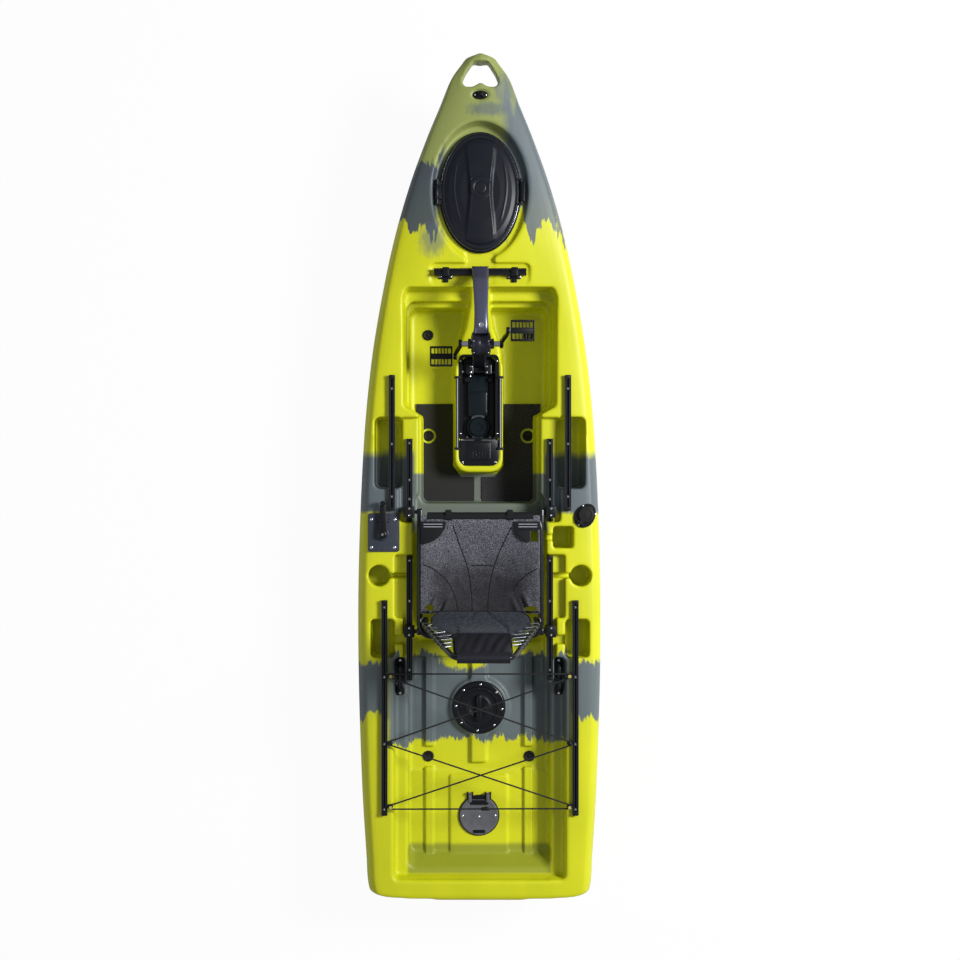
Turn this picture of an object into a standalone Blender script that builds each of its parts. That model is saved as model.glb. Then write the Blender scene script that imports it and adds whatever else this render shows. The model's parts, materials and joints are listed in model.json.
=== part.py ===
# Sit-on-top fishing kayak with a pedal drive, a hand-steered rudder and a folding seat.
# Metres, bow towards +Y, starboard towards +X, +Z up, keel on Z = 0, middle of the hull at X = Y = 0.
import math

import bmesh
import bpy
from mathutils import Matrix, Vector

# Hull
LENGTH = 3.05
BEAM = 0.888
SKIN = 0.0045
WALL = 0.004
GAP = 0.0003
DECK_Z = 0.33
BOW_RISE = 0.065
BOW_CROWN = 0.022
KEEL_RISE_BOW = 0.22
KEEL_RISE_STERN = 0.06
BEAK_LENGTH = 0.080
BEAK_DEPTH = 0.055
BOW_Y = LENGTH / 2
STERN_Y = -LENGTH / 2

# Cockpit levels and outlines
LEDGE_Z = 0.30
FOOT_Z = 0.115
SILL_Z = 0.22
SEAT_FLOOR_Z = 0.19
FOOT_FRONT_Y = 0.697
FOOT_HALF = 0.275
POD_FRONT_Y = 0.236
POD_INNER = 0.214
FOOT_AFT_Y = -0.088
SEAT_WELL_FRONT_Y = -0.153
SEAT_WELL_AFT_Y = -0.600
SEAT_WELL_HALF = 0.238
CONSOLE_TOP_Z = 0.205
CONSOLE_HALF = 0.081
CONSOLE_FRONT_Y = 0.468
CONSOLE_AFT_Y = 0.050
SLOT_HALF = 0.065

# Tank well
TANK_Z = 0.20
TANK_LEDGE_Z = 0.27
TANK_FRONT_Y = -0.642
TANK_AFT_Y = STERN_Y + 0.076
TANK_HALF = 0.312
TANK_FLOOR_HALF = 0.2625

# Side storage
TRAY_INNER = 0.280
TRAY_OUTER = 0.383
TRAY_FRONT_Y = 0.229
TRAY_AFT_Y = -0.032
TRAY_Z = 0.19
CUP_X = 0.366
CUP_Y = -0.347
CUP_RADIUS = 0.039
CUP_Z = 0.235
POCKET_INNER = 0.309
POCKET_OUTER = 0.397
POCKET_FRONT_Y = -0.504
POCKET_AFT_Y = -0.644
POCKET_Z = 0.22

# Hatches
HATCH_Y = BOW_Y - 0.490
HATCH_RECESS = (0.175, 0.2475)
HATCH_HOLE = (0.118, 0.186)
HATCH_FLOOR_Z = 0.345
LID_HALF = (0.1423, 0.2138)
LID_CROWN = 0.030
DECK_HATCH_Y = -0.840
DECK_HATCH_RADIUS = 0.098
DECK_HATCH_BORE = 0.072
REAR_HATCH_Y = STERN_Y + 0.286
REAR_HATCH_RADIUS = 0.0757
REAR_HATCH_BORE = 0.050

PAD_EYE_Y = BOW_Y - 0.151
PAD_EYE_Z = 0.398

# Drive
CROSSBAR_Y = FOOT_FRONT_Y + 0.051
CROSSBAR_HALF = 0.166
CROSSBAR_SIZE = 0.0244
LAND_Z = 0.340
LAND_HALF = CROSSBAR_HALF + 0.014
CRANK_Y = 0.4814
CRANK_Z = 0.45
CRANK_LENGTH = 0.130
CRANK_ANGLE = math.radians(75)
PEDAL_X = 0.140
PEDAL_WIDTH = 0.082
PEDAL_DEPTH = 0.073
DRUM_RADIUS = 0.042
DRUM_HALF = 0.040
PIVOT_Y = 0.418
PIVOT_Z = 0.105
GEARBOX_Y = 0.186
PROP_RADIUS = 0.125
PROP_POCKET_RADIUS = 0.140
PROP_POCKET_Z = 0.095
RUDDER_POCKET_RADIUS = 0.165
RUDDER_POCKET_Z = 0.100

# Tracks and rails
TRACK_WIDTH = 0.022
TRACK_HEIGHT = 0.014
RAIL_X = 0.255
FRONT_TRACK_X = 0.318
REAR_TRACK_X = 0.345
SCUPPER_RADIUS = 0.0145
SCUPPERS = {"front": (0.1885, 0.545, FOOT_Z), "middle": (0.1865, 0.166, FOOT_Z),
            "rear": (0.187, -1.023, TANK_Z)}

# Seat
SEAT_TUBE_X = 0.217
SEAT_TUBE_RADIUS = 0.011
SEAT_Z = 0.372
SEAT_FRONT_Y = -0.132
SEAT_REAR_Y = -0.560
CLAMP_FRONT_Y = -0.115
CLAMP_REAR_Y = -0.545
BACK_PIVOT_Y = -0.500
BACK_PIVOT_Z = 0.412
BACK_TUBE_X = 0.195
BACK_TUBE_RADIUS = 0.0095
BACK_LENGTH = 0.345
BACK_BEND = 0.060
BACK_SHOULDER = 0.130
BACK_TOP_X = 0.118
BACK_LEAN = math.radians(16)

# Steering and rod holder
PLATE_CENTRE = (-0.348, -0.190)
PLATE_SIZE = (0.114, 0.140)
LEVER_PIVOT = (-0.351, -0.196)
ROD_CENTRE = (BEAM / 2 - 0.061, -0.125)
ROD_TUBE_RADIUS = 0.024
ROD_TURN = math.radians(-35)

CLEAR_TOP = 0.60
CLEAR_BOTTOM = -0.10
COLOURS = {
    "hull_plastic": ((0.62, 0.66, 0.02), 0.45, 0.0),
    "black_plastic": ((0.02, 0.02, 0.022), 0.45, 0.0),
    "black_metal": ((0.025, 0.026, 0.03), 0.35, 0.8),
    "grey_metal": ((0.16, 0.16, 0.22), 0.3, 0.7),
    "steel": ((0.6, 0.6, 0.62), 0.25, 1.0),
    "foam": ((0.02, 0.02, 0.022), 0.85, 0.0),
    "mesh_fabric": ((0.06, 0.06, 0.07), 0.9, 0.0),
    "padded_fabric": ((0.03, 0.034, 0.05), 0.9, 0.0),
    "rubber": ((0.02, 0.02, 0.02), 0.7, 0.0),
    "elastic_cord": ((0.015, 0.015, 0.015), 0.8, 0.0),
    "grey_plastic": ((0.12, 0.115, 0.125), 0.5, 0.0),
}


def clear_scene():
    for old in list(bpy.data.objects):
        bpy.data.objects.remove(old, do_unlink=True)


def material(name):
    known = bpy.data.materials.get(name)
    if known is not None:
        return known
    colour, roughness, metallic = COLOURS[name]
    made = bpy.data.materials.new(name)
    made.use_nodes = True
    shader = made.node_tree.nodes["Principled BSDF"]
    shader.inputs["Base Color"].default_value = (*colour, 1.0)
    shader.inputs["Roughness"].default_value = roughness
    shader.inputs["Metallic"].default_value = metallic
    return made


def solid(name, verts, faces, finish="black_plastic", smooth=True):
    mesh = bpy.data.meshes.new(name)
    mesh.from_pydata([tuple(v) for v in verts], [], faces)
    work = bmesh.new()
    work.from_mesh(mesh)
    bmesh.ops.recalc_face_normals(work, faces=work.faces)
    if work.calc_volume(signed=True) < 0:
        bmesh.ops.reverse_faces(work, faces=work.faces)
    work.to_mesh(mesh)
    work.free()
    if smooth:
        mesh.shade_smooth()
        mesh.set_sharp_from_angle(angle=math.radians(35))
    mesh.materials.append(material(finish))
    made = bpy.data.objects.new(name, mesh)
    bpy.context.scene.collection.objects.link(made)
    return made


def loft(name, rings, finish="black_plastic", closed=False):
    count = len(rings[0])
    verts = [point for ring in rings for point in ring]
    faces = []
    spans = len(rings) if closed else len(rings) - 1
    for i in range(spans):
        a = i * count
        b = ((i + 1) % len(rings)) * count
        for j in range(count):
            k = (j + 1) % count
            faces.append((a + j, a + k, b + k, b + j))
    if not closed:
        faces.append(tuple(range(count - 1, -1, -1)))
        faces.append(tuple(range(len(verts) - count, len(verts))))
    return solid(name, verts, faces, finish)


def triangulate(mesh):
    work = bmesh.new()
    work.from_mesh(mesh)
    bmesh.ops.dissolve_degenerate(work, edges=work.edges, dist=1e-6)
    bmesh.ops.triangulate(work, faces=[face for face in work.faces if len(face.verts) > 3])
    work.to_mesh(mesh)
    work.free()


def merge_flat_faces(mesh):
    """Joins the flat pieces that cutting leaves, then splits what remains into triangles."""
    work = bmesh.new()
    work.from_mesh(mesh)
    bmesh.ops.dissolve_limit(work, angle_limit=math.radians(0.4), verts=work.verts, edges=work.edges)
    bmesh.ops.triangulate(work, faces=[face for face in work.faces if len(face.verts) > 3])
    work.to_mesh(mesh)
    work.free()


def combine(base, others, operation):
    for other in others:
        step = base.modifiers.new("step", "BOOLEAN")
        step.operation = operation
        step.solver = "EXACT"
        step.object = other
        graph = bpy.context.evaluated_depsgraph_get()
        graph.update()
        result = bpy.data.meshes.new_from_object(base.evaluated_get(graph))
        triangulate(result)
        base.modifiers.clear()
        old = base.data
        base.data = result
        bpy.data.meshes.remove(old)
        bpy.data.objects.remove(other, do_unlink=True)
    merge_flat_faces(base.data)
    base.data.name = base.name
    return base


def cut(base, *others):
    return combine(base, others, "DIFFERENCE")


def fuse(base, *others):
    return combine(base, others, "UNION")


def rect(x0, x1, y0, y1):
    return [(x0, y0), (x1, y0), (x1, y1), (x0, y1)]


def ellipse(half_x, half_y, centre=(0.0, 0.0), count=32):
    step = 2 * math.pi / count
    return [(centre[0] + half_x * math.cos(i * step),
             centre[1] + half_y * math.sin(i * step)) for i in range(count)]


def mirrored(corners):
    return [(-x, y) for x, y in reversed(corners)]


def grow(corners, amount):
    """Moves each edge of a counter-clockwise outline outwards."""
    count = len(corners)
    grown = []
    for i in range(count):
        before = Vector(corners[i - 1])
        here = Vector(corners[i])
        after = Vector(corners[(i + 1) % count])
        first = (here - before).normalized()
        second = (after - here).normalized()
        normal_1 = Vector((first.y, -first.x))
        normal_2 = Vector((second.y, -second.x))
        middle = (normal_1 + normal_2) / (1 + normal_1.dot(normal_2))
        grown.append(tuple(here + middle * amount))
    return grown


def rounded(corners, radius, steps=3):
    """Replaces each corner of an outline by an arc of the radius, as far as its edges allow."""
    count = len(corners)
    points = []
    for i in range(count):
        before = Vector(corners[i - 1])
        here = Vector(corners[i])
        after = Vector(corners[(i + 1) % count])
        back = (before - here)
        ahead = (after - here)
        half_angle = back.angle(ahead) / 2
        reach = min(radius / math.tan(half_angle), 0.49 * back.length, 0.49 * ahead.length)
        true_radius = reach * math.tan(half_angle)
        start = here + back.normalized() * reach
        end = here + ahead.normalized() * reach
        bisector = (back.normalized() + ahead.normalized()).normalized()
        centre = here + bisector * (true_radius / math.sin(half_angle))
        arm_1 = start - centre
        arm_2 = end - centre
        turn = arm_1.angle_signed(arm_2)
        for s in range(steps + 1):
            angle = -turn * s / steps
            spun = Vector((arm_1.x * math.cos(angle) - arm_1.y * math.sin(angle),
                           arm_1.x * math.sin(angle) + arm_1.y * math.cos(angle)))
            points.append(tuple(centre + spun))
    return points


def at_height(points, z):
    return [(x, y, z) for x, y in points]


def prism(name, points, z0, z1, finish="black_plastic"):
    return loft(name, [at_height(points, z0), at_height(points, z1)], finish)


def block(name, x0, x1, y0, y1, z0, z1, finish="black_plastic"):
    return prism(name, rect(x0, x1, y0, y1), z0, z1, finish)


def frame_of(axis):
    direction = Vector(axis).normalized()
    helper = Vector((0, 0, 1)) if abs(direction.z) < 0.9 else Vector((0, 1, 0))
    side = helper.cross(direction).normalized()
    return direction, side, direction.cross(side)


def lathe(name, centre, axis, profile, finish="black_plastic", count=24):
    """Turns (radius, distance along the axis) points; the ends are closed flat."""
    direction, side, up = frame_of(axis)
    origin = Vector(centre)
    step = 2 * math.pi / count
    rings = []
    for radius, along in profile:
        ring = []
        for i in range(count):
            spoke = side * math.cos(i * step) + up * math.sin(i * step)
            ring.append(origin + direction * along + spoke * radius)
        rings.append(ring)
    return loft(name, rings, finish)


def rod(name, start, end, radius, finish="black_plastic", count=12):
    span = Vector(end) - Vector(start)
    return lathe(name, start, span, [(radius, 0.0), (radius, span.length)], finish, count)


def sweep(name, points, radius, finish="black_metal", sides=8, closed=False):
    """A round tube along a route, its section carried without twist."""
    route = [Vector(p) for p in points]
    count = len(route)
    rings = []
    up = None
    for i in range(count):
        before = route[i - 1] if (i > 0 or closed) else route[i]
        after = route[(i + 1) % count] if (i < count - 1 or closed) else route[i]
        direction = (after - before).normalized()
        if up is None:
            up = frame_of(direction)[2]
        up = (up - direction * up.dot(direction)).normalized()
        side = direction.cross(up)
        step = 2 * math.pi / sides
        rings.append([route[i] + side * radius * math.cos(k * step) + up * radius * math.sin(k * step)
                      for k in range(sides)])
    return loft(name, rings, finish, closed)


def soft_route(corners, radius, steps=4, closed=False):
    """A route through space whose corners are rounded."""
    points = []
    count = len(corners)
    for i in range(count):
        here = Vector(corners[i])
        if not closed and i in (0, count - 1):
            points.append(tuple(here))
            continue
        back = Vector(corners[i - 1]) - here
        ahead = Vector(corners[(i + 1) % count]) - here
        reach = min(radius, 0.45 * back.length, 0.45 * ahead.length)
        start = here + back.normalized() * reach
        end = here + ahead.normalized() * reach
        for s in range(steps + 1):
            t = s / steps
            points.append(tuple(start * (1 - t) ** 2 + here * 2 * t * (1 - t) + end * t ** 2))
    return points


def cord(name, points, radius, resolution, closed=False, finish="elastic_cord"):
    data = bpy.data.curves.new(name, "CURVE")
    data.dimensions = "3D"
    data.bevel_depth = radius
    data.bevel_resolution = resolution
    data.resolution_u = 1
    data.render_resolution_u = 0
    data.use_fill_caps = not closed
    spline = data.splines.new("POLY")
    spline.points.add(len(points) - 1)
    for point, place in zip(spline.points, points):
        point.co = (*place, 1.0)
    spline.use_cyclic_u = closed
    data.materials.append(material(finish))
    made = bpy.data.objects.new(name, data)
    bpy.context.scene.collection.objects.link(made)
    return made


def smooth_step(value):
    t = min(max(value, 0.0), 1.0)
    return t * t * (3 - 2 * t)


# Half width of the hull from stern (-1) to bow (1), both as shares of half the length and half the beam.
PLAN = [(-1.0, 0.40), (-0.995, 0.72), (-0.988, 0.86), (-0.975, 0.91), (-0.90, 0.933), (-0.72, 0.971),
        (-0.43, 1.0), (-0.19, 0.996), (0.09, 0.955), (0.28, 0.894), (0.42, 0.817), (0.565, 0.712),
        (0.70, 0.578), (0.81, 0.437), (0.885, 0.326), (0.918, 0.276), (0.948, 0.223), (0.976, 0.151),
        (0.990, 0.095), (1.0, 0.045)]


def half_width(y):
    """The plan's half width at a station, on a smooth curve through its points."""
    share = y / (LENGTH / 2)
    last = len(PLAN) - 1
    i = 0
    while i < last - 1 and share > PLAN[i + 1][0]:
        i += 1
    (x1, w1), (x2, w2) = PLAN[i], PLAN[i + 1]
    x0, w0 = PLAN[max(i - 1, 0)]
    x3, w3 = PLAN[min(i + 2, last)]
    t = min(max((share - x1) / (x2 - x1), 0.0), 1.0)
    slope_1 = (w2 - w0) / (x2 - x0) * (x2 - x1)
    slope_2 = (w3 - w1) / (x3 - x1) * (x2 - x1)
    cube = t ** 3
    square = t ** 2
    value = (2 * cube - 3 * square + 1) * w1 + (cube - 2 * square + t) * slope_1
    value += (3 * square - 2 * cube) * w2 + (cube - square) * slope_2
    return value * BEAM / 2


def keel_z(y):
    """The keel's height; at the bow it steps up under the beak that holds the carry handle."""
    bow = max(y - (BOW_Y - 0.475), 0.0) / 0.475
    stern = max((STERN_Y + 0.375) - y, 0.0) / 0.375
    keel = KEEL_RISE_BOW * bow ** 2.2 + KEEL_RISE_STERN * stern ** 1.6
    beak = smooth_step((y - (BOW_Y - BEAK_LENGTH - 0.095)) / 0.095)
    return keel + (sheer_z(y) - BEAK_DEPTH - keel) * beak


def sheer_z(y):
    rise = max(y - (BOW_Y - 1.025), 0.0) / 1.025
    return DECK_Z + BOW_RISE * rise ** 1.3


def crown_z(y):
    return BOW_CROWN * smooth_step((y - (BOW_Y - 0.975)) / 0.4)


# One side of a section from the keel to the deck's middle: share of the half width, share of the depth
# amidships, and the share of the depth that the entry at the bow adds.
SECTION = [(0.15, 0.0, 0.0), (0.30, 0.065, 0.10), (0.46, 0.065, 0.16), (0.56, 0.0, 0.22), (0.72, 0.0, 0.30),
           (0.86, 0.10, 0.32), (0.945, 0.32, 0.28), (0.985, 0.60, 0.16), (1.0, 0.80, 0.05),
           (0.985, 0.93, 0.0), (0.945, 1.0, 0.0)]
BOW_ENTRY_LENGTH = 0.75


def section(y, inset=0.0):
    """A closed section of the hull at a station, as (x, y, z), the keel first."""
    width = half_width(y) - inset
    low = keel_z(y) + inset
    high = sheer_z(y) - inset
    depth = high - low
    entry = smooth_step((y - (BOW_Y - BOW_ENTRY_LENGTH)) / BOW_ENTRY_LENGTH)
    half = [(width * wide, low + depth * (tall + entry * more)) for wide, tall, more in SECTION]
    half.append((width * 0.5, high + crown_z(y) * 0.8))
    right = [(x, y, z) for x, z in half]
    left = [(-x, y, z) for x, z in reversed(half)]
    return [(0.0, y, low), *right, (0.0, y, high + crown_z(y)), *left]


def hull_stations():
    return [share * LENGTH / 2 for share, _ in PLAN]


def squeezed(ring, share):
    """Draws a section's height in around its middle, for the rounded ends."""
    low = min(p[2] for p in ring)
    high = max(p[2] for p in ring)
    middle = (low + high) / 2
    return [(x, y, middle + (z - middle) * share) for x, y, z in ring]


def well(name, rim, floor, rim_z, floor_z, top_z=CLEAR_TOP):
    """A cutter for a recess with sloping walls; it goes straight up from its rim."""
    return loft(name, [at_height(floor, floor_z), at_height(rim, rim_z), at_height(rim, top_z)])


def foot_rim():
    right = [(POD_INNER, FOOT_AFT_Y), (POD_INNER, POD_FRONT_Y), (FOOT_HALF, POD_FRONT_Y + 0.03),
             (FOOT_HALF, FOOT_FRONT_Y - 0.07), (FOOT_HALF - 0.045, FOOT_FRONT_Y)]
    return right + [(-x, y) for x, y in reversed(right)]


def foot_lower():
    floor_half = FOOT_HALF - 0.017
    front = FOOT_FRONT_Y - 0.060
    right = [(POD_INNER - 0.002, FOOT_AFT_Y + 0.002), (POD_INNER - 0.002, POD_FRONT_Y - 0.003),
             (floor_half, POD_FRONT_Y + 0.024), (floor_half, front - 0.06), (floor_half - 0.045, front)]
    return right + [(-x, y) for x, y in reversed(right)]


def deck_recesses():
    """Every recess: name, corners, corner radius, how far the floor draws in, rim height, floor height."""
    cockpit = rect(-SEAT_WELL_HALF, SEAT_WELL_HALF, TANK_FRONT_Y - 0.05, FOOT_AFT_Y + 0.04)
    rail_front = rect(RAIL_X - 0.062, TRAY_INNER + 0.012, SEAT_WELL_FRONT_Y, POD_FRONT_Y - 0.01)
    rail_rear = rect(RAIL_X - 0.045, POCKET_INNER - 0.0005, -0.500, -0.270)
    rail_aft = rect(RAIL_X - 0.045, RAIL_X + 0.022, TANK_FRONT_Y - 0.02, -0.480)
    tank_rim = rect(-TANK_HALF, TANK_HALF, TANK_AFT_Y, TANK_FRONT_Y)
    tray = rect(TRAY_INNER, TRAY_OUTER, TRAY_AFT_Y, TRAY_FRONT_Y)
    pocket = rect(POCKET_INNER, POCKET_OUTER, POCKET_AFT_Y, POCKET_FRONT_Y)
    pocket_channel = rect(RAIL_X, POCKET_INNER + 0.02, -0.594, -0.561)
    cup = ellipse(CUP_RADIUS, CUP_RADIUS, (CUP_X, CUP_Y), 16)
    cup_channel = rect(RAIL_X + 0.03, CUP_X, CUP_Y - 0.009, CUP_Y + 0.009)
    neck = rect(-0.052, 0.052, FOOT_FRONT_Y + 0.01, HATCH_Y - HATCH_RECESS[1] + 0.03)
    seat_well = rect(-SEAT_WELL_HALF, SEAT_WELL_HALF, SEAT_WELL_AFT_Y, SEAT_WELL_FRONT_Y)
    hatch = ellipse(*HATCH_RECESS, (0.0, HATCH_Y), 28)
    land = rect(-LAND_HALF, LAND_HALF, FOOT_FRONT_Y + 0.008, CROSSBAR_Y + 0.034)
    recesses = [
        ("hatch_recess", hatch, 0.0, 0.008, DECK_Z + 0.04, HATCH_FLOOR_Z),
        ("pad_eye_seat", ellipse(0.031, 0.020, (0.0, PAD_EYE_Y), 16), 0.0, 0.001, 0.41, PAD_EYE_Z),
        ("land", land, 0.02, 0.004, 0.36, LAND_Z),
        ("neck", neck, 0.01, 0.004, 0.36, LAND_Z),
        ("foot_upper", foot_rim(), 0.03, 0.010, DECK_Z, 0.245),
        ("foot_lower", foot_lower(), 0.02, 0.004, 0.245, FOOT_Z),
        ("cockpit", cockpit, 0.03, 0.002, DECK_Z, SILL_Z),
        ("seat_well", seat_well, 0.03, 0.012, SILL_Z, SEAT_FLOOR_Z),
        ("tank_upper", tank_rim, 0.02, 0.006, DECK_Z, TANK_LEDGE_Z),
        ("square_recess", rect(0.265, 0.339, -0.247, -0.168), 0.012, 0.004, DECK_Z, 0.25),
        ("square_channel", rect(0.225, 0.275, -0.219, -0.197), 0.004, 0.001, DECK_Z, LEDGE_Z),
    ]
    for side, turn in (("right", list), ("left", mirrored)):
        recesses += [
            ("rail_front_" + side, turn(rail_front), 0.015, 0.002, DECK_Z, LEDGE_Z),
            ("rail_rear_" + side, turn(rail_rear), 0.010, 0.002, DECK_Z, LEDGE_Z),
            ("rail_aft_" + side, turn(rail_aft), 0.008, 0.002, DECK_Z, LEDGE_Z),
            ("tray_" + side, turn(tray), 0.022, 0.008, DECK_Z, TRAY_Z),
            ("pocket_" + side, turn(pocket), 0.015, 0.006, DECK_Z, POCKET_Z),
            ("pocket_channel_" + side, turn(pocket_channel), 0.006, 0.001, DECK_Z, LEDGE_Z),
            ("cup_" + side, turn(cup), 0.0, 0.003, DECK_Z, CUP_Z),
            ("cup_channel_" + side, turn(cup_channel), 0.004, 0.001, DECK_Z, LEDGE_Z),
        ]
    return recesses


def recess_cutter(recess, spare=0.0, steps=3):
    """Spare is the wall that stays around a recess when its cutter shapes the hollow inside."""
    name, corners, radius, draw, rim_z, floor_z = recess
    if spare > 0 and radius == 0 and len(corners) < 20:
        corners = corners[::2]
    rim = grow(corners, spare)
    floor = grow(corners, spare - draw)
    if radius > 0:
        steps = steps if radius > 0.018 else 2
        rim = rounded(rim, radius + spare, steps)
        floor = rounded(floor, radius + spare, steps)
    return well(name, rim, floor, rim_z, floor_z - spare)


def tank_floor_cutter(spare=0.0, steps=3):
    """The tank well's floor, with a ramp up to the after deck."""
    rim = grow(rect(-TANK_FLOOR_HALF, TANK_FLOOR_HALF, TANK_AFT_Y + 0.004, TANK_FRONT_Y - 0.004), spare)
    half = TANK_FLOOR_HALF - 0.006
    floor = grow(rect(-half, half, TANK_AFT_Y + 0.078, TANK_FRONT_Y - 0.012), spare)
    return well("tank_floor", rounded(rim, 0.03 + spare, steps), rounded(floor, 0.03 + spare, steps),
                TANK_LEDGE_Z + 0.03, TANK_Z - spare)


def console():
    """The raised middle of the footwells, which carries the drive slot's coaming."""
    stations = [(FOOT_FRONT_Y + 0.004, 0.034, 0.330), (FOOT_FRONT_Y - 0.06, 0.036, 0.290),
                (FOOT_FRONT_Y - 0.137, 0.050, 0.245),
                (CONSOLE_FRONT_Y + 0.02, CONSOLE_HALF - 0.004, CONSOLE_TOP_Z + 0.004),
                (CONSOLE_FRONT_Y, CONSOLE_HALF, CONSOLE_TOP_Z),
                (CONSOLE_AFT_Y, CONSOLE_HALF, CONSOLE_TOP_Z),
                (CONSOLE_AFT_Y - 0.015, CONSOLE_HALF - 0.012, CONSOLE_TOP_Z - 0.002),
                (CONSOLE_AFT_Y - 0.022, CONSOLE_HALF - 0.035, CONSOLE_TOP_Z - 0.006)]
    foot = 0.010
    low = FOOT_Z - WALL / 2
    rings = []
    for y, half, top in stations:
        rings.append([(-half - foot, y, low), (half + foot, y, low), (half, y, top - 0.006),
                      (half - 0.006, y, top), (-half + 0.006, y, top), (-half, y, top - 0.006)])
    return loft("console", rings)


def raised_parts():
    """Ribs, bosses and posts that stand on the tank well's floor and ledges."""
    low = TANK_Z - WALL / 2
    parts = []
    rib_top = TANK_Z + 0.012
    for side in (-1, 1):
        inner, outer = sorted((side * 0.168, side * 0.200))
        front_rib = rect(inner, outer, -0.985, TANK_FRONT_Y - 0.04)
        parts.append(prism("rib", rounded(front_rib, 0.010, 2), low, rib_top))
        parts.append(prism("rib", rounded(rect(inner, outer, -1.300, -1.061), 0.010, 2), low, rib_top))
        inner, outer = sorted((side * 0.240, side * 0.272))
        post = rect(inner, outer, -0.738, TANK_FRONT_Y + 0.01)
        parts.append(prism("post", rounded(post, 0.006, 2), low, LEDGE_Z))
    ridge = rect(-0.029, 0.029, -1.045, TANK_FRONT_Y + 0.01)
    parts.append(prism("ridge", rounded(ridge, 0.008, 2), low, rib_top))
    panel = rect(-0.108, 0.108, TANK_AFT_Y + 0.085, -1.090)
    parts.append(prism("panel", rounded(panel, 0.02, 3), low, rib_top + 0.002))
    boss = ellipse(DECK_HATCH_RADIUS + 0.010, DECK_HATCH_RADIUS + 0.010, (0.0, DECK_HATCH_Y), 24)
    parts.append(prism("boss", boss, low, rib_top + 0.002))
    return parts


HATCH_SEAT_Z = TANK_Z + 0.014


def handle_hole():
    """The moulded carry-handle opening at the bow: a rounded triangle with a bump on its after edge."""
    tip = BOW_Y - 0.031
    base = tip - 0.074
    corners = [(-0.058, base + 0.004), (-0.022, base), (0.0, base + 0.014), (0.022, base),
               (0.058, base + 0.004), (0.012, tip), (-0.012, tip)]
    return rounded(corners, 0.010, 3)


def slot_outline(spare=0.0):
    corners = grow(rect(-SLOT_HALF, SLOT_HALF, CONSOLE_AFT_Y + 0.010, CONSOLE_FRONT_Y - 0.010), spare)
    return rounded(corners, 0.03 + spare, 3)


def pocket_outline(spare=0.0):
    """The propeller's pocket in plan: round aft, drawn out forwards where the blades swing down."""
    radius = PROP_POCKET_RADIUS + spare
    points = []
    count = 18
    for i in range(count):
        angle = 2 * math.pi * (i + 0.5) / count
        forward = 0.05 if math.sin(angle) > 0 else 0.0
        points.append((radius * math.cos(angle), GEARBOX_Y + forward + radius * math.sin(angle)))
    return points


def scupper_places():
    for name, (x, y, z) in SCUPPERS.items():
        for side, sign in (("left", -1), ("right", 1)):
            yield name + "_" + side, sign * x, y, z


def make_cavity():
    """The hollow inside the shell, which the wells, the slot and the pockets leave free."""
    shares = [-0.970, -0.90, -0.72, -0.43, -0.19, 0.09, 0.28, 0.42, 0.565, 0.70, 0.81, 0.875]
    rings = [section(share * LENGTH / 2, SKIN) for share in shares]
    rings[-1] = squeezed(rings[-1], 0.9)
    cavity = loft("cavity", rings)
    triangulate(cavity.data)
    merged = ("square_channel", "cup_channel", "pocket_channel", "rail", "land", "neck")
    kept = [recess for recess in deck_recesses() if not recess[0].startswith(merged)]
    cutters = [recess_cutter(recess, WALL, 2) for recess in kept]
    ledges = rect(-POCKET_INNER - WALL, POCKET_INNER + WALL, TANK_FRONT_Y - 0.03, POD_FRONT_Y - 0.004)
    cutters.append(prism("ledges", ledges, LEDGE_Z - WALL, CLEAR_TOP))
    land_half = LAND_HALF + 0.006
    land = rect(-land_half, land_half, FOOT_FRONT_Y - 0.01, HATCH_Y - HATCH_RECESS[1] + 0.035)
    cutters.append(prism("land", land, LAND_Z - WALL, CLEAR_TOP))
    cutters.append(tank_floor_cutter(WALL, 2))
    cutters.append(prism("slot", slot_outline(0.0165), CLEAR_BOTTOM, CLEAR_TOP))
    cutters.append(prism("pocket", pocket_outline(WALL), CLEAR_BOTTOM, FOOT_Z + 0.002))
    disc = ellipse(RUDDER_POCKET_RADIUS + WALL, RUDDER_POCKET_RADIUS + WALL, (0.0, REAR_HATCH_Y), 20)
    cutters.append(prism("rudder_pocket", disc, CLEAR_BOTTOM, RUDDER_POCKET_Z + WALL))
    for name, x, y, z in scupper_places():
        boss = ellipse(SCUPPER_RADIUS + 0.008, SCUPPER_RADIUS + 0.008, (x, y), 8)
        cutters.append(prism("scupper", boss, CLEAR_BOTTOM, CLEAR_TOP))
    return cut(cavity, *cutters)


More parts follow.
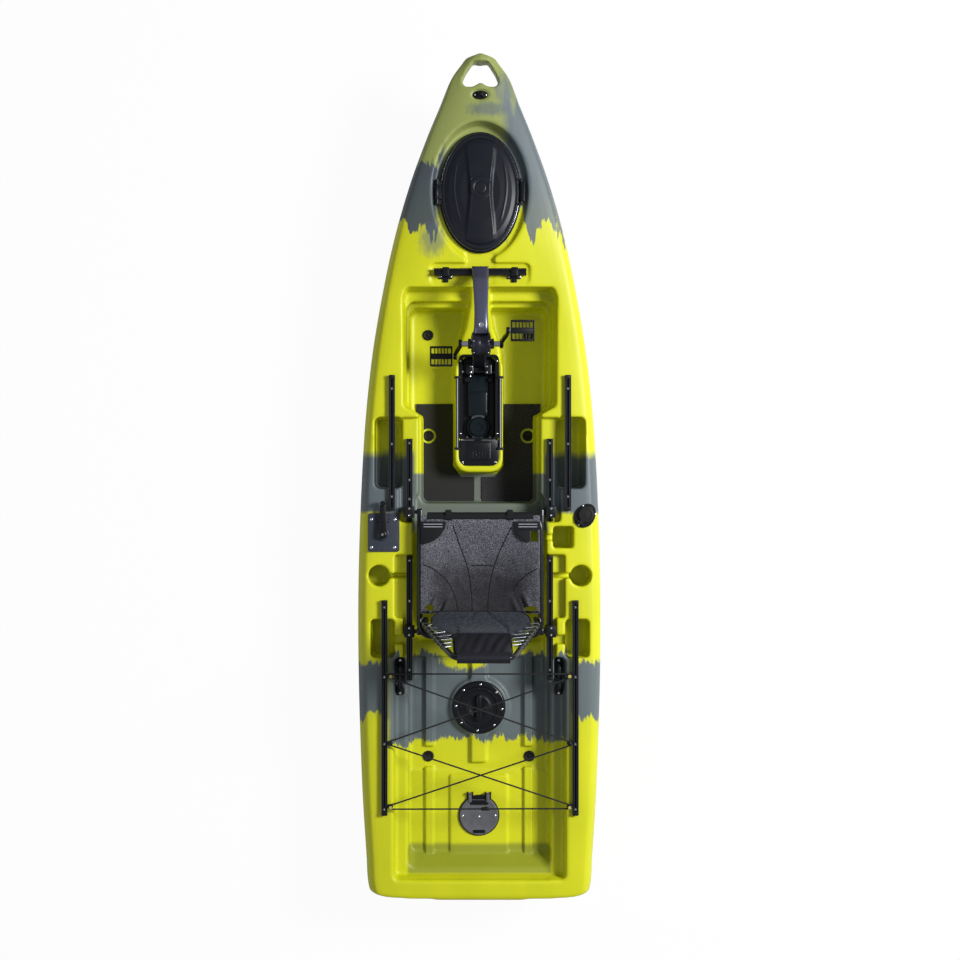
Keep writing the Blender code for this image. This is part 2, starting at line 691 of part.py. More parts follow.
def make_hull():
    rings = [section(y) for y in hull_stations()]
    rings[0] = squeezed(rings[0], 0.62)
    rings[1] = squeezed(rings[1], 0.86)
    rings[2] = squeezed(rings[2], 0.96)
    rings[-1] = squeezed(rings[-1], 0.45)
    rings[-2] = squeezed(rings[-2], 0.80)
    rings[-3] = squeezed(rings[-3], 0.94)
    hull = loft("hull", rings, "hull_plastic")
    triangulate(hull.data)
    cut(hull, *[recess_cutter(recess) for recess in deck_recesses()])
    cut(hull, tank_floor_cutter())
    fuse(hull, console(), *raised_parts())
    disc = ellipse(RUDDER_POCKET_RADIUS, RUDDER_POCKET_RADIUS, (0.0, REAR_HATCH_Y), 20)
    holes = [
        prism("slot", slot_outline(), CLEAR_BOTTOM, CLEAR_TOP),
        prism("pocket", pocket_outline(), CLEAR_BOTTOM, PROP_POCKET_Z),
        prism("rudder_pocket", disc, CLEAR_BOTTOM, RUDDER_POCKET_Z),
        prism("handle", handle_hole(), CLEAR_BOTTOM, CLEAR_TOP),
    ]
    for name, x, y, z in scupper_places():
        hole = ellipse(SCUPPER_RADIUS, SCUPPER_RADIUS, (x, y), 12)
        holes.append(prism("scupper", hole, CLEAR_BOTTOM, CLEAR_TOP))
    cut(hull, *holes)
    cut(hull, make_cavity())
    openings = [
        prism("hatch_hole", ellipse(*HATCH_HOLE, (0.0, HATCH_Y), 24), DECK_Z - 0.04, CLEAR_TOP),
        prism("deck_hole", ellipse(DECK_HATCH_BORE, DECK_HATCH_BORE, (0.0, DECK_HATCH_Y), 24),
              TANK_Z - 0.03, CLEAR_TOP),
        prism("rear_hole", ellipse(REAR_HATCH_BORE, REAR_HATCH_BORE, (0.0, REAR_HATCH_Y), 20),
              TANK_Z - 0.03, CLEAR_TOP),
        prism("stock_hole", ellipse(0.0110, 0.0110, (0.0, REAR_HATCH_Y), 16), 0.05, TANK_Z - 0.05),
        prism("rod_hole", ellipse(ROD_TUBE_RADIUS + 2 * GAP, ROD_TUBE_RADIUS + 2 * GAP, ROD_CENTRE, 16),
              DECK_Z - 0.05, CLEAR_TOP),
        prism("cable_hole", ellipse(0.0126, 0.0126, LEVER_PIVOT, 16), DECK_Z - 0.03, CLEAR_TOP),
    ]
    return cut(hull, *openings)


def outline_ring(name, outer, inner, z0, z1, finish="black_plastic"):
    """A flat frame between two outlines with the same number of points."""
    rings = [[(*a, z0), (*a, z1), (*b, z1), (*b, z0)] for a, b in zip(outer, inner)]
    return loft(name, rings, finish, closed=True)


def turned_ring(name, centre, profile, finish="black_plastic", count=32):
    """A ring about Z with its section given as (radius, height) corners, counter-clockwise."""
    rings = []
    for i in range(count):
        angle = 2 * math.pi * i / count
        rings.append([(centre[0] + r * math.cos(angle), centre[1] + r * math.sin(angle), centre[2] + z)
                      for r, z in profile])
    return loft(name, rings, finish, closed=True)


def turned(name, centre, profile, finish="black_plastic", count=24):
    """A turned body about Z from (radius, height) points, bottom to top."""
    return lathe(name, centre, (0, 0, 1), profile, finish, count)


HINGE_X = -(LID_HALF[0] + 0.0132)
RIM_TOP_Z = HATCH_FLOOR_Z + 0.009
GASKET_TOP_Z = RIM_TOP_Z + 0.0031
HINGE_Z = HATCH_FLOOR_Z + 0.0185
HINGE_HALF = 0.043
LATCH_X = LID_HALF[0] + 0.0052
LATCH_Z = GASKET_TOP_Z + 0.0125
LATCH_HALF = 0.040


def scaled_ellipse(share, z, count=24):
    return at_height(ellipse(LID_HALF[0] * share, LID_HALF[1] * share, (0.0, HATCH_Y), count), z)


def front_hatch():
    rim_outer = ellipse(LID_HALF[0] + 0.005, LID_HALF[1] + 0.005, (0.0, HATCH_Y), 24)
    rim_inner = ellipse(HATCH_HOLE[0] + 0.002, HATCH_HOLE[1] + 0.002, (0.0, HATCH_Y), 24)
    rim = outline_ring("front_hatch_rim", rim_outer, rim_inner, HATCH_FLOOR_Z + GAP, RIM_TOP_Z)
    knuckle = 0.007
    for sign in (-1, 1):
        y0, y1 = sorted((HATCH_Y + sign * 0.026, HATCH_Y + sign * HINGE_HALF))
        foot = block("foot", HINGE_X - 0.0030, HINGE_X + 0.012, y0, y1, HATCH_FLOOR_Z + GAP, HINGE_Z)
        barrel = rod("barrel", (HINGE_X, y0, HINGE_Z), (HINGE_X, y1, HINGE_Z), knuckle)
        fuse(rim, foot, barrel)
    pin = rod("pin", (HINGE_X, HATCH_Y - 0.03, HINGE_Z), (HINGE_X, HATCH_Y + 0.03, HINGE_Z), 0.0025,
              count=8)
    fuse(rim, pin)
    gasket_outer = [p[:2] for p in scaled_ellipse(0.992, 0)]
    gasket_inner = [p[:2] for p in scaled_ellipse(0.958, 0)]
    outline_ring("front_hatch_gasket", gasket_outer, gasket_inner, RIM_TOP_Z + GAP, GASKET_TOP_Z - GAP,
                 "rubber")
    low = GASKET_TOP_Z
    profile = [(0.10, 0.0255), (0.75, 0.0180), (0.92, 0.0085), (0.950, 0.0), (1.0, 0.0), (1.0, 0.0070),
               (0.930, 0.0125), (0.80, 0.0215), (0.50, 0.0285), (0.10, LID_CROWN + 0.0005)]
    lid = loft("front_hatch_lid", [scaled_ellipse(share, low + z) for share, z in profile])
    band = [(-0.050, -0.175), (0.050, -0.175), (0.036, 0.0), (0.050, 0.175), (-0.050, 0.175), (-0.036, 0.0)]
    band = [(x, HATCH_Y + y) for x, y in band]
    fuse(lid, prism("band", rounded(band, 0.03, 2), low + 0.020, low + LID_CROWN + 0.002))
    fuse(lid, turned("boss", (0, HATCH_Y + 0.012, low), [(0.030, 0.024), (0.030, 0.034), (0.025, 0.037)],
                     count=16))
    arm = block("arm", HINGE_X, -LID_HALF[0] + 0.005, HATCH_Y - 0.0255, HATCH_Y + 0.0255, low + 0.0008,
                HINGE_Z + 0.003)
    barrel = rod("barrel", (HINGE_X, HATCH_Y - 0.0255, HINGE_Z), (HINGE_X, HATCH_Y + 0.0255, HINGE_Z),
                 knuckle)
    fuse(lid, arm, barrel)
    cut(lid, rod("bore", (HINGE_X, HATCH_Y - 0.03, HINGE_Z), (HINGE_X, HATCH_Y + 0.03, HINGE_Z), 0.0028,
                 count=8))
    for sign in (-1, 1):
        y0, y1 = sorted((HATCH_Y + sign * (LATCH_HALF + 0.0005), HATCH_Y + sign * (LATCH_HALF + 0.007)))
        fuse(lid, block("ear", LID_HALF[0] - 0.010, LATCH_X + 0.005, y0, y1, low + 0.001, LATCH_Z + 0.005))
    pin_half = LATCH_HALF + 0.003
    fuse(lid, rod("pin", (LATCH_X, HATCH_Y - pin_half, LATCH_Z), (LATCH_X, HATCH_Y + pin_half, LATCH_Z),
                  0.0018, count=8))
    latch = rod("front_hatch_latch", (LATCH_X, HATCH_Y - LATCH_HALF, LATCH_Z),
                (LATCH_X, HATCH_Y + LATCH_HALF, LATCH_Z), 0.0045)
    blade = [(0.0, -0.001), (0.009, -0.001), (0.009, -0.018), (0.0120, -0.018), (0.0125, 0.002),
             (0.010, 0.0045), (0.0, 0.0045)]
    half = LATCH_HALF - 0.004
    ends = [[(LATCH_X + x, HATCH_Y + y, LATCH_Z + z) for x, z in blade] for y in (-half, half)]
    fuse(latch, loft("blade", ends))
    cut(latch, rod("bore", (LATCH_X, HATCH_Y - 0.05, LATCH_Z), (LATCH_X, HATCH_Y + 0.05, LATCH_Z), 0.0021,
                   count=8))


def bow_pad_eye():
    base = prism("bow_pad_eye", ellipse(0.027, 0.016, (0.0, PAD_EYE_Y), 14), PAD_EYE_Z + GAP,
                 PAD_EYE_Z + 0.005)
    top = PAD_EYE_Z + 0.004
    arch = [(-0.013, PAD_EYE_Y, top), (-0.012, PAD_EYE_Y, top + 0.016), (0.012, PAD_EYE_Y, top + 0.016),
            (0.013, PAD_EYE_Y, top)]
    fuse(base, sweep("bail", soft_route(arch, 0.012, 3), 0.003, "black_plastic", 6))


BAR_LOW_Z = LAND_Z + 0.0066
BAR_HALF = CROSSBAR_SIZE / 2
BAR_MID_Z = BAR_LOW_Z + BAR_HALF


def crossbar_outline(half, groove):
    """A square bar's section with a groove in each side, counter-clockwise in (y, z) from the middle."""
    lip = 0.004
    quarter = [(half, -half), (half, -lip), (half - groove, -lip), (half - groove, lip), (half, lip)]
    points = []
    for turn in range(4):
        for y, z in quarter:
            for _ in range(turn):
                y, z = -z, y
            points.append((y, z))
    return points


def crossbar():
    section_points = crossbar_outline(BAR_HALF, 0.005)
    rings = [[(x, CROSSBAR_Y + y, BAR_MID_Z + z) for y, z in section_points]
             for x in (-CROSSBAR_HALF, CROSSBAR_HALF)]
    loft("crossbar", rings, "black_metal")


def bar_hole(x0, x1):
    half = BAR_HALF + GAP
    return block("hole", x0, x1, CROSSBAR_Y - half, CROSSBAR_Y + half, BAR_MID_Z - half, BAR_MID_Z + half)


SADDLE_X = 0.1236
SADDLE_HALF = 0.022


def saddle(name, x):
    low = LAND_Z + GAP
    base = block(name, x - SADDLE_HALF, x + SADDLE_HALF, CROSSBAR_Y - 0.036, CROSSBAR_Y + 0.0165, low,
                 low + 0.0055)
    clamp_top = BAR_MID_Z + BAR_HALF + 0.004
    fuse(base, block("clamp", x - 0.012, x + 0.012, CROSSBAR_Y - 0.017, CROSSBAR_Y + 0.0165, low + 0.003,
                     clamp_top))
    return cut(base, bar_hole(x - 0.1, x + 0.1))


def flat_ring(y, z, half_x, half_t, tilt):
    """A rounded rectangle across X, its thickness turned by the tilt about X."""
    chamfer = min(half_x, half_t) * 0.45
    flat = [(-half_x, -half_t + chamfer), (-half_x + chamfer, -half_t), (half_x - chamfer, -half_t),
            (half_x, -half_t + chamfer), (half_x, half_t - chamfer), (half_x - chamfer, half_t),
            (-half_x + chamfer, half_t), (-half_x, half_t - chamfer)]
    return [(x, y + t * -math.sin(tilt), z + t * math.cos(tilt)) for x, t in flat]


def drum(name, radius, half, finish="black_metal", count=20):
    return rod(name, (-half, CRANK_Y, CRANK_Z), (half, CRANK_Y, CRANK_Z), radius, finish, count)


def drive_arm():
    stations = [(CROSSBAR_Y + 0.012, BAR_MID_Z + 0.014, 0.030, 0.008),
                (CROSSBAR_Y - 0.010, 0.390, 0.030, 0.010),
                (CROSSBAR_Y - 0.048, 0.428, 0.028, 0.011), (CROSSBAR_Y - 0.103, 0.458, 0.026, 0.012),
                (CRANK_Y + 0.1086, 0.475, 0.024, 0.013), (CRANK_Y + 0.0586, 0.480, 0.026, 0.014),
                (CRANK_Y + 0.018, 0.474, 0.029, 0.014)]
    rings = []
    for i, (y, z, half_x, half_t) in enumerate(stations):
        y0, z0 = stations[max(i - 1, 0)][:2]
        y1, z1 = stations[min(i + 1, len(stations) - 1)][:2]
        tilt = math.atan2(z1 - z0, y1 - y0) if y1 > y0 else math.atan2(z0 - z1, y0 - y1)
        rings.append(flat_ring(y, z, half_x, half_t, tilt))
    arm = loft("drive_arm", rings, "grey_metal")
    head = block("head", -0.030, 0.030, CROSSBAR_Y - 0.0185, CROSSBAR_Y + 0.0185, BAR_LOW_Z - 0.005,
                 BAR_MID_Z + 0.0195)
    fuse(arm, head)
    cut(arm, bar_hole(-0.1, 0.1), drum("drum", DRUM_RADIUS + GAP, 0.1))


def column_point(share):
    return (0.0, CRANK_Y + (PIVOT_Y - CRANK_Y) * share, CRANK_Z + (PIVOT_Z - CRANK_Z) * share)


COLUMN_TILT = math.atan2(CRANK_Y - PIVOT_Y, CRANK_Z - PIVOT_Z)
CHEEK_INNER = 0.0180
CHEEK_OUTER = 0.0255
COLUMN_END = 0.87


def drive_housing():
    body = drum("drive_housing", DRUM_RADIUS, DRUM_HALF)
    fuse(body, drum("bosses", 0.018, DRUM_HALF + 0.006, count=14))
    rings = []
    for share, half_x, half_y in ((0.02, 0.026, 0.018), (0.30, 0.024, 0.0165),
                                  (COLUMN_END, CHEEK_OUTER, 0.0165)):
        x, y, z = column_point(share)
        rings.append([(px, y + py * math.cos(COLUMN_TILT), z - py * math.sin(COLUMN_TILT))
                      for px, py in rounded(rect(-half_x, half_x, -half_y, half_y), 0.006, 2)])
    fuse(body, loft("column", rings, "black_metal"))
    for sign in (-1, 1):
        x0, x1 = sorted((sign * CHEEK_INNER, sign * CHEEK_OUTER))
        x, y, z = column_point(COLUMN_END - 0.03)
        reach = 0.0160
        arc = [(PIVOT_Y + reach * math.cos(a), PIVOT_Z + reach * math.sin(a))
               for a in (math.pi + math.pi * i / 6 for i in range(7))]
        outline = arc + [(y + reach, z), (y - reach, z)]
        fuse(body, loft("cheek", [[(px, py, pz) for py, pz in outline] for px in (x0, x1)], "black_metal"))
    cut(body, drum("hollow", DRUM_RADIUS - 0.006, DRUM_HALF - 0.006))
    cut(body, drum("spindle_bore", 0.0103, 0.1, count=14))
    cut(body, rod("upper_bore", column_point(0.0), column_point(0.20), 0.0135, count=12))
    cut(body, rod("shaft_bore", column_point(0.15), column_point(COLUMN_END + 0.05), 0.0063, count=12))
    cut(body, rod("pivot_bore", (-0.1, PIVOT_Y, PIVOT_Z), (0.1, PIVOT_Y, PIVOT_Z), 0.0063, count=12))


def drive_shaft():
    start = Vector(column_point(0.0))
    end = Vector(column_point(COLUMN_END - 0.01))
    profile = [(0.0115, 0.0306), (0.0125, 0.040), (0.006, 0.044), (0.006, (end - start).length)]
    lathe("drive_shaft", start, end - start, profile, "steel", 12)


SPINDLE_HALF = 0.0665
CRANK_HUB_X = 0.0734
CRANK_END_X = 0.0895
PEDAL_HALF = PEDAL_WIDTH / 2


def crank_spindle():
    spindle = rod("crank_spindle", (-SPINDLE_HALF, CRANK_Y, CRANK_Z), (SPINDLE_HALF, CRANK_Y, CRANK_Z),
                  0.010, "steel", 16)
    gear = lathe("gear", (-0.012, CRANK_Y, CRANK_Z), (1, 0, 0),
                 [(0.024, 0.0), (0.030, 0.004), (0.030, 0.008)], "steel", 24)
    fuse(spindle, gear)


def crank_end(sign):
    reach = CRANK_LENGTH * sign
    return CRANK_Y + reach * math.cos(CRANK_ANGLE), CRANK_Z + reach * math.sin(CRANK_ANGLE)


def crank(name, sign):
    end_y, end_z = crank_end(sign)
    hub_x = sign * CRANK_HUB_X
    end_x = sign * CRANK_END_X
    half = 0.0063
    hub = rod(name, (hub_x - half, CRANK_Y, CRANK_Z), (hub_x + half, CRANK_Y, CRANK_Z), 0.016,
              "black_metal", 20)
    boss = rod("boss", (end_x - half, end_y, end_z), (end_x + half, end_y, end_z), 0.013, "black_metal", 16)
    along = Vector((0.0, end_y - CRANK_Y, end_z - CRANK_Z)).normalized()
    across = Vector((0.0, -along.z, along.y))
    rings = []
    for share, wide in ((0.03, 0.011), (0.35, 0.010), (0.65, 0.009), (0.97, 0.009)):
        ease = smooth_step((share - 0.1) / 0.8)
        middle = Vector((hub_x + (end_x - hub_x) * ease, CRANK_Y, CRANK_Z)) + along * CRANK_LENGTH * share
        thick = Vector((0.005, 0, 0))
        side = across * wide
        rings.append([middle - thick - side, middle + thick - side, middle + thick + side,
                      middle - thick + side])
    axle = rod("axle", (end_x, end_y, end_z), (sign * (PEDAL_X + PEDAL_HALF - 0.006), end_y, end_z), 0.0045,
               "steel", 12)
    fuse(hub, boss, loft("arm", rings, "black_metal"), axle)


def pedal(name, sign):
    end_y, end_z = crank_end(sign)
    x = sign * PEDAL_X
    thick = 0.009
    deep = PEDAL_DEPTH / 2
    frame = rounded(rect(x - PEDAL_HALF, x + PEDAL_HALF, end_y - deep, end_y + deep), 0.012, 3)
    body = prism(name, frame, end_z - thick, end_z + thick, "black_plastic")
    slots_each_way = 6
    pitch = (PEDAL_WIDTH - 0.012) / slots_each_way
    slots = []
    for row in (-1, 1):
        y0, y1 = sorted((end_y + row * 0.0110, end_y + row * (deep - 0.007)))
        for i in range(slots_each_way):
            x0 = x - PEDAL_HALF + 0.006 + pitch * (i + 0.17)
            slots.append(block("slot", x0, x0 + pitch * 0.66, y0, y1, end_z - 0.03, end_z + 0.03))
    cut(body, *slots)
    inner = x - sign * (PEDAL_HALF + 0.005)
    outer = x + sign * (PEDAL_HALF - 0.005)
    cut(body, rod("bore", (inner, end_y, end_z), (outer, end_y, end_z), 0.0048, count=12))


def liner_outline(half, y0, y1, radius):
    return rounded(rect(-half, half, y0, y1), radius, 4)


LINER_AFT_Y = CONSOLE_AFT_Y + 0.098
LINER_LIP = 0.006
TUB_DEPTH = 0.055
TUB_WALL = 0.0035
TUB_CORNER = 0.012


def well_liner():
    """A flat ring on the console, and the tub that hangs from it below the stowed leg."""
    low = CONSOLE_TOP_Z + GAP
    outer = liner_outline(CONSOLE_HALF - 0.0065, LINER_AFT_Y, CONSOLE_FRONT_Y - 0.003, 0.020)
    inner = liner_outline(SLOT_HALF - 0.0045, LINER_AFT_Y + 0.0085, CONSOLE_FRONT_Y - 0.0130, 0.012)
    liner = outline_ring("well_liner", outer, inner, low, low + LINER_LIP)
    aft = LINER_AFT_Y + 0.005
    front = PIVOT_Y - 0.016
    half = SLOT_HALF - 0.001
    shell = rect(-half, half, aft, front)
    room = rect(-half + TUB_WALL, half - TUB_WALL, aft + TUB_WALL, front - TUB_WALL)
    floor_z = CONSOLE_TOP_Z - TUB_DEPTH
    tub = prism("tub", rounded(shell, TUB_CORNER, 2), floor_z, low + LINER_LIP - 0.001)
    inside = rounded(room, TUB_CORNER - TUB_WALL, 2)
    cut(tub, prism("inside", inside, floor_z + TUB_WALL, low + 0.03))
    fuse(liner, tub)


def drive_cradle():
    low = CONSOLE_TOP_Z + GAP
    y0 = CONSOLE_AFT_Y + 0.024
    y1 = LINER_AFT_Y - 0.004
    body = block("drive_cradle", -CONSOLE_HALF + 0.0065, CONSOLE_HALF - 0.0065, y0, y1, low, low + 0.004)
    half = SLOT_HALF - 0.0025
    fuse(body, prism("block", rounded(rect(-half, half, y0 + 0.006, y1 - 0.004), 0.01, 2), low - 0.040,
                     low + 0.001))
    for y in (y0 + 0.022, y1 - 0.020):
        cut(body, block("slot", -0.045, 0.045, y - 0.006, y + 0.006, low - 0.02, low + 0.03))


GEARBOX_RADIUS = 0.034


def drive_leg():
    stations = [(PIVOT_Y + 0.002, PIVOT_Z, 0.0165, 0.014), (PIVOT_Y - 0.028, PIVOT_Z, 0.0165, 0.014),
                (PIVOT_Y - 0.048, PIVOT_Z, 0.033, 0.017), (0.320, PIVOT_Z - 0.001, 0.036, 0.018),
                (0.250, PIVOT_Z - 0.003, 0.034, 0.016), (GEARBOX_Y + 0.015, PIVOT_Z - 0.006, 0.026, 0.013)]
    rings = [flat_ring(y, z, half_x, half_t, 0.0) for y, z, half_x, half_t in stations]
    leg = loft("drive_leg", rings, "black_plastic")
    fuse(leg, rod("knuckle", (-0.0172, PIVOT_Y, PIVOT_Z), (0.0172, PIVOT_Y, PIVOT_Z), 0.0155, count=20))
    fuse(leg, rod("pin", (-CHEEK_OUTER, PIVOT_Y, PIVOT_Z), (CHEEK_OUTER, PIVOT_Y, PIVOT_Z), 0.006,
                  count=12))
    cut(leg, turned("seat", (0, GEARBOX_Y, 0), [(GEARBOX_RADIUS + GAP, 0.0), (GEARBOX_RADIUS + GAP, 0.2)],
                    count=20))


PROP_TOP_Z = 0.0680


def gearbox():
    profile = [(0.018, PROP_TOP_Z + GAP), (GEARBOX_RADIUS, 0.078), (GEARBOX_RADIUS, 0.118), (0.029, 0.124),
               (0.020, 0.124), (0.018, 0.121)]
    turned("gearbox", (0, GEARBOX_Y, 0), profile, "black_plastic", 20)


def propeller():
    profile = [(0.006, 0.026), (0.013, 0.033), (0.016, 0.044), (0.016, PROP_TOP_Z)]
    hub = turned("propeller", (0, GEARBOX_Y, 0), profile)
    for sign in (-1, 1):
        rings = []
        for reach, chord, twist, thick in ((0.010, 0.018, 42, 0.005), (0.040, 0.040, 34, 0.0045),
                                           (0.080, 0.046, 24, 0.0035), (0.110, 0.034, 18, 0.003),
                                           (PROP_RADIUS, 0.012, 16, 0.002)):
            angle = math.radians(twist)
            along = Vector((sign * math.cos(angle), 0, math.sin(angle)))
            normal = Vector((-sign * math.sin(angle), 0, math.cos(angle)))
            middle = Vector((0, GEARBOX_Y + sign * reach, 0.053))
            ahead, up = along * chord / 2, normal * thick / 2
            rings.append([middle - ahead, middle - up, middle + ahead, middle + up])
        fuse(hub, loft("blade", rings))


def foot_pad(name, turn):
    inner = CONSOLE_HALF + 0.0145
    outer = POD_INNER - 0.0083
    front = POD_FRONT_Y + 0.050
    low = FOOT_Z + GAP
    corners = [(0.0147, FOOT_AFT_Y + 0.008), (outer - 0.014, FOOT_AFT_Y + 0.008),
               (outer, FOOT_AFT_Y + 0.022), (outer, POD_FRONT_Y + 0.003),
               (outer + 0.028, POD_FRONT_Y + 0.020), (outer + 0.028, front),
               (inner, front), (inner, CONSOLE_AFT_Y + 0.005),
               (inner - 0.030, CONSOLE_AFT_Y - 0.038), (0.0147, CONSOLE_AFT_Y - 0.038)]
    pad = prism(name, turn(corners), low, low + 0.006, "foam")
    x, y, z = SCUPPERS["middle"]
    notch = turn(ellipse(0.0285, 0.0285, (x, y), 20))
    cut(pad, prism("notch", notch, low - 0.05, low + 0.05))


def track_section(width, height):
    """A C-shaped track's section, (x, z) from the middle of its foot."""
    half = width / 2
    mouth = 0.0038
    room = 0.0072
    return [(-half, 0), (half, 0), (half, height), (mouth, height), (mouth, height - 0.0025),
            (room, height - 0.0025), (room, height - 0.008), (-room, height - 0.008),
            (-room, height - 0.0025), (-mouth, height - 0.0025), (-mouth, height), (-half, height)]


def track(name, x, y0, y1, base_z):
    shape = track_section(TRACK_WIDTH, TRACK_HEIGHT)
    rings = [[(x + px, y, base_z + GAP + pz) for px, pz in shape] for y in (y0, y1)]
    return loft(name, rings, "black_metal")


EYE_X = REAR_TRACK_X - 0.023
EYE_POST_RADIUS = 0.0035
CORD_RADIUS = 0.003
CORD_TURN = EYE_POST_RADIUS + CORD_RADIUS + 0.0004
EYE_YS = (-0.707, -0.950, -1.179)
TRACK_END_Y = STERN_Y + 0.315


def rear_track(name, sign):
    body = track(name, sign * REAR_TRACK_X, TRACK_END_Y, -0.435, DECK_Z)
    for y in EYE_YS:
        x0, x1 = sorted((sign * (EYE_X - 0.006), sign * (REAR_TRACK_X - TRACK_WIDTH / 2 + 0.001)))
        low = DECK_Z + GAP
        fuse(body, block("foot", x0, x1, y - 0.006, y + 0.006, low, low + 0.008))
        post = [(EYE_POST_RADIUS, 0.005), (EYE_POST_RADIUS, 0.0275), (0.0068, 0.0278), (0.0068, 0.0302)]
        fuse(body, turned("post", (sign * EYE_X, y, low), post, count=8))


def bungee():
    """One closed loop of elastic cord round the six eyes; its heights keep the crossings apart."""
    low = DECK_Z + 0.0135
    high = DECK_Z + 0.0225
    stops = [(-1, 0, low, low), (1, 0, low, low), (-1, 1, low, low), (1, 2, low, low), (-1, 2, high, high),
             (1, 1, high, high)]
    count = len(stops)
    points = []
    for i, (sign, row, z_in, z_out) in enumerate(stops):
        here = Vector((sign * EYE_X, EYE_YS[row], 0))
        before = Vector((stops[i - 1][0] * EYE_X, EYE_YS[stops[i - 1][1]], 0))
        after_stop = stops[(i + 1) % count]
        after = Vector((after_stop[0] * EYE_X, EYE_YS[after_stop[1]], 0))
        come = (here - before).normalized()
        leave = (after - here).normalized()
        turn_way = 1 if come.x * leave.y - come.y * leave.x > 0 else -1
        normal_in = Vector((come.y, -come.x, 0)) * turn_way
        normal_out = Vector((leave.y, -leave.x, 0)) * turn_way
        start = math.atan2(normal_in.y, normal_in.x)
        sweep_angle = (math.atan2(normal_out.y, normal_out.x) - start) % (2 * math.pi)
        if turn_way < 0:
            sweep_angle -= 2 * math.pi
        for s in range(5):
            angle = start + sweep_angle * s / 4
            z = z_in + (z_out - z_in) * s / 4
            points.append((here.x + CORD_TURN * math.cos(angle), here.y + CORD_TURN * math.sin(angle), z))
    cord("bungee", points, CORD_RADIUS, 1, closed=True)


def seat_clamp(name, sign, y):
    low = LEDGE_Z + GAP + TRACK_HEIGHT + GAP
    x = sign * RAIL_X
    points = rounded(rect(x - 0.019, x + 0.019, y - 0.021, y + 0.021), 0.005, 2)
    body = prism(name, points, low, PIN_Z + 0.0125)
    cut(body, rod("bore", (x - 0.05, y, PIN_Z), (x + 0.05, y, PIN_Z), 0.0073, count=12))


PIN_Z = LEDGE_Z + 0.0525


def seat_frame():
    corners = [(SEAT_TUBE_X, SEAT_REAR_Y, SEAT_Z), (SEAT_TUBE_X, SEAT_FRONT_Y, SEAT_Z),
               (-SEAT_TUBE_X, SEAT_FRONT_Y, SEAT_Z), (-SEAT_TUBE_X, SEAT_REAR_Y, SEAT_Z)]
    frame = sweep("seat_frame", soft_route(corners, 0.05, 3, closed=True), SEAT_TUBE_RADIUS, "black_metal",
                  8, closed=True)
    for sign in (-1, 1):
        for y in (CLAMP_FRONT_Y, CLAMP_REAR_Y):
            x0, x1 = sorted((sign * (SEAT_TUBE_X - 0.008), sign * (SEAT_TUBE_X + 0.0105)))
            behind = 0.080 if y == CLAMP_FRONT_Y else 0.012
            fuse(frame, block("drop", x0, x1, y - behind, y + 0.012, PIN_Z - 0.010, SEAT_Z))
            fuse(frame, rod("pin", (sign * SEAT_TUBE_X, y, PIN_Z), (sign * (RAIL_X + 0.021), y, PIN_Z),
                            0.007, count=10))
        x0, x1 = sorted((sign * (BACK_TUBE_X + 0.0113), sign * (BACK_TUBE_X + 0.0163)))
        ear = rounded([(BACK_PIVOT_Y - 0.022, SEAT_Z), (BACK_PIVOT_Y + 0.022, SEAT_Z),
                       (BACK_PIVOT_Y + 0.014, BACK_PIVOT_Z + 0.014),
                       (BACK_PIVOT_Y - 0.014, BACK_PIVOT_Z + 0.014)], 0.008, 2)
        fuse(frame, loft("ear", [[(x, y, z) for y, z in ear] for x in (x0, x1)], "black_metal"))
    cut(frame, rod("bore", (-0.3, BACK_PIVOT_Y, BACK_PIVOT_Z), (0.3, BACK_PIVOT_Y, BACK_PIVOT_Z), 0.0063,
                   count=12))


SLING_REAR_Y = SEAT_REAR_Y + 0.082
SLING_SAG = 0.034


def seat_sling():
    """Mesh cloth over the tubes' tops, sagging between them, its middle lowest behind the thighs."""
    columns, rows = 10, 8
    half = SEAT_TUBE_X + 0.006
    thick = 0.0035
    front = SEAT_FRONT_Y + 0.004
    top, bottom = [], []
    for j in range(rows + 1):
        v = j / rows
        y = front + (SLING_REAR_Y - front) * v
        fall = smooth_step((v - 0.04) / 0.35) * (1 - 0.25 * smooth_step((v - 0.75) / 0.25))
        for i in range(columns + 1):
            u = (2 * i / columns - 1)
            x = half * math.copysign(abs(u) ** 0.85, u)
            share = min(abs(x) / (SEAT_TUBE_X - 0.016), 1.0)
            z = SEAT_Z + SEAT_TUBE_RADIUS + 0.0006 - SLING_SAG * fall * (1 - share ** 2) ** 1.2
            bottom.append((x, y, z))
            top.append((x, y, z + thick))
    return sheet_solid("seat_sling", top, bottom, columns, rows, "mesh_fabric")


def sheet_solid(name, top, bottom, columns, rows, finish):
    """A closed sheet between two grids of points."""
    wide = columns + 1
    offset = len(top)
    faces = []
    for j in range(rows):
        for i in range(columns):
            a = j * wide + i
            faces.append((a, a + 1, a + 1 + wide, a + wide))
            faces.append((offset + a, offset + a + wide, offset + a + 1 + wide, offset + a + 1))
    edge = [i for i in range(wide)]
    edge += [j * wide + columns for j in range(1, rows + 1)]
    edge += [rows * wide + i for i in range(columns - 1, -1, -1)]
    edge += [j * wide for j in range(rows - 1, 0, -1)]
    for k, a in enumerate(edge):
        b = edge[(k + 1) % len(edge)]
        faces.append((a, offset + a, offset + b, b))
    return solid(name, top + bottom, faces, finish)


def back_point(x, reach, off=0.0):
    """A point of the backrest's plane: sideways, up along it, and forwards out of it."""
    return (x, BACK_PIVOT_Y - math.sin(BACK_LEAN) * reach + math.cos(BACK_LEAN) * off,
            BACK_PIVOT_Z + math.cos(BACK_LEAN) * reach + math.sin(BACK_LEAN) * off)


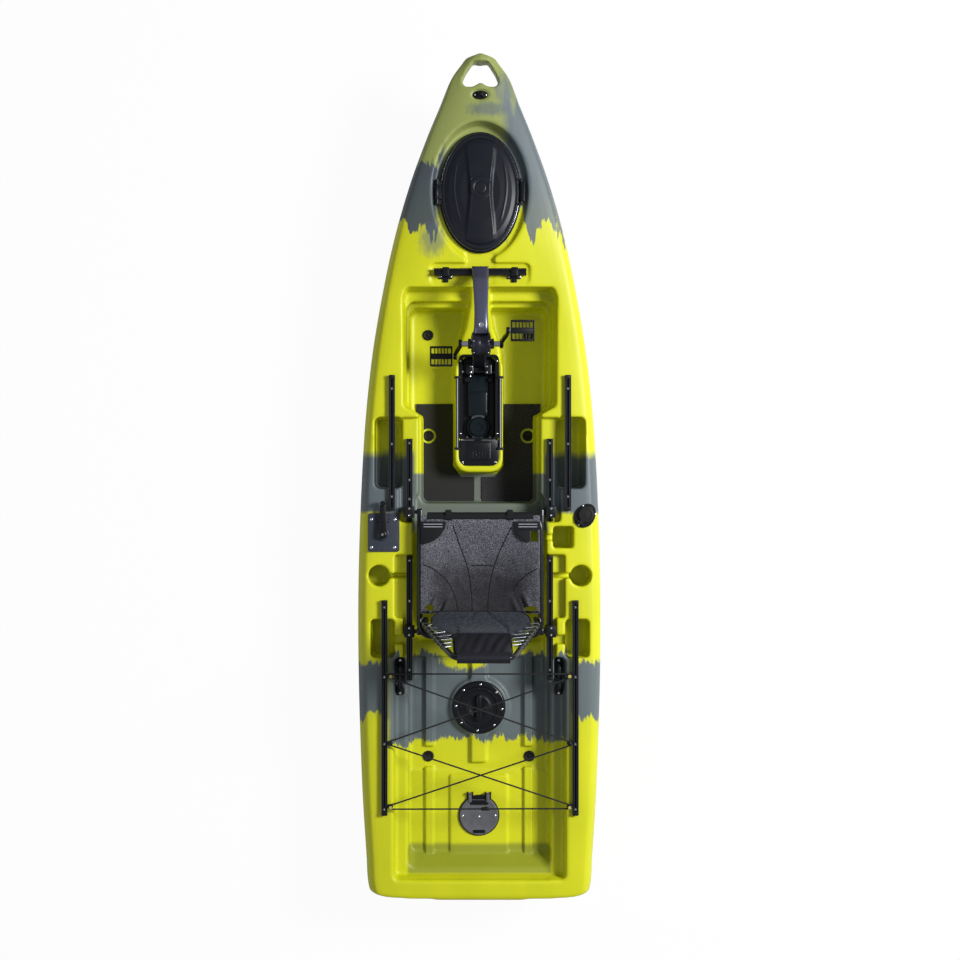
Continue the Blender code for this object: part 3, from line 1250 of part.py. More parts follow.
def back_frame():
    right = [back_point(BACK_TOP_X, BACK_LENGTH), back_point(BACK_TUBE_X, BACK_SHOULDER),
             back_point(BACK_TUBE_X, -0.012)]
    corners = [(-x, y, z) for x, y, z in reversed(right)] + right
    frame = sweep("back_frame", soft_route(corners, BACK_BEND, 5), BACK_TUBE_RADIUS, "black_metal", 8)
    for sign in (-1, 1):
        pin = rod("pin", (sign * BACK_TUBE_X, BACK_PIVOT_Y, BACK_PIVOT_Z),
                  (sign * (BACK_TUBE_X + 0.0165), BACK_PIVOT_Y, BACK_PIVOT_Z), 0.006)
        fuse(frame, pin)


# The panel's half width: its gap to the tubes, and how far it draws in beside their bends.
PANEL_GAP = 0.0071
TOP_BEND = 0.032
TOP_BEND_REACH = 0.065
SHOULDER_BEND = 0.006


def back_half(reach):
    """The half width of the panel between the backrest's tubes, which draw in above the shoulder."""
    slope = (BACK_TUBE_X - BACK_TOP_X) / (BACK_LENGTH - BACK_SHOULDER)
    below = BACK_TUBE_X - BACK_TUBE_RADIUS
    above = BACK_TUBE_X - slope * (reach - BACK_SHOULDER) - BACK_TUBE_RADIUS * math.hypot(1.0, slope)
    from_top = BACK_LENGTH - BACK_TUBE_RADIUS - reach
    top_bend = TOP_BEND * max(0.0, 1 - from_top / TOP_BEND_REACH) ** 2
    shoulder_bend = SHOULDER_BEND * max(0.0, 1 - ((reach - BACK_SHOULDER) / BACK_BEND) ** 2)
    return min(below, above) - PANEL_GAP - top_bend - shoulder_bend


def back_sling():
    """A padded panel between the backrest's tubes, crowned on both faces, its corners drawn in."""
    columns, rows = 10, 8
    low, high = 0.040, BACK_LENGTH - BACK_TUBE_RADIUS - 0.0030
    top, bottom = [], []
    for j in range(rows + 1):
        v = 2 * j / rows - 1
        reach = (low + high) / 2 + (high - low) / 2 * math.copysign(abs(v) ** 0.8, v)
        wide = back_half(reach)
        for i in range(columns + 1):
            u = 2 * i / columns - 1
            side = math.copysign(abs(u) ** 0.8, u)
            swell = 0.003 + 0.0105 * (1 - side ** 4) * (1 - abs(v) ** 4)
            channel = sum(0.0025 * math.exp(-((reach - seam) / 0.012) ** 2) for seam in (0.13, 0.225))
            swell -= min(channel, swell * 0.5)
            top.append(back_point(side * wide, reach, swell))
            bottom.append(back_point(side * wide, reach, -swell))
    return sheet_solid("back_sling", top, bottom, columns, rows, "padded_fabric")


PLATE_TOP_Z = DECK_Z + 0.0045
BOSS_TOP_Z = PLATE_TOP_Z + 0.0115
LEVER_LENGTH = 0.112


def steering_plate():
    x, y = PLATE_CENTRE
    w, d = PLATE_SIZE[0] / 2, PLATE_SIZE[1] / 2
    plate = prism("steering_plate", rounded(rect(x - w, x + w, y - d, y + d), 0.008, 3), DECK_Z + GAP,
                  PLATE_TOP_Z)
    boss = [(0.012, -0.0195), (0.012, 0.002), (0.024, 0.002), (0.024, 0.010), (0.021, BOSS_TOP_Z - DECK_Z)]
    fuse(plate, turned("boss", (*LEVER_PIVOT, DECK_Z), boss, count=16))
    bore = [(0.0043, 0.004), (0.0043, 0.05)]
    cut(plate, turned("bore", (*LEVER_PIVOT, DECK_Z), bore, count=12))


def steering_lever():
    x, y = LEVER_PIVOT
    low = BOSS_TOP_Z + GAP
    hub_radius, tip_radius = 0.017, 0.009
    lean = math.asin((hub_radius - tip_radius) / LEVER_LENGTH)
    outline = []
    for s in range(13):
        angle = math.pi - lean + (math.pi + 2 * lean) * s / 12
        outline.append((x + hub_radius * math.cos(angle), y + hub_radius * math.sin(angle)))
    for s in range(7):
        angle = lean + (math.pi - 2 * lean) * s / 6
        outline.append((x + tip_radius * math.cos(angle), y + LEVER_LENGTH + tip_radius * math.sin(angle)))
    lever = prism("steering_lever", outline, low, low + 0.008, "grey_metal")
    knob = turned("knob", (x, y + LEVER_LENGTH, low), [(0.007, 0.006), (0.009, 0.016), (0.009, 0.026),
                                                       (0.005, 0.030)],
                  "black_plastic", 16)
    pin = turned("pin", (x, y, low), [(0.004, -0.010), (0.004, 0.004)], "grey_metal", 12)
    fuse(lever, knob, pin)


def rod_local(px, py):
    c, s = math.cos(ROD_TURN), math.sin(ROD_TURN)
    return ROD_CENTRE[0] + px * c - py * s, ROD_CENTRE[1] + px * s + py * c


ROD_FLANGE_TOP = DECK_Z + 0.0065
ROD_HINGE = 0.0375
ROD_HINGE_Z = ROD_FLANGE_TOP + 0.0045


def rod_holder():
    oval = [rod_local(px, py - 0.004) for px, py in ellipse(0.0365, 0.0465, count=28)]
    holder = prism("rod_holder", oval, DECK_Z + GAP, ROD_FLANGE_TOP)
    tube = turned("tube", (*ROD_CENTRE, DECK_Z), [(ROD_TUBE_RADIUS, -0.165), (ROD_TUBE_RADIUS, 0.003)],
                  count=16)
    fuse(holder, tube)
    cut(holder, turned("bore", (*ROD_CENTRE, DECK_Z), [(ROD_TUBE_RADIUS - 0.0035, -0.160),
                                                       (ROD_TUBE_RADIUS - 0.0035, 0.05)],
                       count=16))
    for sign in (-1, 1):
        x0, x1 = sorted((sign * 0.0085, sign * 0.0145))
        ear = [rod_local(px, py) for px, py in rect(x0, x1, -ROD_HINGE - 0.005, -ROD_HINGE + 0.005)]
        fuse(holder, prism("ear", ear, ROD_FLANGE_TOP - 0.002, ROD_HINGE_Z + 0.004))
    pin = rod("pin", (*rod_local(-0.012, -ROD_HINGE), ROD_HINGE_Z),
              (*rod_local(0.012, -ROD_HINGE), ROD_HINGE_Z), 0.002, count=8)
    fuse(holder, pin)


def rod_holder_cap():
    low = ROD_FLANGE_TOP + GAP
    cap = turned("rod_holder_cap", (*ROD_CENTRE, low), [(0.0300, 0.0), (0.0300, 0.005), (0.026, 0.009),
                                                        (0.010, 0.0105)])
    knuckle_half = 0.0080
    arm = [rod_local(px, py) for px, py in rect(-knuckle_half, knuckle_half, -ROD_HINGE, -0.020)]
    fuse(cap, prism("arm", arm, ROD_HINGE_Z - 0.0025, ROD_HINGE_Z + 0.0035))
    barrel = rod("barrel", (*rod_local(-knuckle_half, -ROD_HINGE), ROD_HINGE_Z),
                 (*rod_local(knuckle_half, -ROD_HINGE), ROD_HINGE_Z), 0.0041, count=12)
    fuse(cap, barrel)
    cut(cap, rod("bore", (*rod_local(-0.02, -ROD_HINGE), ROD_HINGE_Z),
                 (*rod_local(0.02, -ROD_HINGE), ROD_HINGE_Z), 0.0023,
                 count=8))


def deck_hatch():
    outer, bore = DECK_HATCH_RADIUS, DECK_HATCH_BORE
    low = HATCH_SEAT_Z + GAP
    section_points = [(bore - 0.006, 0.0), (outer, 0.0), (outer, 0.007), (outer - 0.006, 0.011),
                      (bore + 0.0035, 0.011), (bore + 0.0035, 0.004), (bore - 0.006, 0.004)]
    turned_ring("deck_hatch_ring", (0, DECK_HATCH_Y, low), section_points, count=24)
    lid_radius = bore + 0.0031
    lid = turned("deck_hatch_lid", (0, DECK_HATCH_Y, low),
                 [(bore - 0.0065, 0.0015), (bore - 0.0065, 0.0043),
                 (lid_radius, 0.0043), (lid_radius, 0.0115), (lid_radius - 0.004, 0.013)], count=24)
    grip = rounded(rect(-0.010, 0.010, DECK_HATCH_Y - 0.048, DECK_HATCH_Y + 0.048), 0.0095, 3)
    fuse(lid, prism("grip", grip, low + 0.012, low + 0.026))


REAR_HINGE_Y = REAR_HATCH_Y + REAR_HATCH_RADIUS + 0.0065
REAR_HINGE_Z = HATCH_SEAT_Z + 0.0125
REAR_EAR_X = 0.033


def rear_hatch():
    outer, bore = REAR_HATCH_RADIUS, REAR_HATCH_BORE
    low = HATCH_SEAT_Z + GAP
    section_points = [(bore - 0.003, 0.0), (outer, 0.0), (outer, 0.005), (bore + 0.006, 0.005),
                      (bore + 0.006, 0.003), (bore - 0.003, 0.003)]
    ring = turned_ring("rear_hatch_ring", (0, REAR_HATCH_Y, low), section_points, count=20)
    lid = turned("rear_hatch_lid", (0, REAR_HATCH_Y, low),
                 [(outer - 0.004, 0.0055), (outer - 0.004, 0.0095),
                 (outer - 0.007, 0.0115)], "grey_plastic", 20)
    for sign in (-1, 1):
        x0, x1 = sorted((sign * (REAR_EAR_X - 0.006), sign * (REAR_EAR_X + 0.006)))
        for a, b in ((x0 - 0.0058, x0 - 0.0003), (x1 + 0.0003, x1 + 0.0058)):
            fuse(ring, block("foot", a, b, REAR_HINGE_Y - 0.030, REAR_HINGE_Y + 0.004, low, low + 0.0045))
            fuse(ring, rod("barrel", (a, REAR_HINGE_Y, REAR_HINGE_Z), (b, REAR_HINGE_Y, REAR_HINGE_Z),
                           0.0040, count=8))
            fuse(ring, block("web", a, b, REAR_HINGE_Y - 0.003, REAR_HINGE_Y + 0.003, low + 0.003,
                             REAR_HINGE_Z))
        fuse(ring, rod("pin", (x0 - 0.003, REAR_HINGE_Y, REAR_HINGE_Z),
                       (x1 + 0.003, REAR_HINGE_Y, REAR_HINGE_Z), 0.0016, count=8))
        fuse(lid, block("arm", x0, x1, REAR_HATCH_Y + 0.055, REAR_HINGE_Y, low + 0.0060,
                        REAR_HINGE_Z + 0.0022))
        fuse(lid, rod("barrel", (x0, REAR_HINGE_Y, REAR_HINGE_Z), (x1, REAR_HINGE_Y, REAR_HINGE_Z), 0.0040,
                      count=10))
    cut(lid, rod("bore", (-0.06, REAR_HINGE_Y, REAR_HINGE_Z), (0.06, REAR_HINGE_Y, REAR_HINGE_Z), 0.0019,
                 count=8))


def scupper_plugs():
    for name, x, y, z in scupper_places():
        stem, head = SCUPPER_RADIUS - 0.0012, SCUPPER_RADIUS + 0.0055
        profile = [(stem, -0.030), (stem, GAP), (head, GAP), (head, 0.005), (head - 0.0045, 0.008)]
        turned("scupper_plug_" + name, (x, y, z), profile, "rubber", 12)


HANDLE_X = 0.2895
HANDLE_Y = -0.7185


def side_handle(name, sign):
    low = TANK_LEDGE_Z + GAP
    x = sign * HANDLE_X
    feet = []
    for way in (-1, 1):
        y = HANDLE_Y + way * 0.050
        feet.append(prism("foot", rounded(rect(x - 0.0145, x + 0.0145, y - 0.017, y + 0.017), 0.012, 2),
                          low, low + 0.008))
    arch = [(x, HANDLE_Y - 0.050, low + 0.006), (x, HANDLE_Y - 0.046, low + 0.030),
            (x, HANDLE_Y + 0.046, low + 0.030), (x, HANDLE_Y + 0.050, low + 0.006)]
    body = sweep(name, soft_route(arch, 0.022, 2), 0.0075, "rubber", 8)
    fuse(body, *feet)


def rudder():
    x, y = 0.0, REAR_HATCH_Y
    stock = turned("rudder_blade", (x, y, 0), [(0.0105, 0.080), (0.0105, 0.130)], count=16)
    half = [(0.045, 0.0), (0.038, 0.005), (0.015, 0.008), (-0.050, 0.0065), (-0.110, 0.003),
            (-0.150, 0.001)]
    right = [(wide, y + along) for along, wide in half]
    left = [(-wide, y + along) for along, wide in reversed(half[1:])]
    outline = right + left
    top = [(px, py, RUDDER_POCKET_Z - 0.004) for px, py in outline]
    foot = [(px, y + (py - y) * 0.88, 0.016) for px, py in outline]
    fuse(stock, loft("blade", [foot, top]))
    fuse(stock, block("tiller", -0.006, 0.006, y - 0.055, y, 0.112, 0.121))


def steering_cable():
    x, y = LEVER_PIVOT
    stern = REAR_HATCH_Y
    route = [(x, y, DECK_Z - 0.0200), (x, y, 0.285), (x, y - 0.006, 0.250), (x - 0.001, y - 0.030, 0.205),
             (x - 0.001, -0.280, 0.165),
             (x, -0.400, 0.135), (-0.338, -0.560, 0.115), (-0.315, -0.740, 0.102), (-0.270, -0.900, 0.098),
             (-0.245, stern + 0.230, 0.108), (-0.195, stern + 0.140, 0.135), (-0.120, stern + 0.075, 0.158),
             (-0.055, stern + 0.028, 0.170), (-0.014, stern + 0.006, 0.163), (0.0, stern, 0.146),
             (0.0, stern, 0.1306)]
    cord("steering_cable", smooth_line(route, 1), 0.003, 1)


def smooth_line(points, steps):
    """Points on a smooth curve through a route."""
    route = [Vector(p) for p in points]
    out = []
    for i in range(len(route) - 1):
        p0 = route[max(i - 1, 0)]
        p1 = route[i]
        p2 = route[i + 1]
        p3 = route[min(i + 2, len(route) - 1)]
        for s in range(steps):
            t = s / steps
            out.append(0.5 * (2 * p1 + (p2 - p0) * t + (2 * p0 - 5 * p1 + 4 * p2 - p3) * t ** 2
                              + (3 * p1 - p0 - 3 * p2 + p3) * t ** 3))
    out.append(route[-1])
    return [tuple(p) for p in out]


def hang(parent_name, place, *names):
    """Sets the origin of moving pieces on their joint's axis and parents them to what carries them."""
    parent = bpy.data.objects[parent_name]
    for name in names:
        piece = bpy.data.objects[name]
        piece.data.transform(Matrix.Translation(-Vector(place)))
        piece.parent = parent
        piece.location = Vector(place) - ORIGINS[parent_name]
        ORIGINS[name] = Vector(place)


ORIGINS = {"hull": Vector((0.0, 0.0, 0.0))}


def hang_moving_pieces():
    hang("hull", (HINGE_X, HATCH_Y, HINGE_Z), "front_hatch_lid")
    hang("front_hatch_lid", (LATCH_X, HATCH_Y, LATCH_Z), "front_hatch_latch")
    hang("hull", (0.0, DECK_HATCH_Y, HATCH_SEAT_Z), "deck_hatch_lid")
    hang("hull", (0.0, REAR_HINGE_Y, REAR_HINGE_Z), "rear_hatch_lid")
    hang("hull", (0.0, CRANK_Y, CRANK_Z), "crank_spindle", "drive_shaft")
    hang("crank_spindle", (0.0, CRANK_Y, CRANK_Z), "crank_left", "crank_right")
    for side, sign in (("left", -1), ("right", 1)):
        hang("crank_" + side, (sign * PEDAL_X, *crank_end(sign)), "pedal_" + side)
    hang("hull", (0.0, PIVOT_Y, PIVOT_Z), "drive_leg")
    hang("drive_leg", (0.0, GEARBOX_Y, PIVOT_Z), "gearbox", "propeller")
    hang("hull", (*LEVER_PIVOT, DECK_Z), "steering_lever")
    hang("hull", (0.0, REAR_HATCH_Y, RUDDER_POCKET_Z), "rudder_blade")
    hang("hull", (*rod_local(0.0, -ROD_HINGE), ROD_HINGE_Z), "rod_holder_cap")
    hang("hull", (0.0, SEAT_REAR_Y, SEAT_Z), "seat_frame")
    clamps = [f"seat_clamp_{end}_{side}" for end in ("front", "rear") for side in ("left", "right")]
    hang("seat_frame", (0.0, SEAT_REAR_Y, SEAT_Z), "seat_sling", *clamps)
    hang("seat_frame", (0.0, BACK_PIVOT_Y, BACK_PIVOT_Z), "back_frame")
    hang("back_frame", (0.0, BACK_PIVOT_Y, BACK_PIVOT_Z), "back_sling")


def main():
    clear_scene()
    make_hull()
    front_hatch()
    bow_pad_eye()
    crossbar()
    saddle("saddle_left", -SADDLE_X)
    saddle("saddle_right", SADDLE_X)
    drive_arm()
    drive_housing()
    drive_shaft()
    crank_spindle()
    for side, sign in (("left", -1), ("right", 1)):
        crank("crank_" + side, sign)
        pedal("pedal_" + side, sign)
        foot_pad("foot_pad_" + side, mirrored if sign < 0 else list)
        track("front_track_" + side, sign * FRONT_TRACK_X, -0.110, 0.378, DECK_Z)
        rear_track("rear_track_" + side, sign)
        track("seat_rail_front_" + side, sign * RAIL_X, -0.150, 0.150, LEDGE_Z)
        track("seat_rail_rear_" + side, sign * RAIL_X, -0.726, -0.275, LEDGE_Z)
        seat_clamp("seat_clamp_front_" + side, sign, CLAMP_FRONT_Y)
        seat_clamp("seat_clamp_rear_" + side, sign, CLAMP_REAR_Y)
        side_handle("side_handle_" + side, sign)
    well_liner()
    drive_cradle()
    drive_leg()
    gearbox()
    propeller()
    seat_frame()
    seat_sling()
    back_frame()
    back_sling()
    steering_plate()
    steering_lever()
    rod_holder()
    rod_holder_cap()
    deck_hatch()
    rear_hatch()
    scupper_plugs()
    rudder()
    steering_cable()
    bungee()
    hang_moving_pieces()


main()
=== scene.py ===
"""Looks of the fishing kayak: the moulded hull, every finish, the seat's cloth and the small hardware."""
import json
import math

import bmesh
import bpy
import numpy as np
from mathutils import Matrix, Vector

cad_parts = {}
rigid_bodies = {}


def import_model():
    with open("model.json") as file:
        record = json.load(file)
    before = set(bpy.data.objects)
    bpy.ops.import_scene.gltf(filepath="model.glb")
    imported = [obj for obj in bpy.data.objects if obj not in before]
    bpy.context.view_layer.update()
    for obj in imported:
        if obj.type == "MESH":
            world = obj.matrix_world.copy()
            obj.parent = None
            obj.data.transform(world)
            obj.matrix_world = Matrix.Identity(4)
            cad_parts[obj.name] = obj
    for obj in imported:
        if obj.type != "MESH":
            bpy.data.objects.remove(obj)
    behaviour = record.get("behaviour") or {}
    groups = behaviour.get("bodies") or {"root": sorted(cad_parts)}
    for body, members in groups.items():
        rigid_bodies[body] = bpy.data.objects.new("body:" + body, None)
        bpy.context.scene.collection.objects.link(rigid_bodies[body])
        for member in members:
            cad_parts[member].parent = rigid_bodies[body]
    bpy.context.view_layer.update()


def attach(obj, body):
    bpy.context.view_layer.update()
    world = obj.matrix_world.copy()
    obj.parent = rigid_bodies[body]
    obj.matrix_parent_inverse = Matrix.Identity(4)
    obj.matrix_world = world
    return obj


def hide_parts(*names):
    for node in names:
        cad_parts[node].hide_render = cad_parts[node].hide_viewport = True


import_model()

# Hull, in metres: bow towards +Y, starboard towards +X, keel on Z = 0
HALF_LENGTH = 1.525
HALF_BEAM = 0.444
DECK_Z = 0.33
LEDGE_Z = 0.3
FOOT_Z = 0.115
SILL_Z = 0.22
SEAT_FLOOR_Z = 0.19
TANK_Z = 0.2
TANK_LEDGE_Z = 0.27
CONSOLE_TOP_Z = 0.205
HATCH_CENTRE = (0.0, 1.035)
DECK_HATCH_Y = -0.84
REAR_HATCH_Y = -1.239
CELL = 0.005
GRID_LOW = Vector((-0.46, -1.545, -0.015))
GRID_HIGH = Vector((0.46, 1.545, 0.43))
SIDES = ((-1, "left"), (1, "right"))


def new_object(name, verts, faces, smooth_angle=40.0):
    """A mesh object with its faces out and its sharp edges marked."""
    mesh = bpy.data.meshes.new(name)
    mesh.from_pydata([tuple(v) for v in verts], [], [tuple(f) for f in faces])
    work = bmesh.new()
    work.from_mesh(mesh)
    bmesh.ops.recalc_face_normals(work, faces=work.faces)
    if work.calc_volume(signed=True) < 0:
        bmesh.ops.reverse_faces(work, faces=work.faces)
    work.to_mesh(mesh)
    work.free()
    mesh.shade_smooth()
    mesh.set_sharp_from_angle(angle=math.radians(smooth_angle))
    made = bpy.data.objects.new(name, mesh)
    bpy.context.scene.collection.objects.link(made)
    return made


def rect(x0, x1, y0, y1):
    return [(x0, y0), (x1, y0), (x1, y1), (x0, y1)]


def ellipse(half_x, half_y, centre=(0.0, 0.0), count=72):
    step = 2 * math.pi / count
    return [(centre[0] + half_x * math.cos(i * step), centre[1] + half_y * math.sin(i * step))
            for i in range(count)]


def rounded(corners, radius, steps=8):
    """Replaces each corner of an outline by an arc, as far as its edges allow."""
    count = len(corners)
    points = []
    for i in range(count):
        here = Vector(corners[i])
        back = Vector(corners[i - 1]) - here
        ahead = Vector(corners[(i + 1) % count]) - here
        half_angle = back.angle(ahead) / 2
        reach = min(radius / math.tan(half_angle), 0.49 * back.length, 0.49 * ahead.length)
        true_radius = reach * math.tan(half_angle)
        bisector = (back.normalized() + ahead.normalized()).normalized()
        centre = here + bisector * (true_radius / math.sin(half_angle))
        arm = here + back.normalized() * reach - centre
        turn = arm.angle_signed(here + ahead.normalized() * reach - centre)
        for s in range(steps + 1):
            angle = -turn * s / steps
            points.append((centre.x + arm.x * math.cos(angle) - arm.y * math.sin(angle),
                           centre.y + arm.x * math.sin(angle) + arm.y * math.cos(angle)))
    return points


def mirrored(corners):
    return [(-x, y) for x, y in reversed(corners)]


def smooth_step(value):
    t = np.clip(value, 0.0, 1.0)
    return t * t * (3 - 2 * t)


def smooth_max(a, b, radius):
    """The larger of two distances, with a round of about the radius where they meet."""
    width = max(1.17 * radius, 1e-6)
    blend = np.maximum(width - np.abs(a - b), 0.0) / width
    return np.maximum(a, b) + blend * blend * width / 4


def smooth_min(a, b, radius):
    return -smooth_max(-a, -b, radius)


def eased(value, start, width):
    """0 up to the start, then smoothly to 1 over the width."""
    return float(smooth_step((value - start) / width))


def bell(value, middle, width):
    return math.exp(-((value - middle) / width) ** 2)


def turns(count):
    """Evenly spaced angles round a full turn."""
    return [2 * math.pi * i / count for i in range(count)]


def outline_distance(outline, x, y, closed=True):
    """Signed distance from an outline, negative inside; an open one closes along x = 0 for its inside."""
    points = np.array(outline, np.float32)
    x, y = np.broadcast_arrays(np.asarray(x, np.float32), np.asarray(y, np.float32))
    nearest = np.full(x.shape, 1e9, np.float32)
    inside = np.zeros(x.shape, bool)
    count = len(points)
    for i in range(count):
        ax, ay = points[i]
        bx, by = points[(i + 1) % count]
        along_x, along_y = bx - ax, by - ay
        length = along_x * along_x + along_y * along_y
        if length > 1e-14 and (closed or i < count - 1):
            t = np.clip(((x - ax) * along_x + (y - ay) * along_y) / length, 0, 1)
            nearest = np.minimum(nearest, (x - ax - along_x * t) ** 2 + (y - ay - along_y * t) ** 2)
        if ay != by and (closed or i < count - 1):
            inside ^= ((ay > y) != (by > y)) & (x < ax + along_x * (y - ay) / along_y)
    return np.where(inside, -1.0, 1.0).astype(np.float32) * np.sqrt(nearest)


# Half width from stern (-1) to bow (1), as shares of half the length and half the beam
PLAN = [(-1.0, 0.4), (-0.995, 0.72), (-0.988, 0.86), (-0.975, 0.91), (-0.9, 0.933), (-0.72, 0.971),
        (-0.43, 1.0), (-0.19, 0.996), (0.09, 0.955), (0.28, 0.894), (0.42, 0.817), (0.565, 0.712),
        (0.7, 0.578), (0.81, 0.437), (0.885, 0.326), (0.918, 0.276), (0.948, 0.223), (0.976, 0.151),
        (0.99, 0.112), (1.0, 0.055)]
# One side of a section from keel to gunwale: share of the half width, of the depth, and what the bow adds
SECTION = [(0.15, 0.0, 0.0), (0.3, 0.065, 0.1), (0.46, 0.065, 0.16), (0.56, 0.0, 0.22), (0.72, 0.0, 0.3),
           (0.86, 0.1, 0.32), (0.945, 0.32, 0.28), (0.985, 0.6, 0.16), (1.0, 0.79, 0.05),
           (0.99, 0.875, 0.0), (0.955, 0.955, 0.0), (0.905, 1.0, 0.0)]


def half_width(y):
    share = min(max(y / HALF_LENGTH, -1.0), 1.0)
    last = len(PLAN) - 1
    i = 0
    while i < last - 1 and share > PLAN[i + 1][0]:
        i += 1
    (x1, w1), (x2, w2) = PLAN[i], PLAN[i + 1]
    x0, w0 = PLAN[max(i - 1, 0)]
    x3, w3 = PLAN[min(i + 2, last)]
    t = (share - x1) / (x2 - x1)
    slope_1 = (w2 - w0) / (x2 - x0) * (x2 - x1)
    slope_2 = (w3 - w1) / (x3 - x1) * (x2 - x1)
    value = (2 * t ** 3 - 3 * t ** 2 + 1) * w1 + (t ** 3 - 2 * t ** 2 + t) * slope_1
    value += (3 * t ** 2 - 2 * t ** 3) * w2 + (t ** 3 - t ** 2) * slope_2
    return value * HALF_BEAM


def sheer_z(y):
    return DECK_Z + 0.065 * (max(y - 0.5, 0.0) / 1.025) ** 1.3


def crown_z(y):
    return 0.022 * eased(y, 0.55, 0.4)


def keel_z(y):
    bow = max(y - 1.05, 0.0) / 0.475
    stern = max(-1.15 - y, 0.0) / 0.375
    keel = 0.22 * bow ** 2.2 + 0.06 * stern ** 1.6
    beak = eased(y, 1.35, 0.095)
    return keel + (sheer_z(y) - 0.055 - keel) * beak


def section_outline(y):
    """The right half of a section, from the keel's middle to the deck's, its corners cut twice."""
    width, low, high = half_width(y), keel_z(y), sheer_z(y)
    entry = eased(y, 0.775, 0.75)
    points = [(0.0, low)]
    points += [(width * wide, low + (high - low) * (tall + entry * more)) for wide, tall, more in SECTION]
    points += [(width * 0.5, high + crown_z(y) * 0.8), (0.0, high + crown_z(y))]
    for _ in range(2):
        finer = [points[0]]
        for (ax, az), (bx, bz) in zip(points, points[1:]):
            finer += [(0.75 * ax + 0.25 * bx, 0.75 * az + 0.25 * bz),
                      (0.25 * ax + 0.75 * bx, 0.25 * az + 0.75 * bz)]
        points = finer + [points[-1]]
    return points


class Moulding:
    """A solid on a grid of distances, carved and built up with rounded meetings."""

    def __init__(self):
        counts = [int(round((GRID_HIGH[k] - GRID_LOW[k]) / CELL)) + 1 for k in range(3)]
        self.x, self.y, self.z = (np.float32(GRID_LOW[k])
                                  + np.arange(counts[k], dtype=np.float32) * np.float32(CELL)
                                  for k in range(3))
        self.field = np.empty(counts, np.float32)

    def fill_hull(self):
        """The outer form, one cross section at a time; both sides take the same distances."""
        middle = len(self.x) // 2
        right, up = self.x[middle:, None], self.z[None, :]
        for j, y in enumerate(self.y):
            half_section = outline_distance(section_outline(float(y)), right, up, closed=False)
            self.field[middle:, j] = half_section
            self.field[:middle + 1, j] = half_section[::-1]
        slopes = np.gradient(self.field, CELL)
        steep = np.sqrt(sum(s * s for s in slopes))
        self.field /= np.clip(steep, 1.0, 8.0)
        ends = np.abs(self.y)[None, :, None] - HALF_LENGTH
        self.field = smooth_max(self.field, ends, 0.022).astype(np.float32)

    def window(self, x0, x1, y0, y1, spare=0.035):
        """Views of the grid's part over a rectangle: x, y, z as columns, and the distances."""
        i0, i1 = np.searchsorted(self.x, (x0 - spare, x1 + spare))
        j0, j1 = np.searchsorted(self.y, (y0 - spare, y1 + spare))
        return (self.x[i0:i1, None, None], self.y[None, j0:j1, None], self.z[None, None, :],
                self.field[i0:i1, j0:j1])

    def over(self, outline):
        xs, ys = zip(*outline)
        x, y, z, part = self.window(min(xs), max(xs), min(ys), max(ys))
        return outline_distance(outline, x[:, :, 0], y[:, :, 0])[:, :, None], z, part

    def carve(self, outline, floor, rim=DECK_Z, draft=0.0, edge=0.009, fillet=0.012):
        wall, z, part = self.over(outline)
        if draft:
            wall = wall + draft * np.clip((rim - z) / (rim - floor), 0, 1)
        part[...] = smooth_max(part, -smooth_max(wall, floor - z, fillet), edge)

    def hollow_below(self, outline, ceiling, edge=0.006, fillet=0.01):
        wall, z, part = self.over(outline)
        part[...] = smooth_max(part, -smooth_max(wall, z - ceiling, fillet), edge)

    def pierce(self, outline, low=-1.0, edge=0.004):
        wall, z, part = self.over(outline)
        part[...] = smooth_max(part, -np.maximum(wall, low - z), edge)

    def raise_up(self, outline, top, low, edge=0.006, fillet=0.008):
        wall, z, part = self.over(outline)
        body = np.maximum(smooth_max(wall, z - top, edge), low - z)
        part[...] = smooth_min(part, body, fillet)


def surface_net(field, low, cell):
    """Quads on the zero level of a grid of distances."""
    inside = field < 0
    shape = np.array(field.shape) - 1
    corners = [(i, j, k) for i in (0, 1) for j in (0, 1) for k in (0, 1)]
    total = np.zeros(shape, np.uint8)
    for i, j, k in corners:
        total += inside[i:i + shape[0], j:j + shape[1], k:k + shape[2]]
    cells = np.argwhere((total > 0) & (total < 8))
    number = np.full(shape, -1, np.int64)
    number[tuple(cells.T)] = np.arange(len(cells))
    place = np.zeros((len(cells), 3))
    hits = np.zeros(len(cells))
    for a in corners:
        for axis in range(3):
            if a[axis]:
                continue
            b = list(a)
            b[axis] = 1
            value_a = field[tuple((cells + a).T)].astype(float)
            value_b = field[tuple((cells + b).T)].astype(float)
            crossed = (value_a < 0) != (value_b < 0)
            share = value_a[crossed] / (value_a[crossed] - value_b[crossed])
            point = np.repeat(np.array(a, float)[None], len(share), 0)
            point[:, axis] = share
            place[crossed] += point
            hits[crossed] += 1
    verts = (cells + place / hits[:, None]) * cell + np.array(low)
    quads = []
    for axis in range(3):
        u, v = (axis + 1) % 3, (axis + 2) % 3
        step = np.zeros(3, int)
        step[axis] = 1
        first = inside[tuple(slice(0, n - s) for n, s in zip(field.shape, step))]
        second = inside[tuple(slice(s, n) for n, s in zip(field.shape, step))]
        edges = np.argwhere(first != second)
        flip = second[tuple(edges.T)]
        around = []
        for du, dv in ((-1, -1), (0, -1), (0, 0), (-1, 0)):
            cell_at = edges.copy()
            cell_at[:, u] += du
            cell_at[:, v] += dv
            around.append(number[tuple(cell_at.T)])
        quad = np.stack(around, 1)
        quad[flip] = quad[flip][:, ::-1]
        quads.append(quad)
    return verts, np.concatenate(quads)


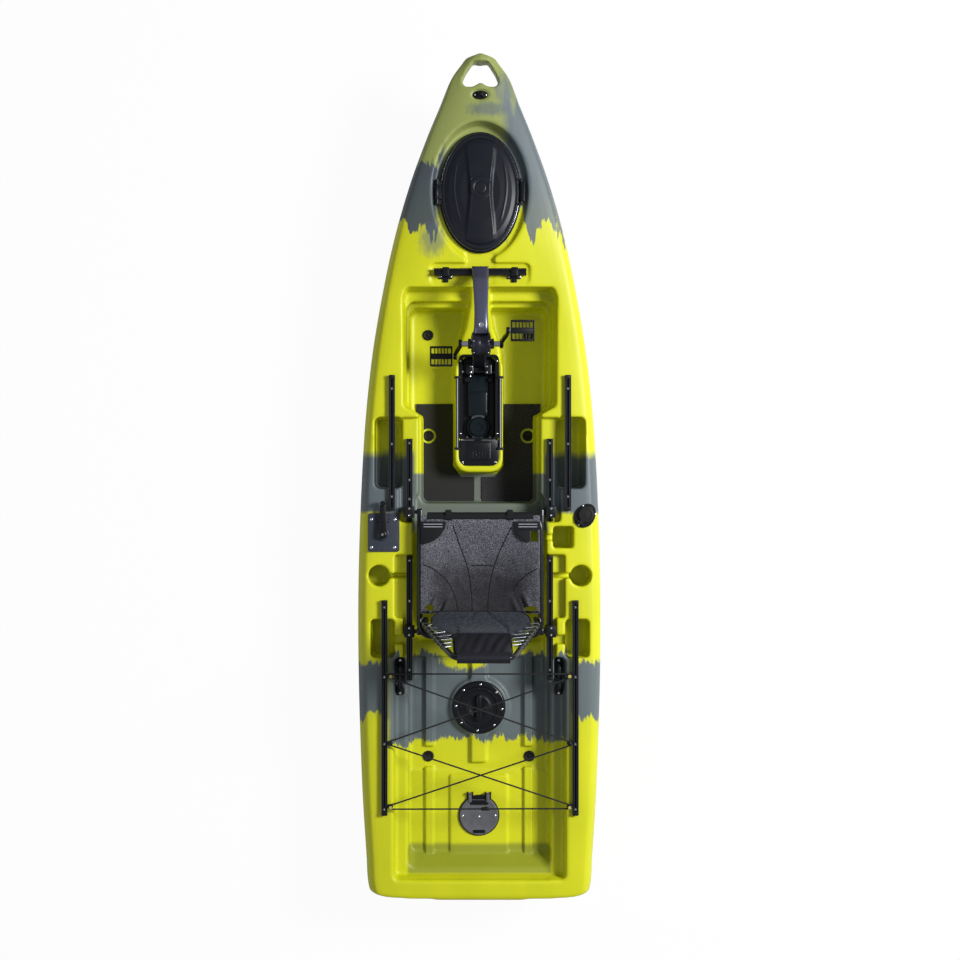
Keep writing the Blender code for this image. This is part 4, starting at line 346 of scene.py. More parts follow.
def relax(verts, quads, rounds, strength):
    """Moves each point towards the mean of its neighbours, then a little less back, to keep the size."""
    ends = np.concatenate([quads[:, [i, (i + 1) % 4]] for i in range(4)])
    count = np.bincount(ends.ravel(), minlength=len(verts))[:, None]
    for step in range(rounds * 2):
        total = np.stack([np.bincount(ends[:, 0], verts[ends[:, 1], k], len(verts))
                          + np.bincount(ends[:, 1], verts[ends[:, 0], k], len(verts)) for k in range(3)], 1)
        push = strength if step % 2 == 0 else -strength * 1.02
        verts = verts + (total / count - verts) * push
    return verts


# Outlines of the deck's recesses, in metres, matching where the solids of the fittings sit
FOOT_UPPER = [(0.214, -0.088), (0.214, 0.236), (0.277, 0.266), (0.28, 0.66), (0.268, 0.697)]
FOOT_LOWER = [(0.212, -0.086), (0.212, 0.233), (0.257, 0.26), (0.257, 0.61), (0.24, 0.637)]
CONSOLE = [(0.701, 0.034, 0.33), (0.637, 0.036, 0.29), (0.56, 0.05, 0.245), (0.488, 0.077, 0.209),
           (0.468, 0.081, 0.205), (0.05, 0.081, 0.205), (0.035, 0.069, 0.203), (0.028, 0.046, 0.199)]
SIDE_RECESSES = [
    # x from and to, y from and to, corner radius, draft, floor
    (0.193, 0.292, -0.153, 0.226, 0.015, 0.0, 0.3),
    (0.21, 0.3085, -0.5, -0.27, 0.01, 0.0, 0.3),
    (0.21, 0.277, -0.662, -0.48, 0.008, 0.0, 0.3),
    (0.28, 0.383, -0.032, 0.229, 0.022, 0.008, 0.19),
    (0.309, 0.397, -0.644, -0.504, 0.015, 0.006, 0.22),
    (0.255, 0.329, -0.594, -0.561, 0.004, 0.0, 0.3),
    (0.2385, 0.366, -0.3555, -0.3385, 0.002, 0.0, 0.272),
]
SCUPPERS = [(0.1885, 0.545), (0.1865, 0.166), (0.187, -1.023)]


def carve_bow(hull):
    hull.carve(rounded(rect(-0.18, 0.18, 0.705, 0.782), 0.02), 0.34, edge=0.004, fillet=0.006)
    hull.carve(rounded(rect(-0.052, 0.052, 0.707, 0.8175), 0.01), 0.34, edge=0.005, fillet=0.008)
    hull.carve(ellipse(0.175, 0.2475, HATCH_CENTRE), 0.345, rim=0.38, draft=0.008, edge=0.01, fillet=0.008)
    hull.carve(ellipse(0.031, 0.02, (0.0, 1.374)), 0.398, edge=0.003, fillet=0.003)
    hull.pierce(ellipse(0.118, 0.186, HATCH_CENTRE), low=0.21)
    corners = [(-0.055, 1.404), (-0.026, 1.405), (0.0, 1.419), (0.026, 1.405), (0.055, 1.404),
               (0.066, 1.424), (0.052, 1.456), (0.026, 1.494), (-0.026, 1.494), (-0.052, 1.456),
               (-0.066, 1.424)]
    hull.pierce(rounded(corners, 0.016), edge=0.005)


def carve_footwell(hull):
    """The stepped well, its middle console and the drive's slot through the bottom."""
    upper = rounded(FOOT_UPPER + mirrored(FOOT_UPPER), 0.022)
    lower = rounded(FOOT_LOWER + mirrored(FOOT_LOWER), 0.022)
    hull.carve(upper, 0.262, draft=0.008, edge=0.006, fillet=0.006)
    step = [(x + 0.01, y + 0.018) for x, y in FOOT_LOWER]
    middle = rounded(step + mirrored(step), 0.024)
    hull.carve(middle, 0.215, rim=0.262, edge=0.004, fillet=0.005)
    hull.carve(lower, FOOT_Z, rim=0.215, draft=0.004, edge=0.005, fillet=0.014)
    ys = np.array([s[0] for s in CONSOLE[::-1]])
    halves = np.array([s[1] for s in CONSOLE[::-1]])
    tops = np.array([s[2] for s in CONSOLE[::-1]])
    x, y, z, part = hull.window(-0.11, 0.11, 0.028, 0.705)
    half = np.interp(y, ys, halves)
    top = np.interp(y, ys, tops)
    sides = np.abs(x) - half - 0.01 * np.clip((top - z) / (top - FOOT_Z), 0, 1)
    body = smooth_max(smooth_max(sides, z - top, 0.012), np.maximum(0.028 - y, y - 0.712), 0.006)
    part[...] = smooth_min(part, np.maximum(body, 0.05 - z), 0.012)
    coaming = rounded(rect(-0.0885, 0.0885, 0.03, 0.462), 0.05)
    hull.raise_up(coaming, CONSOLE_TOP_Z + 0.007, 0.05, edge=0.005, fillet=0.008)
    hull.carve(rounded(rect(-0.0755, 0.0755, 0.05, 0.47), 0.036), CONSOLE_TOP_Z, edge=0.003, fillet=0.002)
    hull.pierce(rounded(rect(-0.065, 0.065, 0.06, 0.458), 0.03), edge=0.003)


def carve_seat(hull):
    hull.carve(rounded(rect(-0.238, 0.238, -0.692, -0.048), 0.03), SILL_Z, edge=0.008, fillet=0.01)
    hull.carve(rounded(rect(-0.238, 0.238, -0.6, -0.153), 0.03), SEAT_FLOOR_Z, rim=SILL_Z, draft=0.012,
               edge=0.007, fillet=0.01)
    groove = rounded(rect(0.2375, 0.2475, -0.5, -0.29), 0.004)
    hull.carve(groove, 0.27, rim=LEDGE_Z, edge=0.004, fillet=0.004)


def carve_tank(hull):
    hull.carve(rounded(rect(-0.312, 0.312, -1.449, -0.642), 0.02), TANK_LEDGE_Z, draft=0.006, edge=0.01,
               fillet=0.01)
    x, y, z, part = hull.window(-0.27, 0.27, -1.45, -0.64)
    share = np.clip((LEDGE_Z - z) / (LEDGE_Z - TANK_Z), 0, 1)
    sides = np.abs(x) - (0.2625 - 0.006 * share)
    front = y + 0.646 + 0.008 * share
    back = -1.445 + 0.074 * share - y
    walls = smooth_max(smooth_max(sides, front, 0.028), back * 0.8, 0.028)
    part[...] = smooth_max(part, -smooth_max(walls, TANK_Z - z, 0.012), 0.01)
    for side in (-1, 1):
        for y0, y1 in ((-0.985, -0.64), (-1.4, -1.061)):
            strip = rounded(rect(0.166, 0.199, y0, y1), 0.004)
            hull.raise_up(strip if side > 0 else mirrored(strip), 0.216, 0.15, edge=0.003, fillet=0.003)
        post = rounded(rect(0.24, 0.272, -0.738, -0.632), 0.014)
        hull.raise_up(post if side > 0 else mirrored(post), LEDGE_Z, 0.15, edge=0.008, fillet=0.01)
    hull.raise_up(rect(-0.254, 0.254, -1.4, -1.072), 0.2045, 0.15, edge=0.002, fillet=0.002)
    hull.raise_up(rounded(rect(-0.029, 0.029, -1.045, -0.632), 0.006), 0.217, 0.15, edge=0.004, fillet=0.004)
    hull.raise_up(rounded(rect(-0.108, 0.108, -1.39, -1.09), 0.008), 0.214, 0.15, edge=0.003, fillet=0.004)
    hull.raise_up(ellipse(0.108, 0.108, (0.0, DECK_HATCH_Y)), 0.214, 0.15, edge=0.005, fillet=0.012)
    hull.pierce(ellipse(0.072, 0.072, (0.0, DECK_HATCH_Y)), low=0.11)
    hull.pierce(ellipse(0.05, 0.05, (0.0, REAR_HATCH_Y)), low=0.135)


def carve_sides(hull):
    for x0, x1, y0, y1, radius, draft, floor in SIDE_RECESSES:
        corners = rounded(rect(x0, x1, y0, y1), radius)
        deep = floor < LEDGE_Z
        for outline in (corners, mirrored(corners)):
            hull.carve(outline, floor, draft=draft, edge=0.004, fillet=0.01 if deep else 0.004)
    hull.carve(rounded(rect(0.265, 0.339, -0.247, -0.168), 0.01), 0.21, edge=0.003, fillet=0.006)
    hull.carve(rounded(rect(0.225, 0.275, -0.219, -0.197), 0.004), 0.3, edge=0.004, fillet=0.005)
    for side in (-1, 1):
        hull.carve(ellipse(0.039, 0.039, (side * 0.366, -0.347)), 0.215, edge=0.003, fillet=0.006)
    hull.pierce(ellipse(0.0246, 0.0246, (0.383, -0.125)), low=0.08, edge=0.003)
    hull.pierce(ellipse(0.0126, 0.0126, (-0.351, -0.196)), edge=0.002)


def carve_below(hull):
    """The propeller's and the rudder's pockets and the drains."""
    front = ellipse(0.14, 0.14, (0.0, 0.186), 96)
    hull.hollow_below([(x, y + (0.05 if y > 0.186 else 0.0)) for x, y in front], 0.095)
    hull.hollow_below(ellipse(0.165, 0.165, (0.0, REAR_HATCH_Y), 96), 0.1)
    for x, y in SCUPPERS:
        for side in (-1, 1):
            hull.pierce(ellipse(0.0145, 0.0145, (side * x, y), 36), edge=0.003)


def hull_skin():
    hull = Moulding()
    hull.fill_hull()
    carve_bow(hull)
    carve_footwell(hull)
    carve_seat(hull)
    carve_tank(hull)
    carve_sides(hull)
    carve_below(hull)
    verts, quads = surface_net(hull.field, GRID_LOW, CELL)
    verts = relax(verts, quads, 1, 0.45)
    mesh = bpy.data.meshes.new("hull_skin")
    mesh.vertices.add(len(verts))
    mesh.vertices.foreach_set("co", verts.astype(np.float32).ravel())
    mesh.loops.add(len(quads) * 4)
    mesh.loops.foreach_set("vertex_index", quads.astype(np.int32).ravel())
    mesh.polygons.add(len(quads))
    mesh.polygons.foreach_set("loop_start", np.arange(0, len(quads) * 4, 4, dtype=np.int32))
    mesh.update(calc_edges=True)
    mesh.shade_smooth()
    skin = bpy.data.objects.new("hull_skin", mesh)
    bpy.context.scene.collection.objects.link(skin)
    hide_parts("hull")
    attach(skin, "hull")
    return skin


# Camera and lamps
CAMERA_PLACE = (-0.16, 0.0, 5.53)
CAMERA_LENS = 53.9
CAMERA_SHIFT = 0.0462
# Each lamp's name, place, size in metres and power in watts
LAMPS = (("key", (4.2, 1.1, 4.5), 1.9, 470.0), ("fill", (-3.8, -1.5, 4.8), 3.5, 30.0))


def camera_and_lights():
    """The photograph's view from straight above, and soft studio light from the upper right."""
    eye = bpy.data.cameras.new("photo_camera")
    eye.sensor_width = 36.0
    eye.lens = CAMERA_LENS
    eye.shift_x = CAMERA_SHIFT
    eye.clip_end = 100.0
    camera = bpy.data.objects.new("photo_camera", eye)
    camera.location = CAMERA_PLACE
    bpy.context.scene.collection.objects.link(camera)
    bpy.context.scene.camera = camera
    bpy.context.scene.view_settings.view_transform = "Standard"

    for name, place, size, watts in LAMPS:
        light = bpy.data.lights.new(name, "AREA")
        light.shape = "DISK"
        light.size = size
        light.energy = watts
        lamp = bpy.data.objects.new(name, light)
        lamp.location = place
        lamp.rotation_euler = (-Vector(place)).to_track_quat("-Z", "Y").to_euler()
        bpy.context.scene.collection.objects.link(lamp)


def white_world():
    """Soft white light all round; the camera, and rays through clear parts, see plain white."""
    world = bpy.data.worlds.new("studio")
    bpy.context.scene.world = world
    world.use_nodes = True
    nodes, links = world.node_tree.nodes, world.node_tree.links
    nodes.clear()
    path = nodes.new("ShaderNodeLightPath")
    seen = nodes.new("ShaderNodeMath")
    seen.operation = "MAXIMUM"
    links.new(path.outputs["Is Camera Ray"], seen.inputs[0])
    links.new(path.outputs["Is Transmission Ray"], seen.inputs[1])
    ambient = nodes.new("ShaderNodeBackground")
    ambient.inputs["Color"].default_value = (0.93, 0.96, 1.0, 1.0)
    ambient.inputs["Strength"].default_value = 0.27
    plain = nodes.new("ShaderNodeBackground")
    plain.inputs["Color"].default_value = (1.0, 1.0, 1.0, 1.0)
    mix = nodes.new("ShaderNodeMixShader")
    links.new(seen.outputs[0], mix.inputs[0])
    links.new(ambient.outputs[0], mix.inputs[1])
    links.new(plain.outputs[0], mix.inputs[2])
    out = nodes.new("ShaderNodeOutputWorld")
    links.new(mix.outputs[0], out.inputs["Surface"])


def pale_floor():
    """A pale floor that takes the soft shadow and fades into the white all round."""
    floor = new_object("floor", [(-6, -6, 0), (6, -6, 0), (6, 6, 0), (-6, 6, 0)], [(0, 1, 2, 3)])
    floor.location.z = -0.002
    material = bpy.data.materials.new("pale_floor")
    material.use_nodes = True
    nodes, links = material.node_tree.nodes, material.node_tree.links
    nodes.clear()
    path = nodes.new("ShaderNodeLightPath")
    soft = nodes.new("ShaderNodeBsdfDiffuse")
    soft.inputs["Color"].default_value = (0.8, 0.8, 0.8, 1.0)
    glow = nodes.new("ShaderNodeEmission")
    glow.inputs["Color"].default_value = (1.0, 1.0, 1.0, 1.0)
    mix = nodes.new("ShaderNodeMixShader")
    share = nodes.new("ShaderNodeMath")
    share.operation = "MULTIPLY"
    share.inputs[1].default_value = 0.955
    links.new(path.outputs["Is Camera Ray"], share.inputs[0])
    links.new(share.outputs[0], mix.inputs[0])
    links.new(soft.outputs[0], mix.inputs[1])
    links.new(glow.outputs[0], mix.inputs[2])
    out = nodes.new("ShaderNodeOutputMaterial")
    links.new(mix.outputs[0], out.inputs["Surface"])
    floor.data.materials.append(material)


def srgb(r, g, b):
    """Linear colour from the 0-255 values of a picture."""
    return tuple(((c / 255) / 12.92 if c <= 10 else ((c / 255 + 0.055) / 1.055) ** 2.4)
                 for c in (r, g, b)) + (1.0,)


class Finish:
    """A Principled material built from a few node helpers."""

    def __init__(self, name):
        self.material = bpy.data.materials.new(name)
        self.material.use_nodes = True
        self.nodes = self.material.node_tree.nodes
        self.links = self.material.node_tree.links
        self.shader = self.nodes["Principled BSDF"]
        self.place = self.nodes.new("ShaderNodeTexCoord").outputs["Object"]

    def set(self, **values):
        for key, value in values.items():
            self.shader.inputs[key.replace("_", " ")].default_value = value
        return self

    def noise(self, scale, detail=2.0, roughness=0.5, stretch=None):
        texture = self.nodes.new("ShaderNodeTexNoise")
        texture.inputs["Scale"].default_value = scale
        texture.inputs["Detail"].default_value = detail
        texture.inputs["Roughness"].default_value = roughness
        if stretch:
            mapping = self.nodes.new("ShaderNodeMapping")
            mapping.inputs["Scale"].default_value = stretch
            self.links.new(self.place, mapping.inputs["Vector"])
            self.links.new(mapping.outputs[0], texture.inputs["Vector"])
        else:
            self.links.new(self.place, texture.inputs["Vector"])
        return texture.outputs["Fac"]

    def ramp(self, source, stops):
        node = self.nodes.new("ShaderNodeValToRGB")
        elements = node.color_ramp.elements
        for i, (position, colour) in enumerate(stops):
            element = elements[i] if i < 2 else elements.new(position)
            element.position = position
            element.color = colour
        self.links.new(source, node.inputs["Fac"])
        return node.outputs["Color"]

    def math(self, operation, a, b=0.0, c=0.0, clamp=False):
        node = self.nodes.new("ShaderNodeMath")
        node.operation = operation
        node.use_clamp = clamp
        for socket, value in zip(node.inputs, (a, b, c)):
            if isinstance(value, (int, float)):
                socket.default_value = value
            else:
                self.links.new(value, socket)
        return node.outputs[0]

    def mix(self, share, a, b):
        node = self.nodes.new("ShaderNodeMix")
        node.data_type = "RGBA"
        for index, value in ((0, share), (6, a), (7, b)):
            if isinstance(value, (int, float, tuple)):
                node.inputs[index].default_value = value
            else:
                self.links.new(value, node.inputs[index])
        return node.outputs[2]

    def axes(self):
        node = self.nodes.new("ShaderNodeSeparateXYZ")
        self.links.new(self.place, node.inputs[0])
        return node.outputs["X"], node.outputs["Y"]

    def colour(self, source):
        self.links.new(source, self.shader.inputs["Base Color"])
        return self

    def bump(self, height, strength, distance):
        node = self.nodes.new("ShaderNodeBump")
        node.inputs["Strength"].default_value = strength
        node.inputs["Distance"].default_value = distance
        self.links.new(height, node.inputs["Height"])
        self.links.new(node.outputs[0], self.shader.inputs["Normal"])
        return self


CITRON = srgb(214, 214, 24)
LIME = srgb(190, 194, 20)
OLIVE = srgb(134, 143, 84)
SLATE = srgb(84, 95, 106)
DARK_SLATE = srgb(62, 71, 82)


def hull_finish():
    """Roto-moulded colour: citron with ragged slate patches at the bow, amidships and behind the seat."""
    paint = Finish("citron_slate_plastic")
    x, y = paint.axes()
    slow = paint.noise(3.4, 3.0, 0.55, (1.6, 0.8, 1.0))
    ragged = paint.noise(6.0, 4.0, 0.6, (3.0, 0.5, 1.0))
    fine = paint.noise(60.0, 3.0, 0.65, (1.4, 0.5, 1.0))
    out = paint.math("ABSOLUTE", x)

    def jagged(reach, grain=0.01):
        """The place along the hull, shifted by streaks that run fore and aft."""
        shift = paint.math("MULTIPLY_ADD", ragged, 2 * reach, -reach)
        shift = paint.math("ADD", shift, paint.math("MULTIPLY_ADD", fine, 2 * grain, -grain))
        return paint.math("ADD", y, shift)

    def above(value, edge, soft):
        return paint.math("MULTIPLY_ADD", value, 1 / soft, -edge / soft + 0.5, clamp=True)

    def below(value, edge, soft):
        return paint.math("MULTIPLY_ADD", value, -1 / soft, edge / soft + 0.5, clamp=True)

    def both(*shares):
        share = shares[0]
        for more in shares[1:]:
            share = paint.math("MULTIPLY", share, more)
        return share

    def spot(cx, cy, half_x, half_y, soft):
        dx = paint.math("MULTIPLY_ADD", x, 1 / half_x, -cx / half_x)
        dy = paint.math("MULTIPLY_ADD", y, 1 / half_y, -cy / half_y)
        away = paint.math("SQRT", paint.math("ADD", both(dx, dx), both(dy, dy)))
        away = paint.math("ADD", away, paint.math("MULTIPLY_ADD", fine, 1.2, -0.6))
        return below(away, 1.0, soft)

    sideways = paint.math("ADD", x, paint.math("MULTIPLY_ADD", slow, 0.1, -0.05))
    colour = paint.mix(paint.math("MULTIPLY_ADD", slow, 1.4, -0.35, clamp=True), LIME, CITRON)
    bow = jagged(0.26)
    olive = above(jagged(0.26), 1.03, 0.18)
    colour = paint.mix(paint.math("MULTIPLY", olive, 0.95), colour, OLIVE)
    left = both(below(sideways, -0.14, 0.03), above(bow, 0.9, 0.014), below(bow, 1.205, 0.02))
    right = both(above(sideways, 0.088, 0.03), above(bow, 0.905, 0.014), below(bow, 1.39, 0.08))
    colour = paint.mix(paint.math("MULTIPLY", left, 0.96), colour, DARK_SLATE)
    colour = paint.mix(paint.math("MULTIPLY", right, 0.92), colour, SLATE)
    for cx, cy, half_x, half_y, share in ((-0.172, 0.868, 0.045, 0.055, 0.6),
                                          (0.03, 1.325, 0.07, 0.022, 0.65),
                                          (0.085, 1.395, 0.035, 0.055, 0.6)):
        colour = paint.mix(paint.math("MULTIPLY", spot(cx, cy, half_x, half_y, 0.7), share), colour, SLATE)

    tray = jagged(0.028, 0.008)
    sides = both(above(out, 0.238, 0.012), above(tray, -0.122, 0.014), below(tray, 0.094, 0.03))
    sill = both(below(out, 0.245, 0.012), above(y, -0.19, 0.02), below(y, 0.024, 0.01))
    colour = paint.mix(paint.math("MULTIPLY", sides, 0.97), colour, SLATE)
    colour = paint.mix(paint.math("MULTIPLY", sill, 0.9), colour, SLATE)

    aft = jagged(0.08, 0.026)
    inner = both(below(out, 0.33, 0.02), above(aft, -0.96, 0.01), below(aft, -0.64, 0.01))
    outer = both(above(out, 0.33, 0.02), above(aft, -0.85, 0.012), below(aft, -0.655, 0.012))
    bare = spot(-0.055, -0.655, 0.085, 0.045, 0.3)
    inner = both(inner, paint.math("SUBTRACT", 1.0, bare))
    colour = paint.mix(paint.math("MULTIPLY", inner, 0.96), colour, SLATE)
    colour = paint.mix(paint.math("MULTIPLY", outer, 0.96), colour, SLATE)
    # Darker olive over the tank well's aft ramp: painted shade on the forward-facing ramp.
    ramp = both(below(out, 0.262, 0.01), above(y, -1.44, 0.012), below(y, -1.345, 0.016))
    colour = paint.mix(paint.math("MULTIPLY", ramp, 0.8), colour, srgb(124, 132, 42))
    paint.colour(colour)
    paint.set(Roughness=0.45, Specular_IOR_Level=0.35)
    grain = paint.noise(420.0, 2.0, 0.5)
    paint.bump(grain, 0.18, 0.0006)
    return paint.material


def plain_finish(name, colour, roughness, metallic=0.0, grain=0.0, scale=300.0, tint=0.0, coat=0.0,
                 shine=0.25):
    finish = Finish(name)
    finish.set(Base_Color=colour, Roughness=roughness, Metallic=metallic, Specular_IOR_Level=shine)
    if coat:
        finish.set(Coat_Weight=coat, Coat_Roughness=0.12)
    if tint:
        patchy = finish.noise(scale * 0.12, 3.0)
        darker = tuple(c * (1 - tint) for c in colour[:3]) + (1.0,)
        lighter = tuple(min(c * (1 + tint), 1.0) for c in colour[:3]) + (1.0,)
        finish.colour(finish.ramp(patchy, ((0.3, darker), (0.7, lighter))))
    if grain:
        finish.bump(finish.noise(scale, 3.0), grain, 0.0006)
    return finish.material


# The plain finishes: name of the material, colour, roughness, and what else is not at its default
PLAIN_FINISHES = {
    "black_plastic": ("black_plastic", (20, 21, 24), 0.42, dict(grain=0.25, scale=700.0)),
    "satin_black": ("satin_black", (17, 19, 23), 0.32, dict(grain=0.06, scale=900.0, coat=0.06)),
    "black_metal": ("black_anodised", (24, 26, 30), 0.32, dict(metallic=0.4)),
    "frame_metal": ("frame_tube", (26, 28, 31), 0.22, dict(metallic=0.4, shine=0.5)),
    "arm_metal": ("lavender_grey_metal", (98, 100, 122), 0.26, dict(metallic=0.65)),
    "housing": ("dark_lavender_metal", (44, 45, 58), 0.28, dict(metallic=0.45, shine=0.5)),
    "steel": ("stainless_steel", (205, 207, 210), 0.22, dict(metallic=1.0)),
    # Light grey metal for thin lines: painted highlights on the hatch lid's edge and the track lips, and the
    # backrest's lacing cord.
    "highlight_and_cord_grey": ("painted_highlight_and_cord_grey", (120, 124, 130), 0.3, dict(metallic=0.9)),
    "bolt": ("bright_bolt", (214, 216, 220), 0.25, dict(metallic=1.0)),
    "rubber": ("black_rubber", (20, 20, 21), 0.62, dict(grain=0.2, scale=500.0)),
    "teal_black": ("teal_black_gloss", (14, 24, 28), 0.22, dict(coat=0.12)),
    "plate": ("slate_plate", (54, 58, 68), 0.38, dict(grain=0.15, scale=600.0, tint=0.1)),
    "disc": ("grey_disc", (92, 92, 98), 0.5, dict(grain=0.2, scale=500.0, tint=0.12)),
    "lid": ("hatch_lid_plastic", (19, 22, 30), 0.4, dict(grain=0.1, scale=800.0)),
    "cloth_edge": ("webbing", (18, 19, 23), 0.8, dict(grain=0.6, scale=900.0)),
    "flap": ("pocket_cloth", (25, 25, 34), 0.55, dict(grain=0.3, scale=900.0, tint=0.15)),
    # Light grey for the backrest's piping, the console rails' lines and the gussets' lines; the gussets'
    # lines are painted highlights.
    "piping": ("piping_and_highlight_grey", (166, 170, 178), 0.38, {}),
    "ring": ("ochre_ring", (172, 160, 84), 0.45, {}),
}
FINISHES = {}


def make_finishes():
    """Every material of the fittings, by name."""
    for key, (name, colour, roughness, more) in PLAIN_FINISHES.items():
        FINISHES[key] = plain_finish(name, srgb(*colour), roughness, **more)
    FINISHES["cord"] = cord_finish()
    FINISHES["pad"] = pad_finish("smooth_foam", srgb(21, 20, 20), False)
    FINISHES["pad_diamond"] = pad_finish("diamond_foam", srgb(42, 41, 46), True)
    FINISHES["mesh"] = mesh_finish()
    FINISHES["quilt"] = quilt_finish()


def cord_finish():
    finish = Finish("elastic_cord")
    finish.set(Base_Color=srgb(20, 20, 22), Roughness=0.8)
    weave = finish.noise(1400.0, 1.0)
    finish.bump(weave, 0.5, 0.0004)
    return finish.material


def pad_finish(name, colour, diamonds):
    """Closed-cell foam; the diamond one has fine crossing grooves."""
    finish = Finish(name)
    finish.set(Roughness=0.82)
    speckle = finish.noise(900.0, 2.0, 0.7)
    light = tuple(min(c * 1.9 + 0.004, 1.0) for c in colour[:3]) + (1.0,)
    if not diamonds:
        finish.colour(finish.ramp(speckle, ((0.35, colour), (0.9, light))))
        finish.bump(speckle, 0.35, 0.0006)
        return finish.material
    x, y = finish.axes()
    waves = []
    for sign in (-1, 1):
        across = finish.math("ADD", x, finish.math("MULTIPLY", y, sign * 0.62))
        ripple = finish.math("SINE", finish.math("MULTIPLY", across, 620.0))
        waves.append(finish.math("GREATER_THAN", ripple, 0.72))
    groove = finish.math("MAXIMUM", waves[0], waves[1])
    # The grooves are painted near black besides being pressed in: painted shade in the grooves.
    finish.colour(finish.mix(groove, finish.ramp(speckle, ((0.35, colour), (0.95, light))),
                             srgb(14, 14, 15)))
    finish.bump(finish.math("MULTIPLY_ADD", groove, -1.0, finish.math("MULTIPLY", speckle, 0.3)), 0.7, 0.001)
    return finish.material


def mesh_finish():
    """Open woven mesh, speckled light over dark, with painted light that makes it lightest at the front and
    along both sides.
    """
    finish = Finish("seat_mesh")
    finish.set(Roughness=0.72, Specular_IOR_Level=0.2)
    x, y = finish.axes()
    speckle = finish.noise(330.0, 2.0, 0.75)
    mottle = finish.noise(22.0, 4.0, 0.6)
    # The front and side masks mix a lit copy of the mesh colours over a shaded one: painted light.
    front = finish.math("MULTIPLY_ADD", y, 6.5, 2.45, clamp=True)
    edge = finish.math("MULTIPLY_ADD", finish.math("ABSOLUTE", x), 9.0, -1.15, clamp=True)
    lit = finish.math("ADD", finish.math("MAXIMUM", front, edge),
                      finish.math("MULTIPLY_ADD", mottle, 0.9, -0.45), clamp=True)
    dull = finish.ramp(speckle, ((0.38, srgb(20, 20, 23)), (0.7, srgb(56, 55, 60))))
    bright = finish.ramp(speckle, ((0.4, srgb(28, 29, 34)), (0.66, srgb(128, 129, 138))))
    finish.colour(finish.mix(lit, dull, bright))
    finish.bump(speckle, 0.5, 0.0008)
    return finish.material


def quilt_finish():
    """Dark navy cover cloth with a faint mottle."""
    finish = Finish("padded_cloth")
    finish.set(Roughness=0.66, Specular_IOR_Level=0.25, Sheen_Weight=0.1)
    mottle = finish.noise(90.0, 4.0, 0.6)
    finish.colour(finish.ramp(mottle, ((0.3, srgb(20, 23, 31)), (0.75, srgb(50, 55, 67)))))
    finish.bump(finish.noise(1100.0, 2.0), 0.55, 0.0007)
    return finish.material


# Finishes of the solids that keep their own mesh
NODE_FINISH = {"bow_pad_eye": "satin_black", "crossbar": "satin_black", "front_hatch_latch": "satin_black",
               "well_liner": "satin_black", "drive_cradle": "black_plastic", "crank_spindle": "steel",
               "drive_shaft": "steel", "steering_cable": "rubber", "foot_pad_left": "pad",
               "foot_pad_right": "pad_diamond",}


def dress_solids():
    """Every solid that stays gets its finish: the table's, or black metal on the tracks and rails."""
    for node in bpy.data.objects:
        metal = node.name.startswith(("front_track_", "rear_track_", "seat_rail_"))
        finish = "black_metal" if metal else NODE_FINISH.get(node.name)
        if finish and node.type == "MESH" and node.data.materials:
            node.material_slots[0].material = FINISHES[finish]


def piece(made, body, finish, stands_for=None):
    """Gives a piece its finish and the body it rides on, and hides the solid it stands for."""
    made.data.materials.clear()
    made.data.materials.append(FINISHES[finish])
    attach(made, body)
    if stands_for:
        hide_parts(stands_for)


